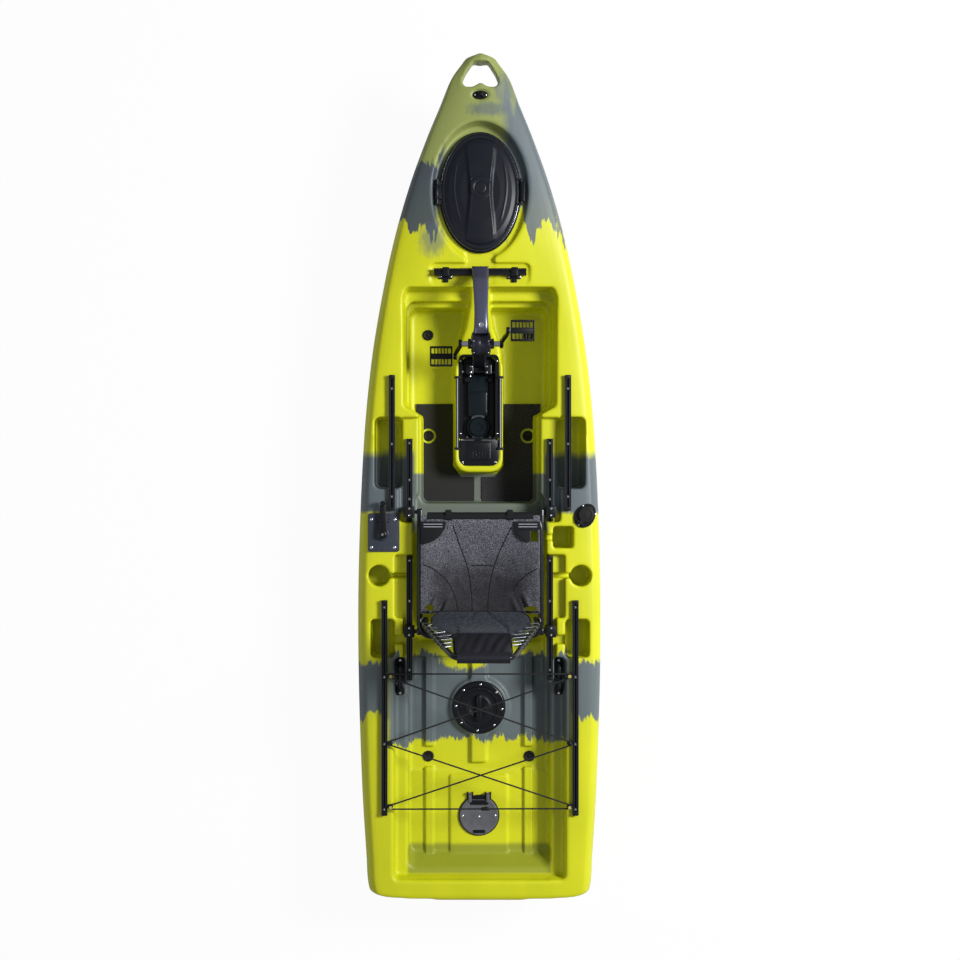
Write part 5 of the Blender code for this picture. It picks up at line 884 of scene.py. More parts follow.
class Build:
    """Collects the parts of one mesh."""

    def __init__(self):
        self.verts, self.faces = [], []

    def add(self, verts, faces):
        start = len(self.verts)
        self.verts += [tuple(v) for v in verts]
        self.faces += [tuple(start + i for i in face) for face in faces]
        return self

    def loft(self, rings, closed=False):
        count, size = len(rings), len(rings[0])
        faces = []
        for r in range(count if closed else count - 1):
            for i in range(size):
                j = (i + 1) % size
                faces.append((r * size + i, r * size + j, (r + 1) % count * size + j,
                              (r + 1) % count * size + i))
        if not closed:
            faces.append(tuple(range(size))[::-1])
            faces.append(tuple((count - 1) * size + i for i in range(size)))
        return self.add([p for ring in rings for p in ring], faces)

    def stack(self, levels, low=0.0, closed=False):
        """A body through outlines in plan, each at its height; a closed one joins the last to the first."""
        return self.loft([[(x, y, low + z) for x, y in outline] for outline, z in levels], closed)

    def slab(self, outline, z0, z1, bevel):
        """A flat piece with rounded edges, from an outline in plan."""
        steps = [(bevel, z0), (0.0, z0 + bevel), (0.0, z1 - bevel), (bevel * 0.3, z1 - bevel * 0.3),
                 (bevel, z1)]
        return self.stack([(shrunk(outline, inset), z) for inset, z in steps])

    def block(self, xs, ys, zs, radius, bevel, steps=8):
        """A flat piece from its span on each axis, its corners rounded in plan."""
        return self.slab(rounded(rect(*sorted(xs), *sorted(ys)), radius, steps), *zs, bevel)

    def plate(self, outline, xs, bevel):
        """A flat upright piece with rounded edges, from a (y, z) outline and its span across."""
        x0, x1 = sorted(xs)
        steps = [(x0, bevel), (x0 + bevel, 0.0), (x1 - bevel, 0.0), (x1, bevel)]
        return self.loft([[(x, y, z) for y, z in shrunk(outline, inset)] for x, inset in steps])

    def pin(self, centre, radius, length, axis, bevel=0.0007, count=24):
        """A round pin with bevelled ends."""
        profile = [(radius - bevel, 0), (radius, bevel), (radius, length - bevel), (radius - bevel, length)]
        return self.turned(centre, profile, axis, count)

    def turned(self, centre, profile, axis=(0, 0, 1), count=32, closed=False):
        """A body of revolution from (radius, height) points; a closed one is a ring."""
        aim = Vector(axis).normalized()
        side = aim.orthogonal().normalized()
        other = aim.cross(side)
        spokes = [side * math.cos(a) + other * math.sin(a) for a in turns(count)]
        rings = [[Vector(centre) + aim * height + spoke * max(radius, 1e-5) for spoke in spokes]
                 for radius, height in profile]
        return self.loft(rings, closed)

    def tube(self, points, radius, sides=12, closed=False, flat=1.0):
        """A round bar along a route; a flat share under one makes it an oval."""
        route = [Vector(p) for p in points]
        count = len(route)
        rings = []
        up = None
        for i, here in enumerate(route):
            ahead = route[(i + 1) % count] if closed else route[min(i + 1, count - 1)]
            back = route[i - 1] if closed else route[max(i - 1, 0)]
            aim = (ahead - back).normalized()
            if up is None:
                up = Vector((0, 0, 1)) if abs(aim.z) < 0.95 else Vector((1, 0, 0))
            side = aim.cross(up).normalized()
            up = side.cross(aim).normalized()
            size = radius[i] if isinstance(radius, (list, tuple)) else radius
            rings.append([here + side * math.cos(a) * size + up * math.sin(a) * size * flat
                          for a in turns(sides)])
        return self.loft(rings, closed=closed)

    def screw(self, place, radius, height=0.0016, axis=(0, 0, 1)):
        """A pan-head screw with a dished middle."""
        profile = [(radius, 0.0), (radius, height * 0.45), (radius * 0.82, height * 0.85),
                   (radius * 0.42, height), (radius * 0.36, height * 0.62), (0.0, height * 0.55)]
        return self.turned(place, profile, axis, 18)

    def screws(self, places, radius, height=0.0016):
        for place in places:
            self.screw(place, radius, height)
        return self

    def object(self, name, smooth=38.0):
        return new_object(name, self.verts, self.faces, smooth)

    def piece(self, name, body, finish, slot, stands_for=None, smooth=38.0):
        piece(self.object(name, smooth), body, finish, stands_for)


def shrunk(outline, amount):
    """An outline moved inwards along its points' normals."""
    if amount == 0:
        return list(outline)
    count = len(outline)
    area = sum(outline[i][0] * outline[(i + 1) % count][1] - outline[(i + 1) % count][0] * outline[i][1]
               for i in range(count))
    way = 1.0 if area > 0 else -1.0
    points = []
    for i, (x, y) in enumerate(outline):
        x0, y0 = outline[i - 1]
        x1, y1 = outline[(i + 1) % count]
        a = Vector((x - x0, y - y0))
        b = Vector((x1 - x, y1 - y))
        if a.length < 1e-9 or b.length < 1e-9:
            a = b = Vector((x1 - x0, y1 - y0))
        normal = (Vector((-a.y, a.x)).normalized() + Vector((-b.y, b.x)).normalized()).normalized()
        points.append((x + way * normal.x * amount, y + way * normal.y * amount))
    return points


def soft_route(corners, radius, steps=8, closed=False):
    """A route with its corners turned into arcs."""
    points = [Vector(c) for c in corners]
    count = len(points)
    out = []
    for i, here in enumerate(points):
        if not closed and i in (0, count - 1):
            out.append(here)
            continue
        back, ahead = points[i - 1] - here, points[(i + 1) % count] - here
        half = back.angle(ahead) / 2
        if half > 1.56:
            out.append(here)
            continue
        reach = min(radius / math.tan(half), back.length * 0.48, ahead.length * 0.48)
        start, end = here + back.normalized() * reach, here + ahead.normalized() * reach
        for s in range(steps + 1):
            t = s / steps
            out.append(start * (1 - t) ** 2 + here * 2 * t * (1 - t) + end * t ** 2)
    return out


# Front hatch
LID_HALF = (0.1423, 0.2138)
LID_LOW_Z = 0.3571
LID_HINGE = (-0.1555, 0.3635)
LATCH_X = 0.1475
LATCH_Z = 0.3696
LID_PROFILE = [(0.0, 0.0305), (0.1, 0.0305), (0.5, 0.0285), (0.8, 0.0215), (0.93, 0.0125), (1.0, 0.007)]
BOSS_Y = 1.047
RIM_LOW_Z, RIM_TOP_Z = 0.3453, 0.354
RIM_BORE = (0.12, 0.188)


def lid_height(x, y):
    """The lid's top over its middle plane: dome, band, side facets with ridges, rim and boss."""
    share = math.hypot(x / LID_HALF[0], y / LID_HALF[1])
    radii, heights = zip(*LID_PROFILE)
    height = float(np.interp(share, radii, heights))
    waist = 0.036 + 0.015 * eased(abs(y), 0, 0.175)
    inner = 1 - eased(share, 0.86, 0.05)
    beside = abs(x) - waist
    band = 1 - eased(beside, -0.003, 0.006)
    height += 0.003 * band * inner
    edge_line = bell(beside, -0.0045, 0.0016)
    height += 0.0006 * edge_line * inner
    facet = eased(beside, 0, 0.01) * inner
    height -= 0.0034 * facet * (1 - share) * 2.0
    sweep_x = 0.074 + 0.02 * math.cos((y - 0.02) * 13.0)
    ridge = bell(abs(x), sweep_x, 0.003) * eased(0.115, abs(y), 0.03)
    height += 0.0015 * ridge * facet
    height += 0.0022 * bell(share, 0.955, 0.016)
    height -= 0.0018 * bell(share, 0.905, 0.012)
    away = math.hypot(x, y - (BOSS_Y - HATCH_CENTRE[1]))
    disc = 1 - eased(away, 0.038, 0.004)
    height += 0.003 * disc
    height -= 0.0022 * bell(away, 0.0215, 0.002) * disc
    arc = bell(away, 0.046, 0.0022) * (1.0 if y > 0.02 else 0.0)
    return height + 0.0012 * arc * band


def front_hatch():
    around, across = 168, 84
    build = Build()
    verts = [(0.0, HATCH_CENTRE[1], LID_LOW_Z + lid_height(0.0, 0.0))]
    for r in range(1, across + 1):
        share = r / across
        drop = 0.0022 * eased(share, 0.985, 0.015)
        for x, y in ellipse(LID_HALF[0] * share, LID_HALF[1] * share, count=around):
            verts.append((x, HATCH_CENTRE[1] + y, LID_LOW_Z + lid_height(x, y) - drop))
    faces = [(0, 1 + i, 1 + (i + 1) % around) for i in range(around)]
    for r in range(across - 1):
        for i in range(around):
            a, b = 1 + r * around + i, 1 + r * around + (i + 1) % around
            faces.append((a, a + around, b + around, b))
    rim = 1 + (across - 1) * around
    under = len(verts)
    for share, z in ((1.0, 0.0), (0.955, 0.0), (0.93, 0.006), (0.4, 0.0225)):
        ring = ellipse(LID_HALF[0] * share, LID_HALF[1] * share, HATCH_CENTRE, around)
        verts += [(x, y, LID_LOW_Z + z) for x, y in ring]
    starts = [rim] + [under + k * around for k in range(4)]
    for a0, b0 in zip(starts, starts[1:]):
        faces += [(a0 + i, b0 + i, b0 + (i + 1) % around, a0 + (i + 1) % around) for i in range(around)]
    faces.append(tuple(starts[-1] + i for i in range(around)))
    build.add(verts, faces)
    y = HATCH_CENTRE[1]
    hinge_x, hinge_z = LID_HINGE
    build.block((hinge_x, -LID_HALF[0] + 0.006), (y - 0.0253, y + 0.0253),
                (LID_LOW_Z + 0.001, hinge_z + 0.003), 0.002, 0.0008)
    build.pin((hinge_x, y - 0.0253, hinge_z), 0.0069, 0.0506, (0, 1, 0))
    for sign in (-1, 1):
        build.block((LID_HALF[0] - 0.01, LATCH_X + 0.005), (y + sign * 0.0405, y + sign * 0.047),
                    (LID_LOW_Z + 0.001, LATCH_Z + 0.005), 0.0015, 0.0007)
    build.piece("front_hatch_lid_moulded", "front_hatch_lid", "lid", "black_plastic", "front_hatch_lid",
                smooth=50.0)
    button = Build().turned((0.0, BOSS_Y, LID_LOW_Z + 0.033),
                            [(0.0205, 0), (0.0205, 0.0016), (0.019, 0.0024), (0.012, 0.0018), (0.0, 0.0014)],
                            count=48)
    button.piece("front_hatch_button", "front_hatch_lid", "satin_black", "black_plastic")


def hatch_blocks():
    """The rim with its hinge blocks, the gasket and the latch's cover."""
    y = HATCH_CENTRE[1]
    hinge_x, hinge_z = LID_HINGE
    rim = Build()
    levels = [(LID_HALF[0] + 0.005, LID_HALF[1] + 0.005, RIM_LOW_Z),
              (LID_HALF[0] + 0.005, LID_HALF[1] + 0.005, RIM_TOP_Z - 0.0014),
              (LID_HALF[0] + 0.0036, LID_HALF[1] + 0.0036, RIM_TOP_Z),
              (*RIM_BORE, RIM_TOP_Z), (*RIM_BORE, RIM_LOW_Z)]
    rim.stack([(ellipse(a, b, HATCH_CENTRE, 120), z) for a, b, z in levels], closed=True)
    for sign in (-1, 1):
        ys = sorted((y + sign * 0.026, y + sign * 0.0455))
        rim.block((hinge_x - 0.007, hinge_x + 0.012), ys, (RIM_LOW_Z, hinge_z), 0.003, 0.0008)
        rim.pin((hinge_x, ys[0], hinge_z), 0.0071, 0.0195, (0, 1, 0))
    rim.piece("front_hatch_rim_moulded", "hull", "satin_black", "black_plastic", "front_hatch_rim")
    seal = Build()
    levels = [(0.992, 0.0003), (0.992, 0.0028), (0.958, 0.0028), (0.958, 0.0003)]
    seal.stack([(ellipse(LID_HALF[0] * k, LID_HALF[1] * k, HATCH_CENTRE, 96), z) for k, z in levels],
               RIM_TOP_Z, closed=True)
    seal.piece("front_hatch_seal", "hull", "rubber", "rubber", "front_hatch_gasket")
    x = LATCH_X + 0.006
    cover = Build().block((x - 0.0058, x + 0.0058), (y - 0.034, y + 0.034), (0.374, 0.3754), 0.003, 0.0006)
    cover.piece("latch_cover", "front_hatch_latch", "satin_black", "black_plastic")
    # A thin light grey ring just inside the lid's edge: a painted highlight line.
    bright = Build()
    line = [(x, y, 0.3646) for x, y in ellipse(LID_HALF[0] * 0.985, LID_HALF[1] * 0.985, HATCH_CENTRE, 120)]
    bright.tube(line, 0.0008, 8, closed=True)
    bright.piece("lid_edge_line", "front_hatch_lid", "highlight_and_cord_grey", "black_plastic")


CROSSBAR_Y = 0.748
BAR_MID_Z = 0.3588
SADDLE_X = 0.1236
SADDLE_LOW_Z, SADDLE_TOP_Z = 0.3403, 0.3458


def bow_fittings():
    eye_y, eye_z = 1.374, 0.398
    build = Build().slab(ellipse(0.027, 0.0158, (0.0, eye_y), 48), eye_z + 0.0003, eye_z + 0.0052, 0.0012)
    for sign in (-1, 1):
        route = soft_route([(sign * 0.012, eye_y - 0.009, eye_z + 0.004),
                            (sign * 0.006, eye_y - 0.004, eye_z + 0.016),
                            (-sign * 0.006, eye_y + 0.004, eye_z + 0.0185),
                            (-sign * 0.012, eye_y + 0.009, eye_z + 0.004)], 0.008, 6)
        build.tube(route, 0.0026, 10)
    build.piece("bow_pad_eye_moulded", "hull", "satin_black", "black_plastic", "bow_pad_eye")
    screws = Build()
    for sign in (-1, 1):
        screws.screw((sign * 0.0195, eye_y, eye_z + 0.005), 0.0032)
        for offset in (-0.0198, 0.0198):
            screws.screw((sign * SADDLE_X + offset, CROSSBAR_Y - 0.0145, SADDLE_TOP_Z), 0.0043)
    screws.piece("bow_screws", "hull", "bolt", "steel")
    for sign, side in SIDES:
        build = Build()
        x = sign * SADDLE_X
        plate = [(x - 0.0245, 0.7245), (x + 0.0245, 0.7245), (x + 0.0245, 0.742), (x + 0.015, 0.764),
                 (x - 0.015, 0.764), (x - 0.0245, 0.742)]
        build.slab(rounded(plate, 0.004), SADDLE_LOW_Z, SADDLE_TOP_Z, 0.0008)
        build.block((x - 0.01, x + 0.01), (0.7125, 0.73), (SADDLE_LOW_Z, 0.3452), 0.003, 0.0008)
        arch = [(-0.012, 0.344), (-0.012, 0.3725), (-0.01, 0.375), (0.01, 0.375), (0.012, 0.3725),
                (0.012, 0.344)]
        for ys in ((0.7618, 0.764), (0.732, 0.7345)):
            build.loft([[(x + px, y, pz) for px, pz in arch] for y in ys])
        build.slab(rect(x - 0.0118, x + 0.0118, 0.7322, 0.7638), 0.3717, 0.3749, 0.0006)
        build.piece("saddle_moulded_" + side, "hull", "satin_black", "black_metal", "saddle_" + side)


CRANK_Y = 0.4814
CRANK_Z = 0.45
CRANK_ANGLE = math.radians(75)
CRANK_LENGTH = 0.13
PIVOT = (0.418, 0.105)
COLUMN_TILT = math.atan2(CRANK_Y - PIVOT[0], CRANK_Z - PIVOT[1])


def curve_through(points, steps):
    """Points on a smooth curve through a list of equal-length number lists."""
    out = []
    for i in range(len(points) - 1):
        p0, p1 = np.array(points[max(i - 1, 0)]), np.array(points[i])
        p2, p3 = np.array(points[i + 1]), np.array(points[min(i + 2, len(points) - 1)])
        for s in range(steps):
            t = s / steps
            out.append(0.5 * (2 * p1 + (p2 - p0) * t + (2 * p0 - 5 * p1 + 4 * p2 - p3) * t * t
                              + (3 * p1 - p0 - 3 * p2 + p3) * t ** 3))
    out.append(np.array(points[-1]))
    return out


def pill(half_x, half_t, count=40, power=3.2):
    """A soft-cornered section, (across, thickness)."""
    points = []
    for a in turns(count):
        c, s = math.cos(a), math.sin(a)
        points.append((half_x * math.copysign(abs(c) ** (2 / power), c),
                       half_t * math.copysign(abs(s) ** (2 / power), s)))
    return points


def drive_arm():
    stations = [(CROSSBAR_Y + 0.012, BAR_MID_Z + 0.0125, 0.03, 0.0075),
                (CROSSBAR_Y - 0.01, 0.39, 0.03, 0.01), (0.7, 0.428, 0.028, 0.011),
                (0.645, 0.458, 0.0255, 0.012), (0.59, 0.475, 0.024, 0.013), (0.54, 0.48, 0.0255, 0.014),
                (CRANK_Y + 0.037, 0.4755, 0.0285, 0.014)]
    route = curve_through(stations, 8)
    rings = []
    for i, (y, z, half_x, half_t) in enumerate(route):
        a, b = route[max(i - 1, 0)], route[min(i + 1, len(route) - 1)]
        tilt = math.atan2(b[1] - a[1], a[0] - b[0])
        rings.append([(x, y + t * math.sin(tilt), z + t * math.cos(tilt)) for x, t in pill(half_x, half_t)])
    build = Build().loft(rings)
    y0, y1 = CROSSBAR_Y - 0.0183, CROSSBAR_Y + 0.0183
    for (ya, za), (yb, zb) in (((y0, BAR_MID_Z + 0.0128), (y1, BAR_MID_Z + 0.019)),
                               ((y0, BAR_MID_Z - 0.0165), (y0 + 0.0055, BAR_MID_Z + 0.019)),
                               ((y1 - 0.0055, BAR_MID_Z - 0.0165), (y1, BAR_MID_Z + 0.019))):
        build.block((-0.0298, 0.0298), (ya, yb), (za, zb), 0.002, 0.0012)
    build.piece("drive_arm_cast", "hull", "arm_metal", "grey_metal", "drive_arm", smooth=60.0)
    bolts = Build()
    for x in (-0.0215, 0.0215):
        bolts.turned((x, CROSSBAR_Y, BAR_MID_Z + 0.0188),
                     [(0.0055, 0), (0.0055, 0.003), (0.0045, 0.004), (0.003, 0.004), (0.003, 0.0022),
                      (0.0, 0.0022)], count=20)
    bolts.piece("arm_bolts", "hull", "black_metal", "black_metal")


def column_point(share):
    return Vector((0.0, CRANK_Y + (PIVOT[0] - CRANK_Y) * share, CRANK_Z + (PIVOT[1] - CRANK_Z) * share))


def drive_housing():
    build = Build()
    rim = [(0.011, 0.0), (0.0175, 0.0), (0.018, 0.0008), (0.018, 0.012), (0.03, 0.0122), (0.0395, 0.015),
           (0.042, 0.019), (0.042, 0.041), (0.0406, 0.0432), (0.0406, 0.0488), (0.042, 0.051),
           (0.042, 0.073), (0.0395, 0.077), (0.03, 0.0798), (0.018, 0.08), (0.018, 0.0912), (0.0175, 0.092),
           (0.011, 0.092)]
    build.turned((-0.046, CRANK_Y, CRANK_Z), rim, (1, 0, 0), 64)
    rings = []
    for share, half_x, half_y in ((0.1, 0.0262, 0.0182), (0.18, 0.025, 0.0175), (0.3, 0.024, 0.0165),
                                  (0.55, 0.0245, 0.0165), (0.8, 0.0255, 0.0165), (0.87, 0.0255, 0.0165)):
        middle = column_point(share)
        rings.append([(px, middle.y + py * math.cos(COLUMN_TILT), middle.z - py * math.sin(COLUMN_TILT))
                      for px, py in rounded(rect(-half_x, half_x, -half_y, half_y), 0.007, 6)])
    build.loft(rings)
    for sign in (-1, 1):
        middle = column_point(0.84)
        arc = [(PIVOT[0] + 0.016 * math.cos(a), PIVOT[1] + 0.016 * math.sin(a))
               for a in (math.pi + math.pi * i / 18 for i in range(19))]
        outline = arc + [(middle.y + 0.016, middle.z), (middle.y - 0.016, middle.z)]
        build.loft([[(x, y, z) for y, z in outline] for x in sorted((sign * 0.018, sign * 0.0255))])
    build.piece("drive_housing_cast", "hull", "housing", "black_metal", "drive_housing")
    details = Build()
    for a in turns(8):
        a += 0.35
        for sign in (-1, 1):
            details.screw((sign * 0.034, CRANK_Y + 0.026 * math.cos(a), CRANK_Z + 0.026 * math.sin(a)),
                          0.0028, 0.0014, (sign, 0, 0))
    for x, y in ((-0.026, CRANK_Y - 0.034), (0.026, CRANK_Y - 0.034), (-0.026, CRANK_Y + 0.006),
                 (0.026, CRANK_Y + 0.006)):
        z = CRANK_Z + math.sqrt(max(0.042 ** 2 - (y - CRANK_Y) ** 2, 0.0)) - 0.0005
        details.screw((x, y, z), 0.0034, 0.002, (0, (y - CRANK_Y) / 0.042, (z - CRANK_Z) / 0.042))
    ring = [(0.006, 0.0), (0.0092, 0.0), (0.0092, 0.0022), (0.008, 0.003), (0.006, 0.0024)]
    details.turned((0.0, 0.544, 0.493), ring, (0, 0.05, 1), 28)
    details.piece("housing_screws", "hull", "bolt", "steel")


def crank_end(sign):
    reach = CRANK_LENGTH * sign
    return CRANK_Y + reach * math.cos(CRANK_ANGLE), CRANK_Z + reach * math.sin(CRANK_ANGLE)


def cranks_and_pedals():
    for sign, side in SIDES:
        end_y, end_z = crank_end(sign)
        build = Build()
        hub_x, end_x = sign * 0.0734, sign * 0.0895
        disc = [(0.0, 0.0), (0.014, 0.0), (0.0158, 0.0014), (0.016, 0.004), (0.016, 0.009), (0.0145, 0.0116),
                (0.0085, 0.0126), (0.008, 0.0105), (0.0, 0.0105)]
        build.turned((hub_x - sign * 0.0063, CRANK_Y, CRANK_Z), disc, (sign, 0, 0), 40)
        boss = [(r * 0.81, h) for r, h in disc]
        build.turned((end_x - sign * 0.0063, end_y, end_z), boss, (sign, 0, 0), 36)
        along = Vector((0.0, end_y - CRANK_Y, end_z - CRANK_Z)).normalized()
        across = Vector((0.0, -along.z, along.y))
        rings = []
        for k in range(17):
            share = 0.03 + 0.94 * k / 16
            ease = eased(share, 0.1, 0.8)
            wide = 0.0112 - 0.0026 * share
            middle = Vector((hub_x + (end_x - hub_x) * ease, CRANK_Y,
                             CRANK_Z)) + along * CRANK_LENGTH * share
            rings.append([middle + Vector((t, 0, 0)) + across * w for w, t in pill(wide, 0.0052, 20)])
        build.loft(rings)
        build.piece("crank_forged_" + side, "cranks", "black_metal", "black_metal", "crank_" + side,
                    smooth=50.0)
        axle = Build().turned((end_x, end_y, end_z), [(0.0045, 0.0), (0.0045, 0.078), (0.0036, 0.08)],
                              (sign, 0, 0), 20)
        axle.turned((end_x + sign * 0.0062, end_y, end_z),
                    [(0.0075, 0.0), (0.0075, 0.0035), (0.0066, 0.0042)], (sign, 0, 0), 6)
        axle.piece("pedal_axle_" + side, "cranks", "bolt", "steel")
        pedal(side, sign, end_y, end_z)


def pedal(side, sign, end_y, end_z):
    """A slotted platform: an outer frame, two rows of narrow bars, a middle tread and grip studs."""
    x = sign * 0.14
    half, deep, thick = 0.041, 0.0365, 0.009
    build = Build()

    def bar(x0, x1, y0, y1, z0=-thick, z1=thick, radius=0.002):
        build.block((x0, x1), (y0, y1), (end_z + z0, end_z + z1), radius, 0.001, 4)

    for edge in (-1, 1):
        bar(x - half, x + half, *sorted((end_y + edge * (deep - 0.007), end_y + edge * deep)), radius=0.0065)
        bar(*sorted((x + edge * (half - 0.006), x + edge * half)), end_y - deep + 0.0008,
            end_y + deep - 0.0008)
    for edge in (-1, 1):
        bar(x - half + 0.001, x + half - 0.001, *sorted((end_y + edge * 0.0053, end_y + edge * 0.01)))
    bar(x - half + 0.001, x + half - 0.001, end_y - 0.006, end_y + 0.006, 0.005, thick)
    bar(x - half + 0.001, x + half - 0.001, end_y - 0.006, end_y + 0.006, -thick, -0.005)
    pitch = (2 * half - 0.012) / 6
    for i in range(1, 6):
        middle = x - half + 0.006 + pitch * i
        for edge in (-1, 1):
            bar(middle - 0.0018, middle + 0.0018,
                *sorted((end_y + edge * 0.009, end_y + edge * (deep - 0.0055))), -thick + 0.001,
                thick - 0.001, 0.0008)
    for i in range(5):
        for edge in (-1, 1):
            for top in (-1, 1):
                build.turned((x - half + 0.009 + 0.016 * i, end_y + edge * (deep - 0.0035),
                              end_z + top * thick), [(0.0014, -0.0004), (0.0014, 0.0008), (0.0008, 0.0012)],
                             (0, 0, top), 10)
    build.piece("pedal_moulded_" + side, "pedal_" + side, "black_plastic", "black_plastic", "pedal_" + side)


# Drive well
LINER_LOW_Z = CONSOLE_TOP_Z + 0.0003
GEARBOX_Y = 0.186
TUB_FLOOR_Z = 0.1537
RAIL_YS = (0.116, 0.38)


def scaled(outline, share, centre):
    return [(centre[0] + (x - centre[0]) * share, centre[1] + (y - centre[1]) * share) for x, y in outline]


def drive_well():
    """The console's black ring and tub, with the cover's panel, round lid and ears on the tub's floor."""
    outer = rounded(rect(-0.0745, 0.0745, 0.148, 0.465), 0.02, 10)
    inner = rounded(rect(-0.0605, 0.0605, 0.1565, 0.455), 0.012, 10)
    build = Build()
    levels = [(outer, 0.0), (outer, 0.0048), (shrunk(outer, 0.0012), 0.006), (shrunk(inner, -0.0012), 0.006),
              (inner, 0.0048), (inner, 0.0)]
    build.stack(levels, LINER_LOW_Z, closed=True)
    shell = rounded(rect(-0.064, 0.064, 0.153, 0.402), 0.012, 8)
    room = rounded(rect(-0.0605, 0.0605, 0.1565, 0.3985), 0.0085, 8)
    middle = (0.0, 0.28)
    levels = [(scaled(room, 0.02, middle), TUB_FLOOR_Z), (shrunk(room, 0.004), TUB_FLOOR_Z),
              (room, TUB_FLOOR_Z + 0.004), (room, LINER_LOW_Z + 0.004), (shell, LINER_LOW_Z + 0.004),
              (shell, TUB_FLOOR_Z - 0.0035), (scaled(shell, 0.02, middle), TUB_FLOOR_Z - 0.0035)]
    build.stack(levels)
    # A black plate across the forward opening: a dark sheet standing in for the shade down the drive's slot.
    build.block((-0.06, 0.06), (0.4, 0.4545), (0.18, 0.184), 0.008, 0.0012)
    for sign in (-1, 1):
        build.block((sign * 0.0205, sign * 0.0475), (0.39, 0.43), (0.183, 0.2125), 0.006, 0.003)
        build.turned((sign * 0.044, 0.372, TUB_FLOOR_Z),
                     [(0.01, 0.0), (0.01, 0.03), (0.008, 0.033), (0.0, 0.033)], count=24)
    build.piece("well_liner_moulded", "hull", "satin_black", "black_plastic", "well_liner")

    cover = Build().block((-0.039, 0.039), (0.236, 0.396), (TUB_FLOOR_Z - 0.001, 0.174), 0.01, 0.005)
    cover.block((-0.03, 0.03), (0.244, 0.33), (0.1735, 0.1762), 0.008, 0.0022)
    disc = [(0.0, 0.0), (0.045, 0.0), (0.0455, 0.016), (0.0445, 0.02), (0.0425, 0.0215), (0.04, 0.0195),
            (0.0385, 0.012), (0.0345, 0.012), (0.034, 0.018), (0.032, 0.02), (0.015, 0.019), (0.013, 0.016),
            (0.0, 0.0158)]
    cover.turned((0.0, 0.197, TUB_FLOOR_Z - 0.001), disc, count=72)
    cover.piece("well_cover", "hull", "teal_black", "black_plastic")

    trims = Build()
    # Bright arcs over the top and bottom of the round lid: painted highlights.
    for start, end in ((60, 128), (236, 292)):
        for radius in (0.044, 0.04):
            arc = [(radius * math.cos(a), 0.197 + radius * math.sin(a), TUB_FLOOR_Z + 0.0198)
                   for a in (math.radians(start + (end - start) * k / 24) for k in range(25))]
            trims.tube(arc, 0.0009, 8)
    for sign in (-1, 1):
        trims.turned((sign * 0.0425, 0.158, TUB_FLOOR_Z),
                     [(0.004, 0), (0.004, 0.02), (0.003, 0.0215), (0, 0.0215)], count=20)
        trims.block((sign * 0.023, sign * 0.034), (0.418, 0.4225), (0.2122, 0.2134), 0.001, 0.0003)
        trims.screw((sign * 0.03, 0.3985, 0.2122), 0.0034)
    trims.screw((-0.031, 0.386, 0.1738), 0.0036)
    trims.screw((0.039, 0.376, 0.179), 0.003)
    trims.piece("well_trims", "hull", "bolt", "steel")

    rails, lines = Build(), Build()
    for sign in (-1, 1):
        top = CONSOLE_TOP_Z + 0.0105
        rails.block((sign * 0.0738, sign * 0.085), RAIL_YS, (CONSOLE_TOP_Z + 0.002, top), 0.002, 0.001)
        lines.slab(rect(*sorted((sign * 0.0782, sign * 0.0812)), RAIL_YS[0] + 0.002, RAIL_YS[1] - 0.002),
                   top - 0.0004, top + 0.0006, 0.0002)
        for y in RAIL_YS:
            rails.block((sign * 0.069, sign * 0.0915), (y - 0.0042, y + 0.0042),
                        (CONSOLE_TOP_Z + 0.001, top + 0.002), 0.002, 0.001)
    rails.piece("console_rails", "hull", "black_plastic", "black_plastic")
    lines.piece("console_rail_lines", "hull", "piping", "steel")
    screws = Build()
    for sign in (-1, 1):
        screws.screws([(sign * 0.0675, y, LINER_LOW_Z + 0.0059) for y in (0.172, 0.44)], 0.0032)
        screws.screw((sign * 0.06, 0.066, LINER_LOW_Z + 0.004), 0.0036)
    screws.piece("liner_screws", "hull", "bolt", "steel")


def drive_cradle():
    """The plate aft of the tub, rounded at its aft corners, with a raised piece that has upright slots."""
    low = LINER_LOW_Z
    build = Build()
    plate = [(x, min(y, 0.1476)) for x, y in rounded(rect(-0.0745, 0.0745, 0.052, 0.22), 0.03, 12)]
    build.slab(plate, low, low + 0.004, 0.001)
    build.block((-0.06, 0.06), (0.081, 0.1395), (low - 0.0397, low + 0.003), 0.01, 0.001, 6)
    build.block((-0.043, 0.043), (0.074, 0.14), (low + 0.003, low + 0.0095), 0.006, 0.002, 6)
    build.piece("drive_cradle_moulded", "hull", "satin_black", "black_plastic", "drive_cradle")
    slots = Build()
    for k in range(5):
        x = -0.023 + 0.0115 * k
        slots.block((x - 0.0022, x + 0.0022), (0.08, 0.106), (low + 0.009, low + 0.01), 0.002, 0.0003, 4)
    slots.piece("cradle_slots", "hull", "teal_black", "rubber")


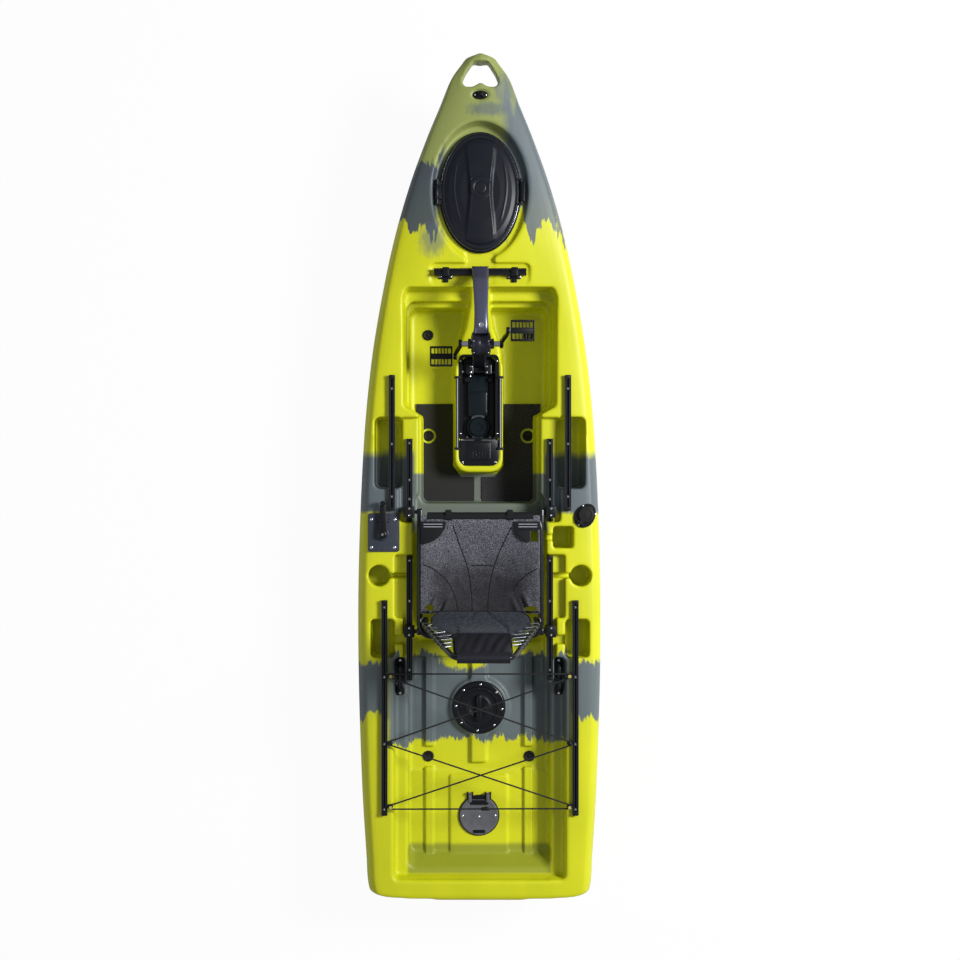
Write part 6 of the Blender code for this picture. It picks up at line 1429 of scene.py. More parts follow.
def drive_leg():
    """The stowed leg: a knuckle, a wide glossy blade-shaped body and the gearbox at its aft end."""
    stations = [(PIVOT[0] + 0.002, PIVOT[1], 0.0163, 0.0138), (PIVOT[0] - 0.028, PIVOT[1], 0.0163, 0.0138),
                (PIVOT[0] - 0.048, PIVOT[1], 0.0328, 0.0168), (0.32, PIVOT[1] - 0.001, 0.0358, 0.0178),
                (0.25, PIVOT[1] - 0.003, 0.0338, 0.0158), (GEARBOX_Y + 0.03, PIVOT[1] - 0.006, 0.027, 0.013)]
    rings = [[(x, y, z + t) for x, t in pill(half_x, half_t, 36, 2.6)]
             for y, z, half_x, half_t in curve_through(stations, 7)]
    build = Build().loft(rings)
    build.turned((-0.0172, PIVOT[0], PIVOT[1]),
                 [(0.015, 0), (0.0155, 0.0006), (0.0155, 0.0338), (0.015, 0.0344)], (1, 0, 0), 36)
    build.turned((-0.0252, PIVOT[0], PIVOT[1]), [(0.0058, 0), (0.0058, 0.0504)], (1, 0, 0), 20)
    build.piece("drive_leg_moulded", "drive_leg", "teal_black", "black_plastic", "drive_leg", smooth=50.0)
    box = Build().turned((0, GEARBOX_Y, 0),
                         [(0.018, 0.0684), (0.031, 0.075), (0.0338, 0.079), (0.0338, 0.116), (0.0325, 0.12),
                          (0.028, 0.1238), (0.0185, 0.1238), (0.0165, 0.1215), (0.01, 0.121), (0.0, 0.1225)],
                         count=56)
    box.piece("gearbox_moulded", "drive_leg", "teal_black", "black_plastic", "gearbox")
    trims = Build()
    trims.turned((0, GEARBOX_Y, 0.1236),
                 [(0.0215, 0), (0.024, 0), (0.024, 0.001), (0.0228, 0.0016), (0.0215, 0.001)], count=48)
    for x, y in ((-0.0215, 0.362), (0.0215, 0.362), (-0.0255, 0.33), (0.0255, 0.33)):
        trims.screw((x, y, PIVOT[1] + 0.0155), 0.0034)
    trims.piece("leg_trims", "drive_leg", "bolt", "steel")


def propeller():
    build = Build().turned((0, GEARBOX_Y, 0),
                           [(0.0, 0.0255), (0.006, 0.0262), (0.011, 0.03), (0.0145, 0.037), (0.016, 0.045),
                            (0.016, 0.067), (0.0152, 0.0678)], count=48)
    stations = [(0.01, 0.018, 42, 0.005), (0.04, 0.04, 34, 0.0045), (0.08, 0.046, 24, 0.0035),
                (0.11, 0.034, 18, 0.003), (0.121, 0.018, 16, 0.0022), (0.1245, 0.006, 16, 0.0014)]
    for sign in (-1, 1):
        rings = []
        for reach, chord, twist, thick in curve_through(stations, 6):
            angle = math.radians(twist)
            along = Vector((sign * math.cos(angle), 0, math.sin(angle)))
            normal = Vector((-sign * math.sin(angle), 0, math.cos(angle)))
            middle = Vector((0, GEARBOX_Y + sign * reach, 0.053))
            rings.append([middle + along * a + normal * n for a, n in pill(chord / 2, thick / 2, 24, 2.0)])
        build.loft(rings)
    build.piece("propeller_moulded", "propeller", "black_plastic", "black_plastic", "propeller", smooth=60.0)


def rudder():
    """A stowed foil under the stern, its edges drawn thin."""
    stations = [(0.046, 0.0004), (0.043, 0.003), (0.036, 0.0056), (0.015, 0.0082), (-0.02, 0.0078),
                (-0.05, 0.0066), (-0.11, 0.0032), (-0.15, 0.0008)]
    profile = curve_through(stations, 5)
    outline = [(w, a) for a, w in profile] + [(-w, a) for a, w in reversed(profile[1:-1])]
    rings = []
    for share, z in ((0.86, 0.0163), (0.885, 0.0185), (0.92, 0.04), (0.97, 0.075), (0.995, 0.0935),
                     (0.985, 0.0957)):
        rings.append([(x, REAR_HATCH_Y + y * share, z) for x, y in outline])
    build = Build().loft(rings)
    build.turned((0, REAR_HATCH_Y, 0), [(0.0105, 0.09), (0.0105, 0.129), (0.0098, 0.1298)], count=32)
    build.block((-0.0058, 0.0058), (REAR_HATCH_Y - 0.0545, REAR_HATCH_Y), (0.1122, 0.1208), 0.003, 0.0006)
    build.piece("rudder_moulded", "rudder", "black_plastic", "black_plastic", "rudder_blade", smooth=50.0)


# Tracks: name, x, y from and to, base height, bolt places
TRACKS = [("front_track", 0.318, -0.11, 0.378, DECK_Z, (0.33, 0.13, -0.06)),
          ("rear_track", 0.345, -1.21, -0.435, DECK_Z, (-0.46, -0.712, -0.954, -1.19)),
          ("seat_rail_front", 0.255, -0.148, 0.15, LEDGE_Z, (0.134, 0.0, -0.07)),
          ("seat_rail_rear", 0.255, -0.726, -0.276, LEDGE_Z, (-0.292, -0.44, -0.69))]


def track_hardware():
    """Bolts down in the tracks' channels, rounded end caps and painted highlight lines along the anodised
    lips.
    """
    for sign, side in SIDES:
        bolts, lips, caps = Build(), Build(), Build()
        for name, x, y0, y1, base, places in TRACKS:
            top = base + 0.0143
            for y in places:
                bolts.screw((sign * x, y, top - 0.0078), 0.0055, 0.004)
                bolts.turned((sign * x, y, top - 0.0042), [(0.0034, 0), (0.0034, 0.0046), (0.0026, 0.0054)],
                             count=16)
            # Thin light grey lines along the lips' tops: painted highlights.
            for edge in (-0.0102, -0.0046, 0.0046, 0.0102):
                lips.tube([(sign * x + edge, y0 + 0.003, top), (sign * x + edge, y1 - 0.003, top)], 0.00055,
                          6)
            if name != "seat_rail_front":
                for y, way in ((y0, 1), (y1, -1)):
                    outline = [(sign * x - 0.0112, y - way * 0.0015), (sign * x + 0.0112, y - way * 0.0015),
                               (sign * x + 0.0112, y + way * 0.012), (sign * x - 0.0112, y + way * 0.012)]
                    caps.slab(rounded(outline, 0.0045, 6), top - 0.0004, top + 0.0022, 0.0009)
        bolts.piece("track_bolts_" + side, "hull", "bolt", "steel")
        lips.piece("track_lips_" + side, "hull", "highlight_and_cord_grey", "black_metal")
        caps.piece("track_caps_" + side, "hull", "black_plastic", "black_plastic")


EYE_X = 0.322
EYE_YS = (-0.707, -0.95, -1.179)


def bungee():
    """One closed loop of elastic cord round the six eyes, laid as the photograph shows."""
    low, high = DECK_Z + 0.0135, DECK_Z + 0.0225
    turn_radius = 0.0069
    stops = [(-1, 0, low, low), (1, 0, low, low), (-1, 1, low, low), (1, 2, low, low), (-1, 2, high, high),
             (1, 1, high, high)]
    count = len(stops)
    points = []
    for i, (sign, row, z_in, z_out) in enumerate(stops):
        here = Vector((sign * EYE_X, EYE_YS[row], 0))
        before = Vector((stops[i - 1][0] * EYE_X, EYE_YS[stops[i - 1][1]], 0))
        after_stop = stops[(i + 1) % count]
        after = Vector((after_stop[0] * EYE_X, EYE_YS[after_stop[1]], 0))
        come, leave = (here - before).normalized(), (after - here).normalized()
        way = 1 if come.x * leave.y - come.y * leave.x > 0 else -1
        normal_in = Vector((come.y, -come.x, 0)) * way
        normal_out = Vector((leave.y, -leave.x, 0)) * way
        start = math.atan2(normal_in.y, normal_in.x)
        swing = (math.atan2(normal_out.y, normal_out.x) - start) % (2 * math.pi)
        if way < 0:
            swing -= 2 * math.pi
        for step in range(17):
            angle = start + swing * step / 16
            points.append((here.x + turn_radius * math.cos(angle), here.y + turn_radius * math.sin(angle),
                           z_in + (z_out - z_in) * step / 16))
    cord = Build().tube(points, 0.0029, 14, closed=True).object("bungee_cord", 80.0)
    piece(cord, "hull", "cord", "bungee")
    eyes, rings = Build(), Build()
    for sign in (-1, 1):
        for row, y in enumerate(EYE_YS):
            x = sign * EYE_X
            eyes.turned((x, y, DECK_Z + 0.0045),
                        [(0.0082, 0), (0.0085, 0.0022), (0.006, 0.0034), (0.0036, 0.0042), (0.0036, 0.022),
                         (0.007, 0.0228), (0.007, 0.0252), (0.0055, 0.0262)], count=28)
            if row != 1:
                rings.turned((x, y, DECK_Z + 0.0303),
                             [(0.0025, 0), (0.0062, 0), (0.0062, 0.0009), (0.0025, 0.0012)], count=24)
    eyes.piece("bungee_eyes", "hull", "satin_black", "black_metal")
    rings.piece("bungee_rings", "hull", "ring", "steel")
    row_y = EYE_YS[2] - turn_radius
    lock = Build()
    lock.turned((0.004, row_y, DECK_Z + 0.018),
                [(0.0042, 0), (0.0062, 0.0012), (0.0066, 0.006), (0.0062, 0.024), (0.005, 0.03),
                 (0.004, 0.032)], (1, 0, 0.014), 22)
    lock.turned((0.022, row_y, DECK_Z + 0.0185),
                [(0.0048, 0), (0.0052, 0.0014), (0.0052, 0.0076), (0.0044, 0.0084)], (0, 1, 0), 20)
    lock.piece("cord_lock", "hull", "black_plastic", "black_plastic")


# Seat
SEAT_TUBE_X = 0.217
SEAT_TUBE_RADIUS = 0.011
SEAT_Z = 0.372
SEAT_FRONT_Y = -0.132
SEAT_REAR_Y = -0.56
CLAMP_YS = (-0.115, -0.545)
PIN_Z = LEDGE_Z + 0.0525
RAIL_X = 0.255
BACK_PIVOT = (-0.5, 0.412)
BACK_TUBE_X = 0.195
BACK_TUBE_RADIUS = 0.0095
BACK_LENGTH = 0.345
BACK_LEAN = math.radians(16)


def seat_frame():
    corners = [(SEAT_TUBE_X, SEAT_REAR_Y, SEAT_Z), (SEAT_TUBE_X, SEAT_FRONT_Y, SEAT_Z),
               (-SEAT_TUBE_X, SEAT_FRONT_Y, SEAT_Z), (-SEAT_TUBE_X, SEAT_REAR_Y, SEAT_Z)]
    build = Build().tube(soft_route(corners, 0.05, 12, closed=True), SEAT_TUBE_RADIUS, 24, closed=True)
    for sign in (-1, 1):
        for y in CLAMP_YS:
            behind = 0.08 if y == CLAMP_YS[0] else 0.012
            drop = rounded(rect(y - behind, y + 0.012, PIN_Z - 0.01, SEAT_Z), 0.006, 5)
            build.plate(drop, (sign * (SEAT_TUBE_X - 0.008), sign * (SEAT_TUBE_X + 0.0105)), 0.001)
            build.turned((sign * SEAT_TUBE_X, y, PIN_Z), [(0.0069, 0.0), (0.0069, 0.0575), (0.0058, 0.0588)],
                         (sign, 0, 0), 24)
        y, z = BACK_PIVOT
        ear = rounded([(y - 0.022, SEAT_Z), (y + 0.022, SEAT_Z), (y + 0.014, z + 0.014),
                       (y - 0.014, z + 0.014)], 0.01, 8)
        build.plate(ear, (sign * (BACK_TUBE_X + 0.0113), sign * (BACK_TUBE_X + 0.0163)), 0.0008)
    build.piece("seat_frame_tubes", "seat", "frame_metal", "black_metal", "seat_frame", smooth=50.0)
    bolts = Build()
    for sign in (-1, 1):
        bolts.screw((sign * (BACK_TUBE_X + 0.0163), *BACK_PIVOT), 0.0075, 0.0036, (sign, 0, 0))
        for y in CLAMP_YS:
            bolts.screw((sign * RAIL_X, y - 0.012, PIN_Z + 0.0123), 0.004, 0.0022)
            bolts.screw((sign * RAIL_X, y + 0.012, PIN_Z + 0.0123), 0.004, 0.0022)
    bolts.piece("seat_bolts", "seat", "bolt", "steel")
    for sign, side in SIDES:
        for y, end in ((CLAMP_YS[0], "front"), (CLAMP_YS[1], "rear")):
            low = LEDGE_Z + 0.0146
            x = sign * RAIL_X
            clamp = Build().block((x - 0.0188, x + 0.0188), (y - 0.0208, y + 0.0208), (low, PIN_Z + 0.0124),
                                  0.0055, 0.0016, 6)
            clamp.turned((x + sign * 0.0186, y, PIN_Z),
                         [(0.0125, 0), (0.0125, 0.0012), (0.011, 0.0022), (0.0085, 0.0022)], (sign, 0, 0),
                         28)
            clamp.block((x - 0.0215, x - 0.0186), (y - 0.012, y + 0.012), (low, low + 0.016), 0.001, 0.0004)
            name = "seat_clamp_%s_%s" % (end, side)
            clamp.piece(name + "_moulded", "seat", "black_plastic", "black_plastic", name)


SLING_FRONT_Y = SEAT_FRONT_Y + 0.006
SLING_REAR_Y = SEAT_REAR_Y + 0.082
SLING_HALF = SEAT_TUBE_X - 0.0035
# Openings in the seat's cloth: centre, half sizes, and whether their corners are square
CLOTH_GAPS = [((0.1935, -0.2015), (0.0145, 0.0205), True), ((-0.182, -0.457), (0.015, 0.012), False),
              ((0.182, -0.461), (0.0215, 0.0095), False)]


def sling_point(u, v):
    """The stretched cloth's middle: u is -1 to 1 across, v is 0 at the front tube and 1 at the rear hem."""
    y = SLING_FRONT_Y + (SLING_REAR_Y - SLING_FRONT_Y) * v
    x = SLING_HALF * u
    share = min(abs(x) / (SEAT_TUBE_X - 0.016), 1.0)
    fall = eased(v, 0.05, 0.35) * (1 - 0.3 * eased(v, 0.72, 0.28))
    z = SEAT_Z + SEAT_TUBE_RADIUS + 0.0022 - 0.0335 * fall * (1 - share ** 2) ** 1.2
    pull = (1 - share) * fall
    fold = 0.0022 * math.sin(26 * x + 9 * v) * math.sin(3.1 * v + 0.4) * pull
    corner = eased(v, 0.74, 0.2) * eased(share, 0.5, 0.25)
    corner *= 1 - eased(share, 0.9, 0.08)
    crease = 0.0075 * math.sin(120 * (abs(x) * 0.9 + (1 - v) * 0.15)) * corner
    crease += 0.0035 * math.sin(260 * abs(x) - 40 * v) * corner
    seat_bones = -0.004 * math.exp(-(((abs(x) - 0.075) / 0.05) ** 2 + ((v - 0.62) / 0.22) ** 2))
    return Vector((x, y, z + fold + crease + seat_bones * fall))


def in_cloth_gap(place):
    for (cx, cy), (half_x, half_y), square in CLOTH_GAPS:
        dx, dy = abs(place.x - cx) / half_x, abs(place.y - cy) / half_y
        if (max(dx, dy) if square else math.hypot(dx, dy)) < 1:
            return True
    return False


def sheet_mesh(point, columns, rows, thickness, gap=None):
    """A thin closed cloth between two offset copies of a surface, with walls round its openings."""
    top, bottom = [], []
    for j in range(rows + 1):
        for i in range(columns + 1):
            u, v = 2 * i / columns - 1, j / rows
            middle = point(u, v)
            step = 1e-3
            du = point(min(u + step, 1.0), v) - point(max(u - step, -1.0), v)
            dv = point(u, min(v + step, 1.0)) - point(u, max(v - step, 0.0))
            normal = du.cross(dv).normalized()
            top.append(middle + normal * thickness / 2)
            bottom.append(middle - normal * thickness / 2)
    wide, offset = columns + 1, len(top)
    faces, edges = [], set()
    for j in range(rows):
        for i in range(columns):
            a = j * wide + i
            corners = (a, a + 1, a + 1 + wide, a + wide)
            if gap and gap((top[a] + top[a + 1 + wide]) / 2):
                continue
            faces += [corners, tuple(offset + c for c in reversed(corners))]
            edges |= {(corners[k], corners[(k + 1) % 4]) for k in range(4)}
    faces += [(b, a, offset + a, offset + b) for a, b in sorted(edges) if (b, a) not in edges]
    used = sorted({v for face in faces for v in face})
    number = {v: k for k, v in enumerate(used)}
    both = top + bottom
    return Build().add([both[v] for v in used], [tuple(number[v] for v in face) for face in faces])


def on_cloth(point, route, lift, samples=26):
    """Points along a smooth route given in the cloth's own u and v, lifted off it."""
    out = []
    for u, v in curve_through([tuple(r) for r in route], max(2, samples // len(route))):
        out.append(point(float(np.clip(u, -1, 1)), float(np.clip(v, 0, 1))) + Vector((0, 0, lift)))
    return out


def seat_sling():
    cloth = sheet_mesh(sling_point, 128, 104, 0.0018, in_cloth_gap).object("seat_mesh_cloth", 75.0)
    piece(cloth, "seat", "mesh", "seat_sling")
    seams = Build()
    centre_left = [(-0.46, 0.1), (-0.36, 0.28), (-0.22, 0.52), (-0.15, 0.76), (-0.13, 0.99)]
    centre_right = [(0.52, 0.12), (0.36, 0.33), (0.22, 0.56), (0.15, 0.78), (0.13, 0.99)]
    side_left = [(-0.96, 0.5), (-0.76, 0.56), (-0.55, 0.68), (-0.42, 0.84), (-0.37, 0.99)]
    side_right = [(0.96, 0.54), (0.8, 0.6), (0.62, 0.7), (0.56, 0.78)]
    across = [(-0.16, 0.52), (0.0, 0.515), (0.22, 0.52)]
    for route in (centre_left, centre_right, side_left, side_right, across):
        seams.tube(on_cloth(sling_point, route, 0.001), 0.0021, 8, flat=0.45)
    hem = [(-0.985, 0.985), (-0.5, 0.988), (0.0, 0.99), (0.5, 0.988), (0.985, 0.985)]
    seams.tube(on_cloth(sling_point, hem, 0.0002, 60), 0.0042, 10, flat=0.5)
    seams.piece("sling_seams", "seat", "cloth_edge", "mesh_fabric", smooth=60.0)
    front_sleeve()
    seat_gussets()


def front_sleeve():
    """The black sleeve over the front tube and its two straps."""
    build = Build()
    for x0, x1, inner, outer in ((-0.19, 0.19, 0.0125, 0.0165), (-0.128, -0.101, 0.0168, 0.019),
                                 (0.092, 0.119, 0.0168, 0.019)):
        rings = []
        for x, radius in ((x0, inner), (x0, outer), (x1, outer), (x1, inner)):
            rings.append([(x, SEAT_FRONT_Y + radius * math.cos(a), SEAT_Z + radius * math.sin(a))
                          for a in turns(40)])
        build.loft(rings, closed=True)
    for x in (-0.1145, 0.1055):
        build.block((x - 0.011, x + 0.011), (SEAT_FRONT_Y + 0.004, SEAT_FRONT_Y + 0.026),
                    (SEAT_Z + 0.015, SEAT_Z + 0.02), 0.003, 0.001)
    build.piece("sling_straps", "seat", "cloth_edge", "mesh_fabric", smooth=60.0)


def seat_gussets():
    """Black corner pieces at the front, the right one open over the hull, with two painted highlight lines
    each.
    """
    gussets, lines = Build(), Build()
    z = SEAT_Z + SEAT_TUBE_RADIUS
    left = [(-0.214, -0.148), (-0.214, -0.23), (-0.196, -0.229), (-0.168, -0.219), (-0.144, -0.2),
            (-0.128, -0.176), (-0.12, -0.148)]
    gussets.slab(rounded(left, 0.006, 4), z + 0.0042, z + 0.0082, 0.0012)
    gussets.block((0.118, 0.214), (-0.179, -0.148), (z + 0.0042, z + 0.0082), 0.005, 0.0012, 4)
    inside = [(0.119, -0.1795), (0.1775, -0.1795), (0.1775, -0.224), (0.16, -0.22), (0.14, -0.206),
              (0.126, -0.192)]
    gussets.slab(rounded(inside, 0.004, 4), z + 0.0042, z + 0.008, 0.0012)
    # Two light grey lines across each gusset: painted highlights.
    for sign in (-1, 1):
        for y in (-0.158, -0.1675):
            lines.tube([(sign * 0.136, y, z + 0.0084), (sign * 0.203, y, z + 0.0084)], 0.0014, 8)
    gussets.piece("seat_gussets", "seat", "cloth_edge", "mesh_fabric")
    lines.piece("gusset_lines", "seat", "piping", "mesh_fabric")


BACK_SHOULDER = 0.06
BACK_TOP_X = 0.098
BACK_LOW, BACK_HIGH = 0.002, 0.33
FLAP_LOW = 0.16
HOOP_RADIUS = 0.0112
FLAP_HALF = 0.095


def back_point(x, reach, off=0.0):
    return Vector((x, BACK_PIVOT[0] - math.sin(BACK_LEAN) * reach + math.cos(BACK_LEAN) * off,
                   BACK_PIVOT[1] + math.cos(BACK_LEAN) * reach + math.sin(BACK_LEAN) * off))


def tube_x(reach):
    slope = (BACK_TUBE_X - BACK_TOP_X) / (BACK_LENGTH - BACK_SHOULDER)
    return BACK_TUBE_X - slope * max(reach - BACK_SHOULDER, 0.0)


def back_frame():
    right = [back_point(BACK_TOP_X, BACK_LENGTH), back_point(BACK_TUBE_X, BACK_SHOULDER),
             back_point(BACK_TUBE_X, -0.012)]
    corners = [(-x, y, z) for x, y, z in reversed(right)] + right
    build = Build().tube(soft_route(corners, 0.055, 18), BACK_TUBE_RADIUS, 22)
    for sign in (-1, 1):
        build.turned((sign * BACK_TUBE_X, *BACK_PIVOT), [(0.0059, 0.0), (0.0059, 0.0155), (0.005, 0.0164)],
                     (sign, 0, 0), 20)
    build.piece("back_frame_tube", "backrest", "frame_metal", "black_metal", "back_frame")


def back_panel_size(reach):
    """Half width of the padded panel at a height up the backrest."""
    wide = 0.174 - 0.076 * eased(reach, 0.06, 0.115)
    low_corner = 0.03 * max(1 - (reach - BACK_LOW) / 0.035, 0.0) ** 2
    return min(wide, tube_x(reach) - 0.0185) - low_corner


def lumbar(reach):
    """How far the panel's lower part curves forwards, over the seat's rear hem."""
    return 0.036 * max(1 - reach / 0.11, 0.0) ** 2


def back_swell(side, reach, face):
    """How far the padding stands off its middle surface, with its sewn channels."""
    v = (2 * reach - BACK_LOW - BACK_HIGH) / (BACK_HIGH - BACK_LOW)
    swell = 0.0022 + 0.0105 * (1 - side ** 4) * (1 - abs(v) ** 4)
    across = abs(side)
    level = bell(reach, FLAP_LOW, 0.0052)
    vee = bell(across - 0.06, reach * 5.0, 0.05) if reach < FLAP_LOW else 0.0
    sewn = max(level, vee * 0.9 if face > 0 else 0.0)
    return swell * (1 - 0.62 * sewn)


def back_pad():
    columns, rows = 84, 66
    mid_reach, half_reach = (BACK_LOW + BACK_HIGH) / 2, (BACK_HIGH - BACK_LOW) / 2
    verts, faces = [], []
    for face in (1, -1):
        for j in range(rows + 1):
            v = 2 * j / rows - 1
            reach = mid_reach + half_reach * math.copysign(abs(v) ** 0.85, v)
            wide = back_panel_size(reach)
            for i in range(columns + 1):
                u = 2 * i / columns - 1
                side = math.copysign(abs(u) ** 0.85, u)
                pucker = 0.001 * math.sin(side * 40 + reach * 61) * math.sin(reach * 90 - side * 9)
                pucker *= 1 - side ** 4
                off = lumbar(reach) + face * (back_swell(side, reach, face) + pucker)
                verts.append(back_point(side * wide, reach, off))
    wide = columns + 1
    offset = wide * (rows + 1)
    for j in range(rows):
        for i in range(columns):
            a = j * wide + i
            faces.append((a, a + 1, a + 1 + wide, a + wide))
            faces.append((offset + a, offset + a + wide, offset + a + 1 + wide, offset + a + 1))
    edge = list(range(wide)) + [j * wide + columns for j in range(1, rows + 1)]
    edge += [rows * wide + i for i in range(columns - 1, -1, -1)]
    edge += [j * wide for j in range(rows - 1, 0, -1)]
    faces += [(a, offset + a, offset + b, b) for a, b in zip(edge, edge[1:] + edge[:1])]
    pad = new_object("back_pad", verts, faces, 75.0)
    plump(pad, 0.0016)
    piece(pad, "backrest", "quilt", "back_sling")


def plump(pad, cap):
    """A short cloth simulation under pressure wrinkles the cover; no point may move further than the cap."""
    rest = np.empty(len(pad.data.vertices) * 3, np.float32)
    pad.data.vertices.foreach_get("co", rest)
    cloth = pad.modifiers.new("cloth", "CLOTH")
    cloth.settings.quality = 5
    cloth.settings.use_pressure = True
    cloth.settings.uniform_pressure_force = 4.0
    cloth.settings.effector_weights.gravity = 0.0
    cloth.settings.tension_stiffness = 12.0
    cloth.settings.compression_stiffness = 6.0
    cloth.settings.shrink_min = -0.02
    scene = bpy.context.scene
    for step in range(1, 13):
        scene.frame_set(step)
    shape = pad.evaluated_get(bpy.context.evaluated_depsgraph_get()).to_mesh()
    moved = np.empty_like(rest)
    shape.vertices.foreach_get("co", moved)
    pad.evaluated_get(bpy.context.evaluated_depsgraph_get()).to_mesh_clear()
    pad.modifiers.remove(cloth)
    scene.frame_set(1)
    shift = (moved - rest).reshape(-1, 3)
    length = np.linalg.norm(shift, axis=1, keepdims=True)
    shift *= np.minimum(1.0, cap / np.maximum(length, 1e-9))
    pad.data.vertices.foreach_set("co", (rest.reshape(-1, 3) + shift).ravel())
    pad.data.update()


def on_pad(x, reach, lift):
    side = max(-1.0, min(1.0, x / back_panel_size(reach)))
    return back_point(x, reach, lumbar(reach) + back_swell(side, reach, 1) + lift)


def back_trims():
    """The piping above the panel, its V seams, the edge binding and the lacing to the tubes."""
    piping, seams = Build(), Build()
    half = back_panel_size(FLAP_LOW) - 0.002
    piping.tube([on_pad(-half + half * k / 20, FLAP_LOW, 0.0016) for k in range(41)], 0.002, 8)
    for route in ([(-0.012, 0.006), (-0.03, 0.05), (-0.058, 0.105), (-0.092, 0.152)],
                  [(0.028, 0.006), (0.04, 0.04), (0.062, 0.085), (0.078, 0.11)],
                  [(-0.15, 0.046), (-0.09, 0.038), (-0.03, 0.03)]):
        seams.tube([on_pad(x, r, 0.0004) for x, r in curve_through(route, 8)], 0.0019, 8, flat=0.6)
    levels = [BACK_LOW + (BACK_HIGH - BACK_LOW) * k / 59 for k in range(60)]
    loop = [back_point(-back_panel_size(r), r, lumbar(r)) for r in levels]
    loop += [back_point(back_panel_size(r), r, lumbar(r)) for r in reversed(levels)]
    seams.tube(loop, 0.003, 10, closed=True)
    lacing = Build()
    for sign in (-1, 1):
        zigzag = []
        for k in range(15):
            reach = 0.055 + 0.0155 * k
            at_tube = k % 2 == 0
            x = tube_x(reach) + 0.006 if at_tube else back_panel_size(reach) - 0.004
            zigzag.append(back_point(sign * x, reach, lumbar(reach) * (0.0 if at_tube else 1.0) + 0.0108))
        lacing.tube(soft_route(zigzag, 0.004, 4), 0.0015, 8)
        for k in range(7):
            reach = 0.055 + 0.031 * k
            hoop = []
            for a in turns(20):
                x = tube_x(reach) + HOOP_RADIUS * math.cos(a)
                hoop.append(back_point(sign * x, reach, HOOP_RADIUS * math.sin(a)))
            lacing.tube(hoop, 0.0014, 8, closed=True)
    piping.piece("back_piping", "backrest", "piping", "padded_fabric")
    seams.piece("back_binding", "backrest", "cloth_edge", "padded_fabric", smooth=60.0)
    lacing.piece("back_lacing", "backrest", "highlight_and_cord_grey", "elastic_cord")


def back_flap():
    """A wrinkled black pocket cloth over the upper front, folded over the top tube and hanging behind it."""
    front = BACK_LENGTH - FLAP_LOW
    clear = BACK_TUBE_RADIUS + 0.0045
    fold = math.pi * clear
    hang = 0.045
    length = front + fold + hang

    def point(u, v):
        run = length * v
        wrinkle = 0.003 * math.sin(u * 6.0 + 1.3) * math.sin(v * 8.0 + u)
        wrinkle += 0.0016 * math.sin(u * 17.0 + v * 12.0)
        x = FLAP_HALF * u * (1 + 0.05 * math.cos(4.0 * v) - 0.02)
        if run < front:
            puff = 0.005 * math.sin(math.pi * min(run / front, 1.0)) * (1 - u ** 4)
            ease = eased(run, 0, 0.03) * (1 - eased(run - front, -0.03, 0.03))
            return back_point(x, FLAP_LOW + run, clear + 0.0016 + puff + wrinkle * ease)
        if run < front + fold:
            angle = math.pi * (run - front) / fold
            return back_point(x, BACK_LENGTH + clear * math.sin(angle), (clear + 0.0016) * math.cos(angle))
        down = run - front - fold
        return back_point(x, BACK_LENGTH - down,
                          -clear - 0.0016 - 0.004 * down / hang * (1 + math.sin(7 * u)))

    flap = sheet_mesh(point, 60, 80, 0.0015).object("back_flap", 75.0)
    piece(flap, "backrest", "flap")


# Deck fittings
HATCH_SEAT_Z = 0.214
PLATE_TOP_Z = DECK_Z + 0.0045
LEVER_PIVOT = (-0.351, -0.196)
LEVER_LENGTH = 0.112
ROD_CENTRE = (0.383, -0.125)
ROD_TURN = math.radians(-35)


def deck_hatch():
    low = HATCH_SEAT_Z + 0.0003
    ring = Build().turned((0, DECK_HATCH_Y, low),
                          [(0.066, 0.0), (0.0965, 0.0), (0.098, 0.0012), (0.098, 0.0058), (0.0966, 0.0078),
                           (0.0925, 0.0108), (0.0905, 0.011), (0.0775, 0.011), (0.0755, 0.01),
                           (0.0755, 0.004), (0.066, 0.004)], count=88, closed=True)
    ring.piece("deck_hatch_ring_moulded", "hull", "satin_black", "black_plastic", "deck_hatch_ring")
    screws = Build()
    for a in turns(8):
        a += math.radians(4)
        screws.screw((0.0855 * math.sin(a), DECK_HATCH_Y + 0.0855 * math.cos(a), low + 0.0108), 0.004)
    screws.piece("deck_hatch_screws", "hull", "bolt", "steel")
    lid = Build().turned((0, DECK_HATCH_Y, low),
                         [(0.0, 0.0018), (0.065, 0.0018), (0.065, 0.0045), (0.0735, 0.0045), (0.0749, 0.006),
                          (0.0749, 0.0108), (0.074, 0.0122), (0.07, 0.013), (0.067, 0.0126), (0.065, 0.0096),
                          (0.06, 0.0088), (0.042, 0.0092), (0.04, 0.0106), (0.037, 0.0106), (0.035, 0.0092),
                          (0.0, 0.0094)], count=88)
    for a in turns(12):
        middle = Vector((0.0705 * math.cos(a), DECK_HATCH_Y + 0.0705 * math.sin(a), low + 0.0126))
        lid.turned(middle, [(0.0022, 0.0), (0.002, 0.0012), (0.0012, 0.0016)], count=12)
    outline = []
    for a in turns(64):
        reach = 0.048 * abs(math.sin(a)) ** 0.9
        outline.append((0.0125 * math.copysign(abs(math.cos(a)) ** 0.55,
                                               math.cos(a)) * (0.72 + 0.28 * abs(math.sin(a))),
                        DECK_HATCH_Y + math.copysign(reach, math.sin(a))))
    lid.slab(outline, low + 0.0085, low + 0.0258, 0.003)
    lid.piece("deck_hatch_lid_moulded", "deck_hatch_lid", "satin_black", "black_plastic", "deck_hatch_lid")


REAR_HINGE_Y = REAR_HATCH_Y + 0.0822
REAR_HINGE_Z = 0.2265


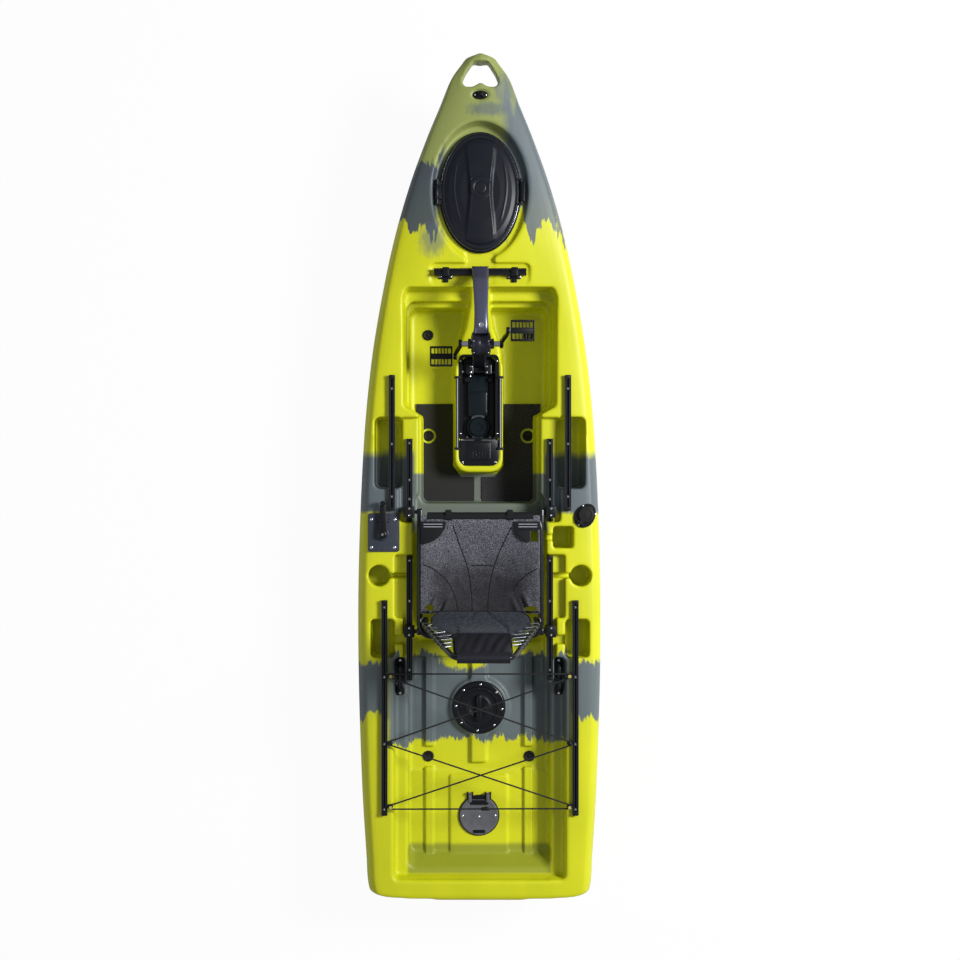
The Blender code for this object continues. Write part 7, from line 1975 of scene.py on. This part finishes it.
def rear_hatch():
    low = HATCH_SEAT_Z + 0.0003
    profile = [(0.047, 0.0), (0.0742, 0.0), (0.0757, 0.0014), (0.0757, 0.0038), (0.0745, 0.005),
               (0.056, 0.005), (0.056, 0.003), (0.047, 0.003)]
    ring = Build().stack([(ellipse(radius, radius, (0, REAR_HATCH_Y)), z) for radius, z in profile], low,
                         closed=True)
    for sign in (-1, 1):
        x0, x1 = sorted((sign * 0.027, sign * 0.039))
        for a, b in ((x0 - 0.0058, x0 - 0.0003), (x1 + 0.0003, x1 + 0.0058)):
            ring.block((a, b), (REAR_HINGE_Y - 0.03, REAR_HINGE_Y + 0.004), (low, low + 0.0045), 0.0015,
                       0.0006, 4)
            ring.pin((a, REAR_HINGE_Y, REAR_HINGE_Z), 0.004, 0.0055, (1, 0, 0), 0.0006, 22)
            ring.block((a, b), (REAR_HINGE_Y - 0.003, REAR_HINGE_Y + 0.003), (low + 0.003, REAR_HINGE_Z),
                       0.001, 0.0003, 3)
        ring.turned((x0 - 0.003, REAR_HINGE_Y, REAR_HINGE_Z), [(0.0016, 0), (0.0016, 0.018)], (1, 0, 0), 12)
    ring.piece("rear_hatch_ring_moulded", "hull", "satin_black", "black_plastic", "rear_hatch_ring")
    chord = 0.059
    outline = [(x, REAR_HATCH_Y + min(y, chord)) for x, y in ellipse(0.0717, 0.0717, count=96)]
    lid = Build()
    levels = [(outline, 0.0056), (outline, 0.0088), (shrunk(outline, 0.0022), 0.0104),
              (shrunk(outline, 0.0055), 0.0112), (shrunk(outline, 0.0075), 0.0104),
              (shrunk(outline, 0.04), 0.01)]
    lid.stack(levels, low)
    for sign in (-1, 1):
        x0, x1 = sorted((sign * 0.0272, sign * 0.0388))
        lid.block((x0, x1), (REAR_HATCH_Y + 0.05, REAR_HINGE_Y), (low + 0.0062, REAR_HINGE_Z + 0.0021),
                  0.002, 0.0008, 4)
        lid.pin((x0, REAR_HINGE_Y, REAR_HINGE_Z), 0.004, 0.0116, (1, 0, 0), 0.0006, 22)
    lid.piece("rear_hatch_lid_moulded", "rear_hatch_lid", "disc", "grey_plastic", "rear_hatch_lid")
    tab = Build().block((-0.034, 0.034), (REAR_HATCH_Y + 0.04, REAR_HATCH_Y + 0.0575),
                        (low + 0.0098, low + 0.0118), 0.005, 0.0007, 6)
    tab.block((-0.0225, 0.0225), (REAR_HATCH_Y - 0.064, REAR_HATCH_Y - 0.052), (low + 0.0098, low + 0.0122),
              0.004, 0.0008, 6)
    tab.piece("rear_hatch_tab", "rear_hatch_lid", "satin_black", "black_plastic")
    places = ((-0.06, -0.001), (0.06, -0.001), (0.0, -0.0035))
    screws = Build().screws([(x, REAR_HATCH_Y + y, low + 0.01) for x, y in places], 0.0042)
    screws.piece("rear_hatch_screws", "rear_hatch_lid", "bolt", "steel")


def steering():
    cx, cy = -0.348, -0.19
    build = Build().block((cx - 0.057, cx + 0.057), (cy - 0.07, cy + 0.07), (DECK_Z + 0.0003, PLATE_TOP_Z),
                          0.009, 0.0012, 8)
    socket = [(0.0238, 0.0), (0.0238, 0.0051), (0.0228, 0.0065), (0.0205, 0.0077), (0.0205, 0.0111),
              (0.019, 0.0114), (0.005, 0.0114)]
    build.turned((*LEVER_PIVOT, PLATE_TOP_Z - 0.0004), socket, count=48)
    build.turned((*LEVER_PIVOT, DECK_Z - 0.019), [(0.012, 0.0), (0.012, 0.02)], count=28)
    build.piece("steering_plate_moulded", "hull", "plate", "black_plastic", "steering_plate")
    rim = Build()
    track = []
    for k in range(31):
        a = math.radians(-30 + 60 * k / 30)
        track.append((LEVER_PIVOT[0] + 0.048 * math.sin(a), LEVER_PIVOT[1] + 0.048 * math.cos(a),
                      PLATE_TOP_Z + 0.0004))
    rim.tube(track, 0.0016, 8)
    for k in range(4):
        a = math.radians(-24 + 16 * k)
        rim.turned((LEVER_PIVOT[0] + 0.058 * math.sin(a), LEVER_PIVOT[1] + 0.058 * math.cos(a),
                    PLATE_TOP_Z - 0.0003), [(0.0026, 0.0), (0.0026, 0.0007), (0.0, 0.0008)], count=16)
    rim.piece("steering_arc", "hull", "rubber", "black_plastic")
    places = ((-0.392, -0.1425), (-0.307, -0.1425), (-0.392, -0.244), (-0.309, -0.244))
    screws = Build().screws([(x, y, PLATE_TOP_Z - 0.0002) for x, y in places], 0.0058, 0.0024)
    screws.piece("steering_screws", "hull", "bolt", "steel")

    x, y = LEVER_PIVOT
    low = DECK_Z + 0.0163
    hub, tip = 0.017, 0.009
    lean = math.asin((hub - tip) / LEVER_LENGTH)
    outline = [(x + hub * math.cos(a), y + hub * math.sin(a))
               for a in (math.pi - lean + (math.pi + 2 * lean) * k / 32 for k in range(33))]
    outline += [(x + tip * math.cos(a), y + LEVER_LENGTH + tip * math.sin(a))
                for a in (lean + (math.pi - 2 * lean) * k / 16 for k in range(17))]
    lever = Build().slab(outline, low, low + 0.0078, 0.0016)
    lever.turned((x, y, low + 0.0076), [(0.0125, 0), (0.0125, 0.001), (0.01, 0.0022), (0.0045, 0.0024)],
                 count=32)
    lever.piece("steering_lever_cast", "steering_lever", "satin_black", "grey_metal", "steering_lever")
    knob = Build().turned((x, y + LEVER_LENGTH, low),
                          [(0.0068, 0.006), (0.0072, 0.01), (0.009, 0.015), (0.0095, 0.021),
                           (0.0088, 0.0265), (0.006, 0.0296), (0.0, 0.0305)], count=32)
    knob.piece("lever_knob", "steering_lever", "satin_black", "black_plastic")
    bolt = Build().turned((x, y, low + 0.0098), [(0.0046, 0), (0.0046, 0.0022), (0.0038, 0.003)], count=6)
    bolt.piece("lever_bolt", "steering_lever", "bolt", "steel")


def rod_local(px, py):
    c, s = math.cos(ROD_TURN), math.sin(ROD_TURN)
    return ROD_CENTRE[0] + px * c - py * s, ROD_CENTRE[1] + px * s + py * c


def rod_holder():
    top = DECK_Z + 0.0065
    oval = [rod_local(0.0365 * math.cos(a) * (1.0 - 0.1 * math.sin(a)), -0.004 + 0.0465 * math.sin(a))
            for a in turns(80)]
    bore, tube = ([rod_local(*p) for p in ellipse(radius, radius, count=80)] for radius in (0.0205, 0.024))
    levels = [(tube, DECK_Z - 0.165), (tube, DECK_Z + 0.0003), (oval, DECK_Z + 0.0003), (oval, top - 0.0018),
              (shrunk(oval, 0.0016), top), (bore, top), (bore, DECK_Z - 0.16),
              (scaled(bore, 0.02, ROD_CENTRE), DECK_Z - 0.16)]
    build = Build().stack(levels)
    for sign in (-1, 1):
        ear = [rod_local(*p) for p in rect(*sorted((sign * 0.0085, sign * 0.0145)), -0.0425, -0.0325)]
        build.slab(rounded(ear, 0.0015, 4), top - 0.002, top + 0.0085, 0.001)
    build.piece("rod_holder_moulded", "hull", "satin_black", "black_plastic", "rod_holder", smooth=45.0)
    places = ((-0.0265, 0.02), (0.0265, 0.02), (0.0, -0.0445))
    screws = Build().screws([(*rod_local(*place), top - 0.0003) for place in places], 0.0036)
    screws.piece("rod_holder_screws", "hull", "bolt", "steel")
    low = top + 0.0003
    cap = Build().turned((*ROD_CENTRE, low),
                         [(0.0, 0.0004), (0.029, 0.0), (0.03, 0.001), (0.03, 0.0044), (0.0285, 0.0064),
                          (0.0255, 0.0078), (0.0215, 0.008), (0.02, 0.0066), (0.012, 0.007), (0.0, 0.0082)],
                         count=56)
    arm = rounded([rod_local(*p) for p in rect(-0.0078, 0.0078, -0.0375, -0.02)], 0.002, 4)
    cap.slab(arm, top + 0.002, top + 0.008, 0.001)
    start = Vector((*rod_local(-0.0078, -0.0375), top + 0.0045))
    end = Vector((*rod_local(0.0078, -0.0375), top + 0.0045))
    cap.turned(start, [(0.0036, 0), (0.0041, 0.0006), (0.0041, 0.015), (0.0036, 0.0156)], end - start, 24)
    tab = rounded([rod_local(*p) for p in rect(-0.0075, 0.0075, 0.0265, 0.035)], 0.003, 4)
    cap.slab(tab, low + 0.0002, low + 0.0036, 0.0008)
    cap.piece("rod_cap_moulded", "rod_holder_cap", "rubber", "black_plastic", "rod_holder_cap", smooth=45.0)


def side_handles():
    low = 0.2703
    for sign, side in SIDES:
        x, y = sign * 0.2895, -0.7185
        build = Build()
        for way in (-1, 1):
            foot_y = y + way * 0.05
            build.block((x - 0.016, x + 0.016), (foot_y - 0.018, foot_y + 0.018), (low, low + 0.008), 0.013,
                        0.0022, 8)
            for k in range(3):
                rib_half = 0.011 - k * 0.0012
                rib_y = foot_y - way * (0.02 - 0.0045 * k)
                build.block((x - rib_half, x + rib_half), (rib_y - 0.002, rib_y + 0.002),
                            (low + 0.004, low + 0.0125 + 0.003 * k), 0.0018, 0.0012, 4)
        arch = [(x, y - 0.05, low + 0.006), (x, y - 0.046, low + 0.03), (x, y + 0.046, low + 0.03),
                (x, y + 0.05, low + 0.006)]
        route = soft_route(arch, 0.022, 10)
        full = []
        for a, b in zip(route, route[1:]):
            full += [a + (b - a) * k / 4 for k in range(4)]
        full.append(route[-1])
        radii = []
        for p in full:
            along = abs(p.y - y)
            grip = 1 - eased(along, 0.034, 0.008)
            ribs = 0.0007 * (0.5 + 0.5 * math.sin(p.y * 700)) * grip
            radii.append(0.0072 + 0.0026 * grip - ribs)
        build.tube(full, radii, 16)
        build.piece("side_handle_moulded_" + side, "hull", "satin_black", "rubber", "side_handle_" + side,
                    smooth=50.0)
        bolts = Build()
        for way in (-1, 1):
            bolts.turned((x, y + way * 0.06, low + 0.0078),
                         [(0.005, 0), (0.005, 0.002), (0.0042, 0.0032), (0.0, 0.0035)], count=20)
        bolts.piece("handle_bolts_" + side, "hull", "bolt", "steel")


def scuppers():
    for (x, y), name in zip(SCUPPERS, ("front", "middle", "rear")):
        z = TANK_Z if name == "rear" else FOOT_Z
        for sign, side in SIDES:
            plug = Build().turned((sign * x, y, z),
                                  [(0.0105, -0.03), (0.0133, -0.028), (0.0133, 0.0003), (0.019, 0.0003),
                                   (0.02, 0.0012), (0.02, 0.0042), (0.0188, 0.0056), (0.0155, 0.0062),
                                   (0.014, 0.005), (0.007, 0.0044), (0.006, 0.0066), (0.0035, 0.0078),
                                   (0.0, 0.008)], count=44)
            plug.piece("scupper_plug_moulded_%s_%s" % (name, side), "hull", "rubber", "rubber",
                       "scupper_plug_%s_%s" % (name, side))


def main():
    make_finishes()
    dress_solids()
    skin = hull_skin()
    skin.data.materials.append(hull_finish())
    front_hatch()
    hatch_blocks()
    bow_fittings()
    drive_arm()
    drive_housing()
    cranks_and_pedals()
    drive_well()
    drive_cradle()
    drive_leg()
    propeller()
    rudder()
    track_hardware()
    bungee()
    seat_frame()
    seat_sling()
    back_frame()
    back_pad()
    back_trims()
    back_flap()
    deck_hatch()
    rear_hatch()
    steering()
    rod_holder()
    side_handles()
    scuppers()
    camera_and_lights()
    white_world()
    pale_floor()


main()
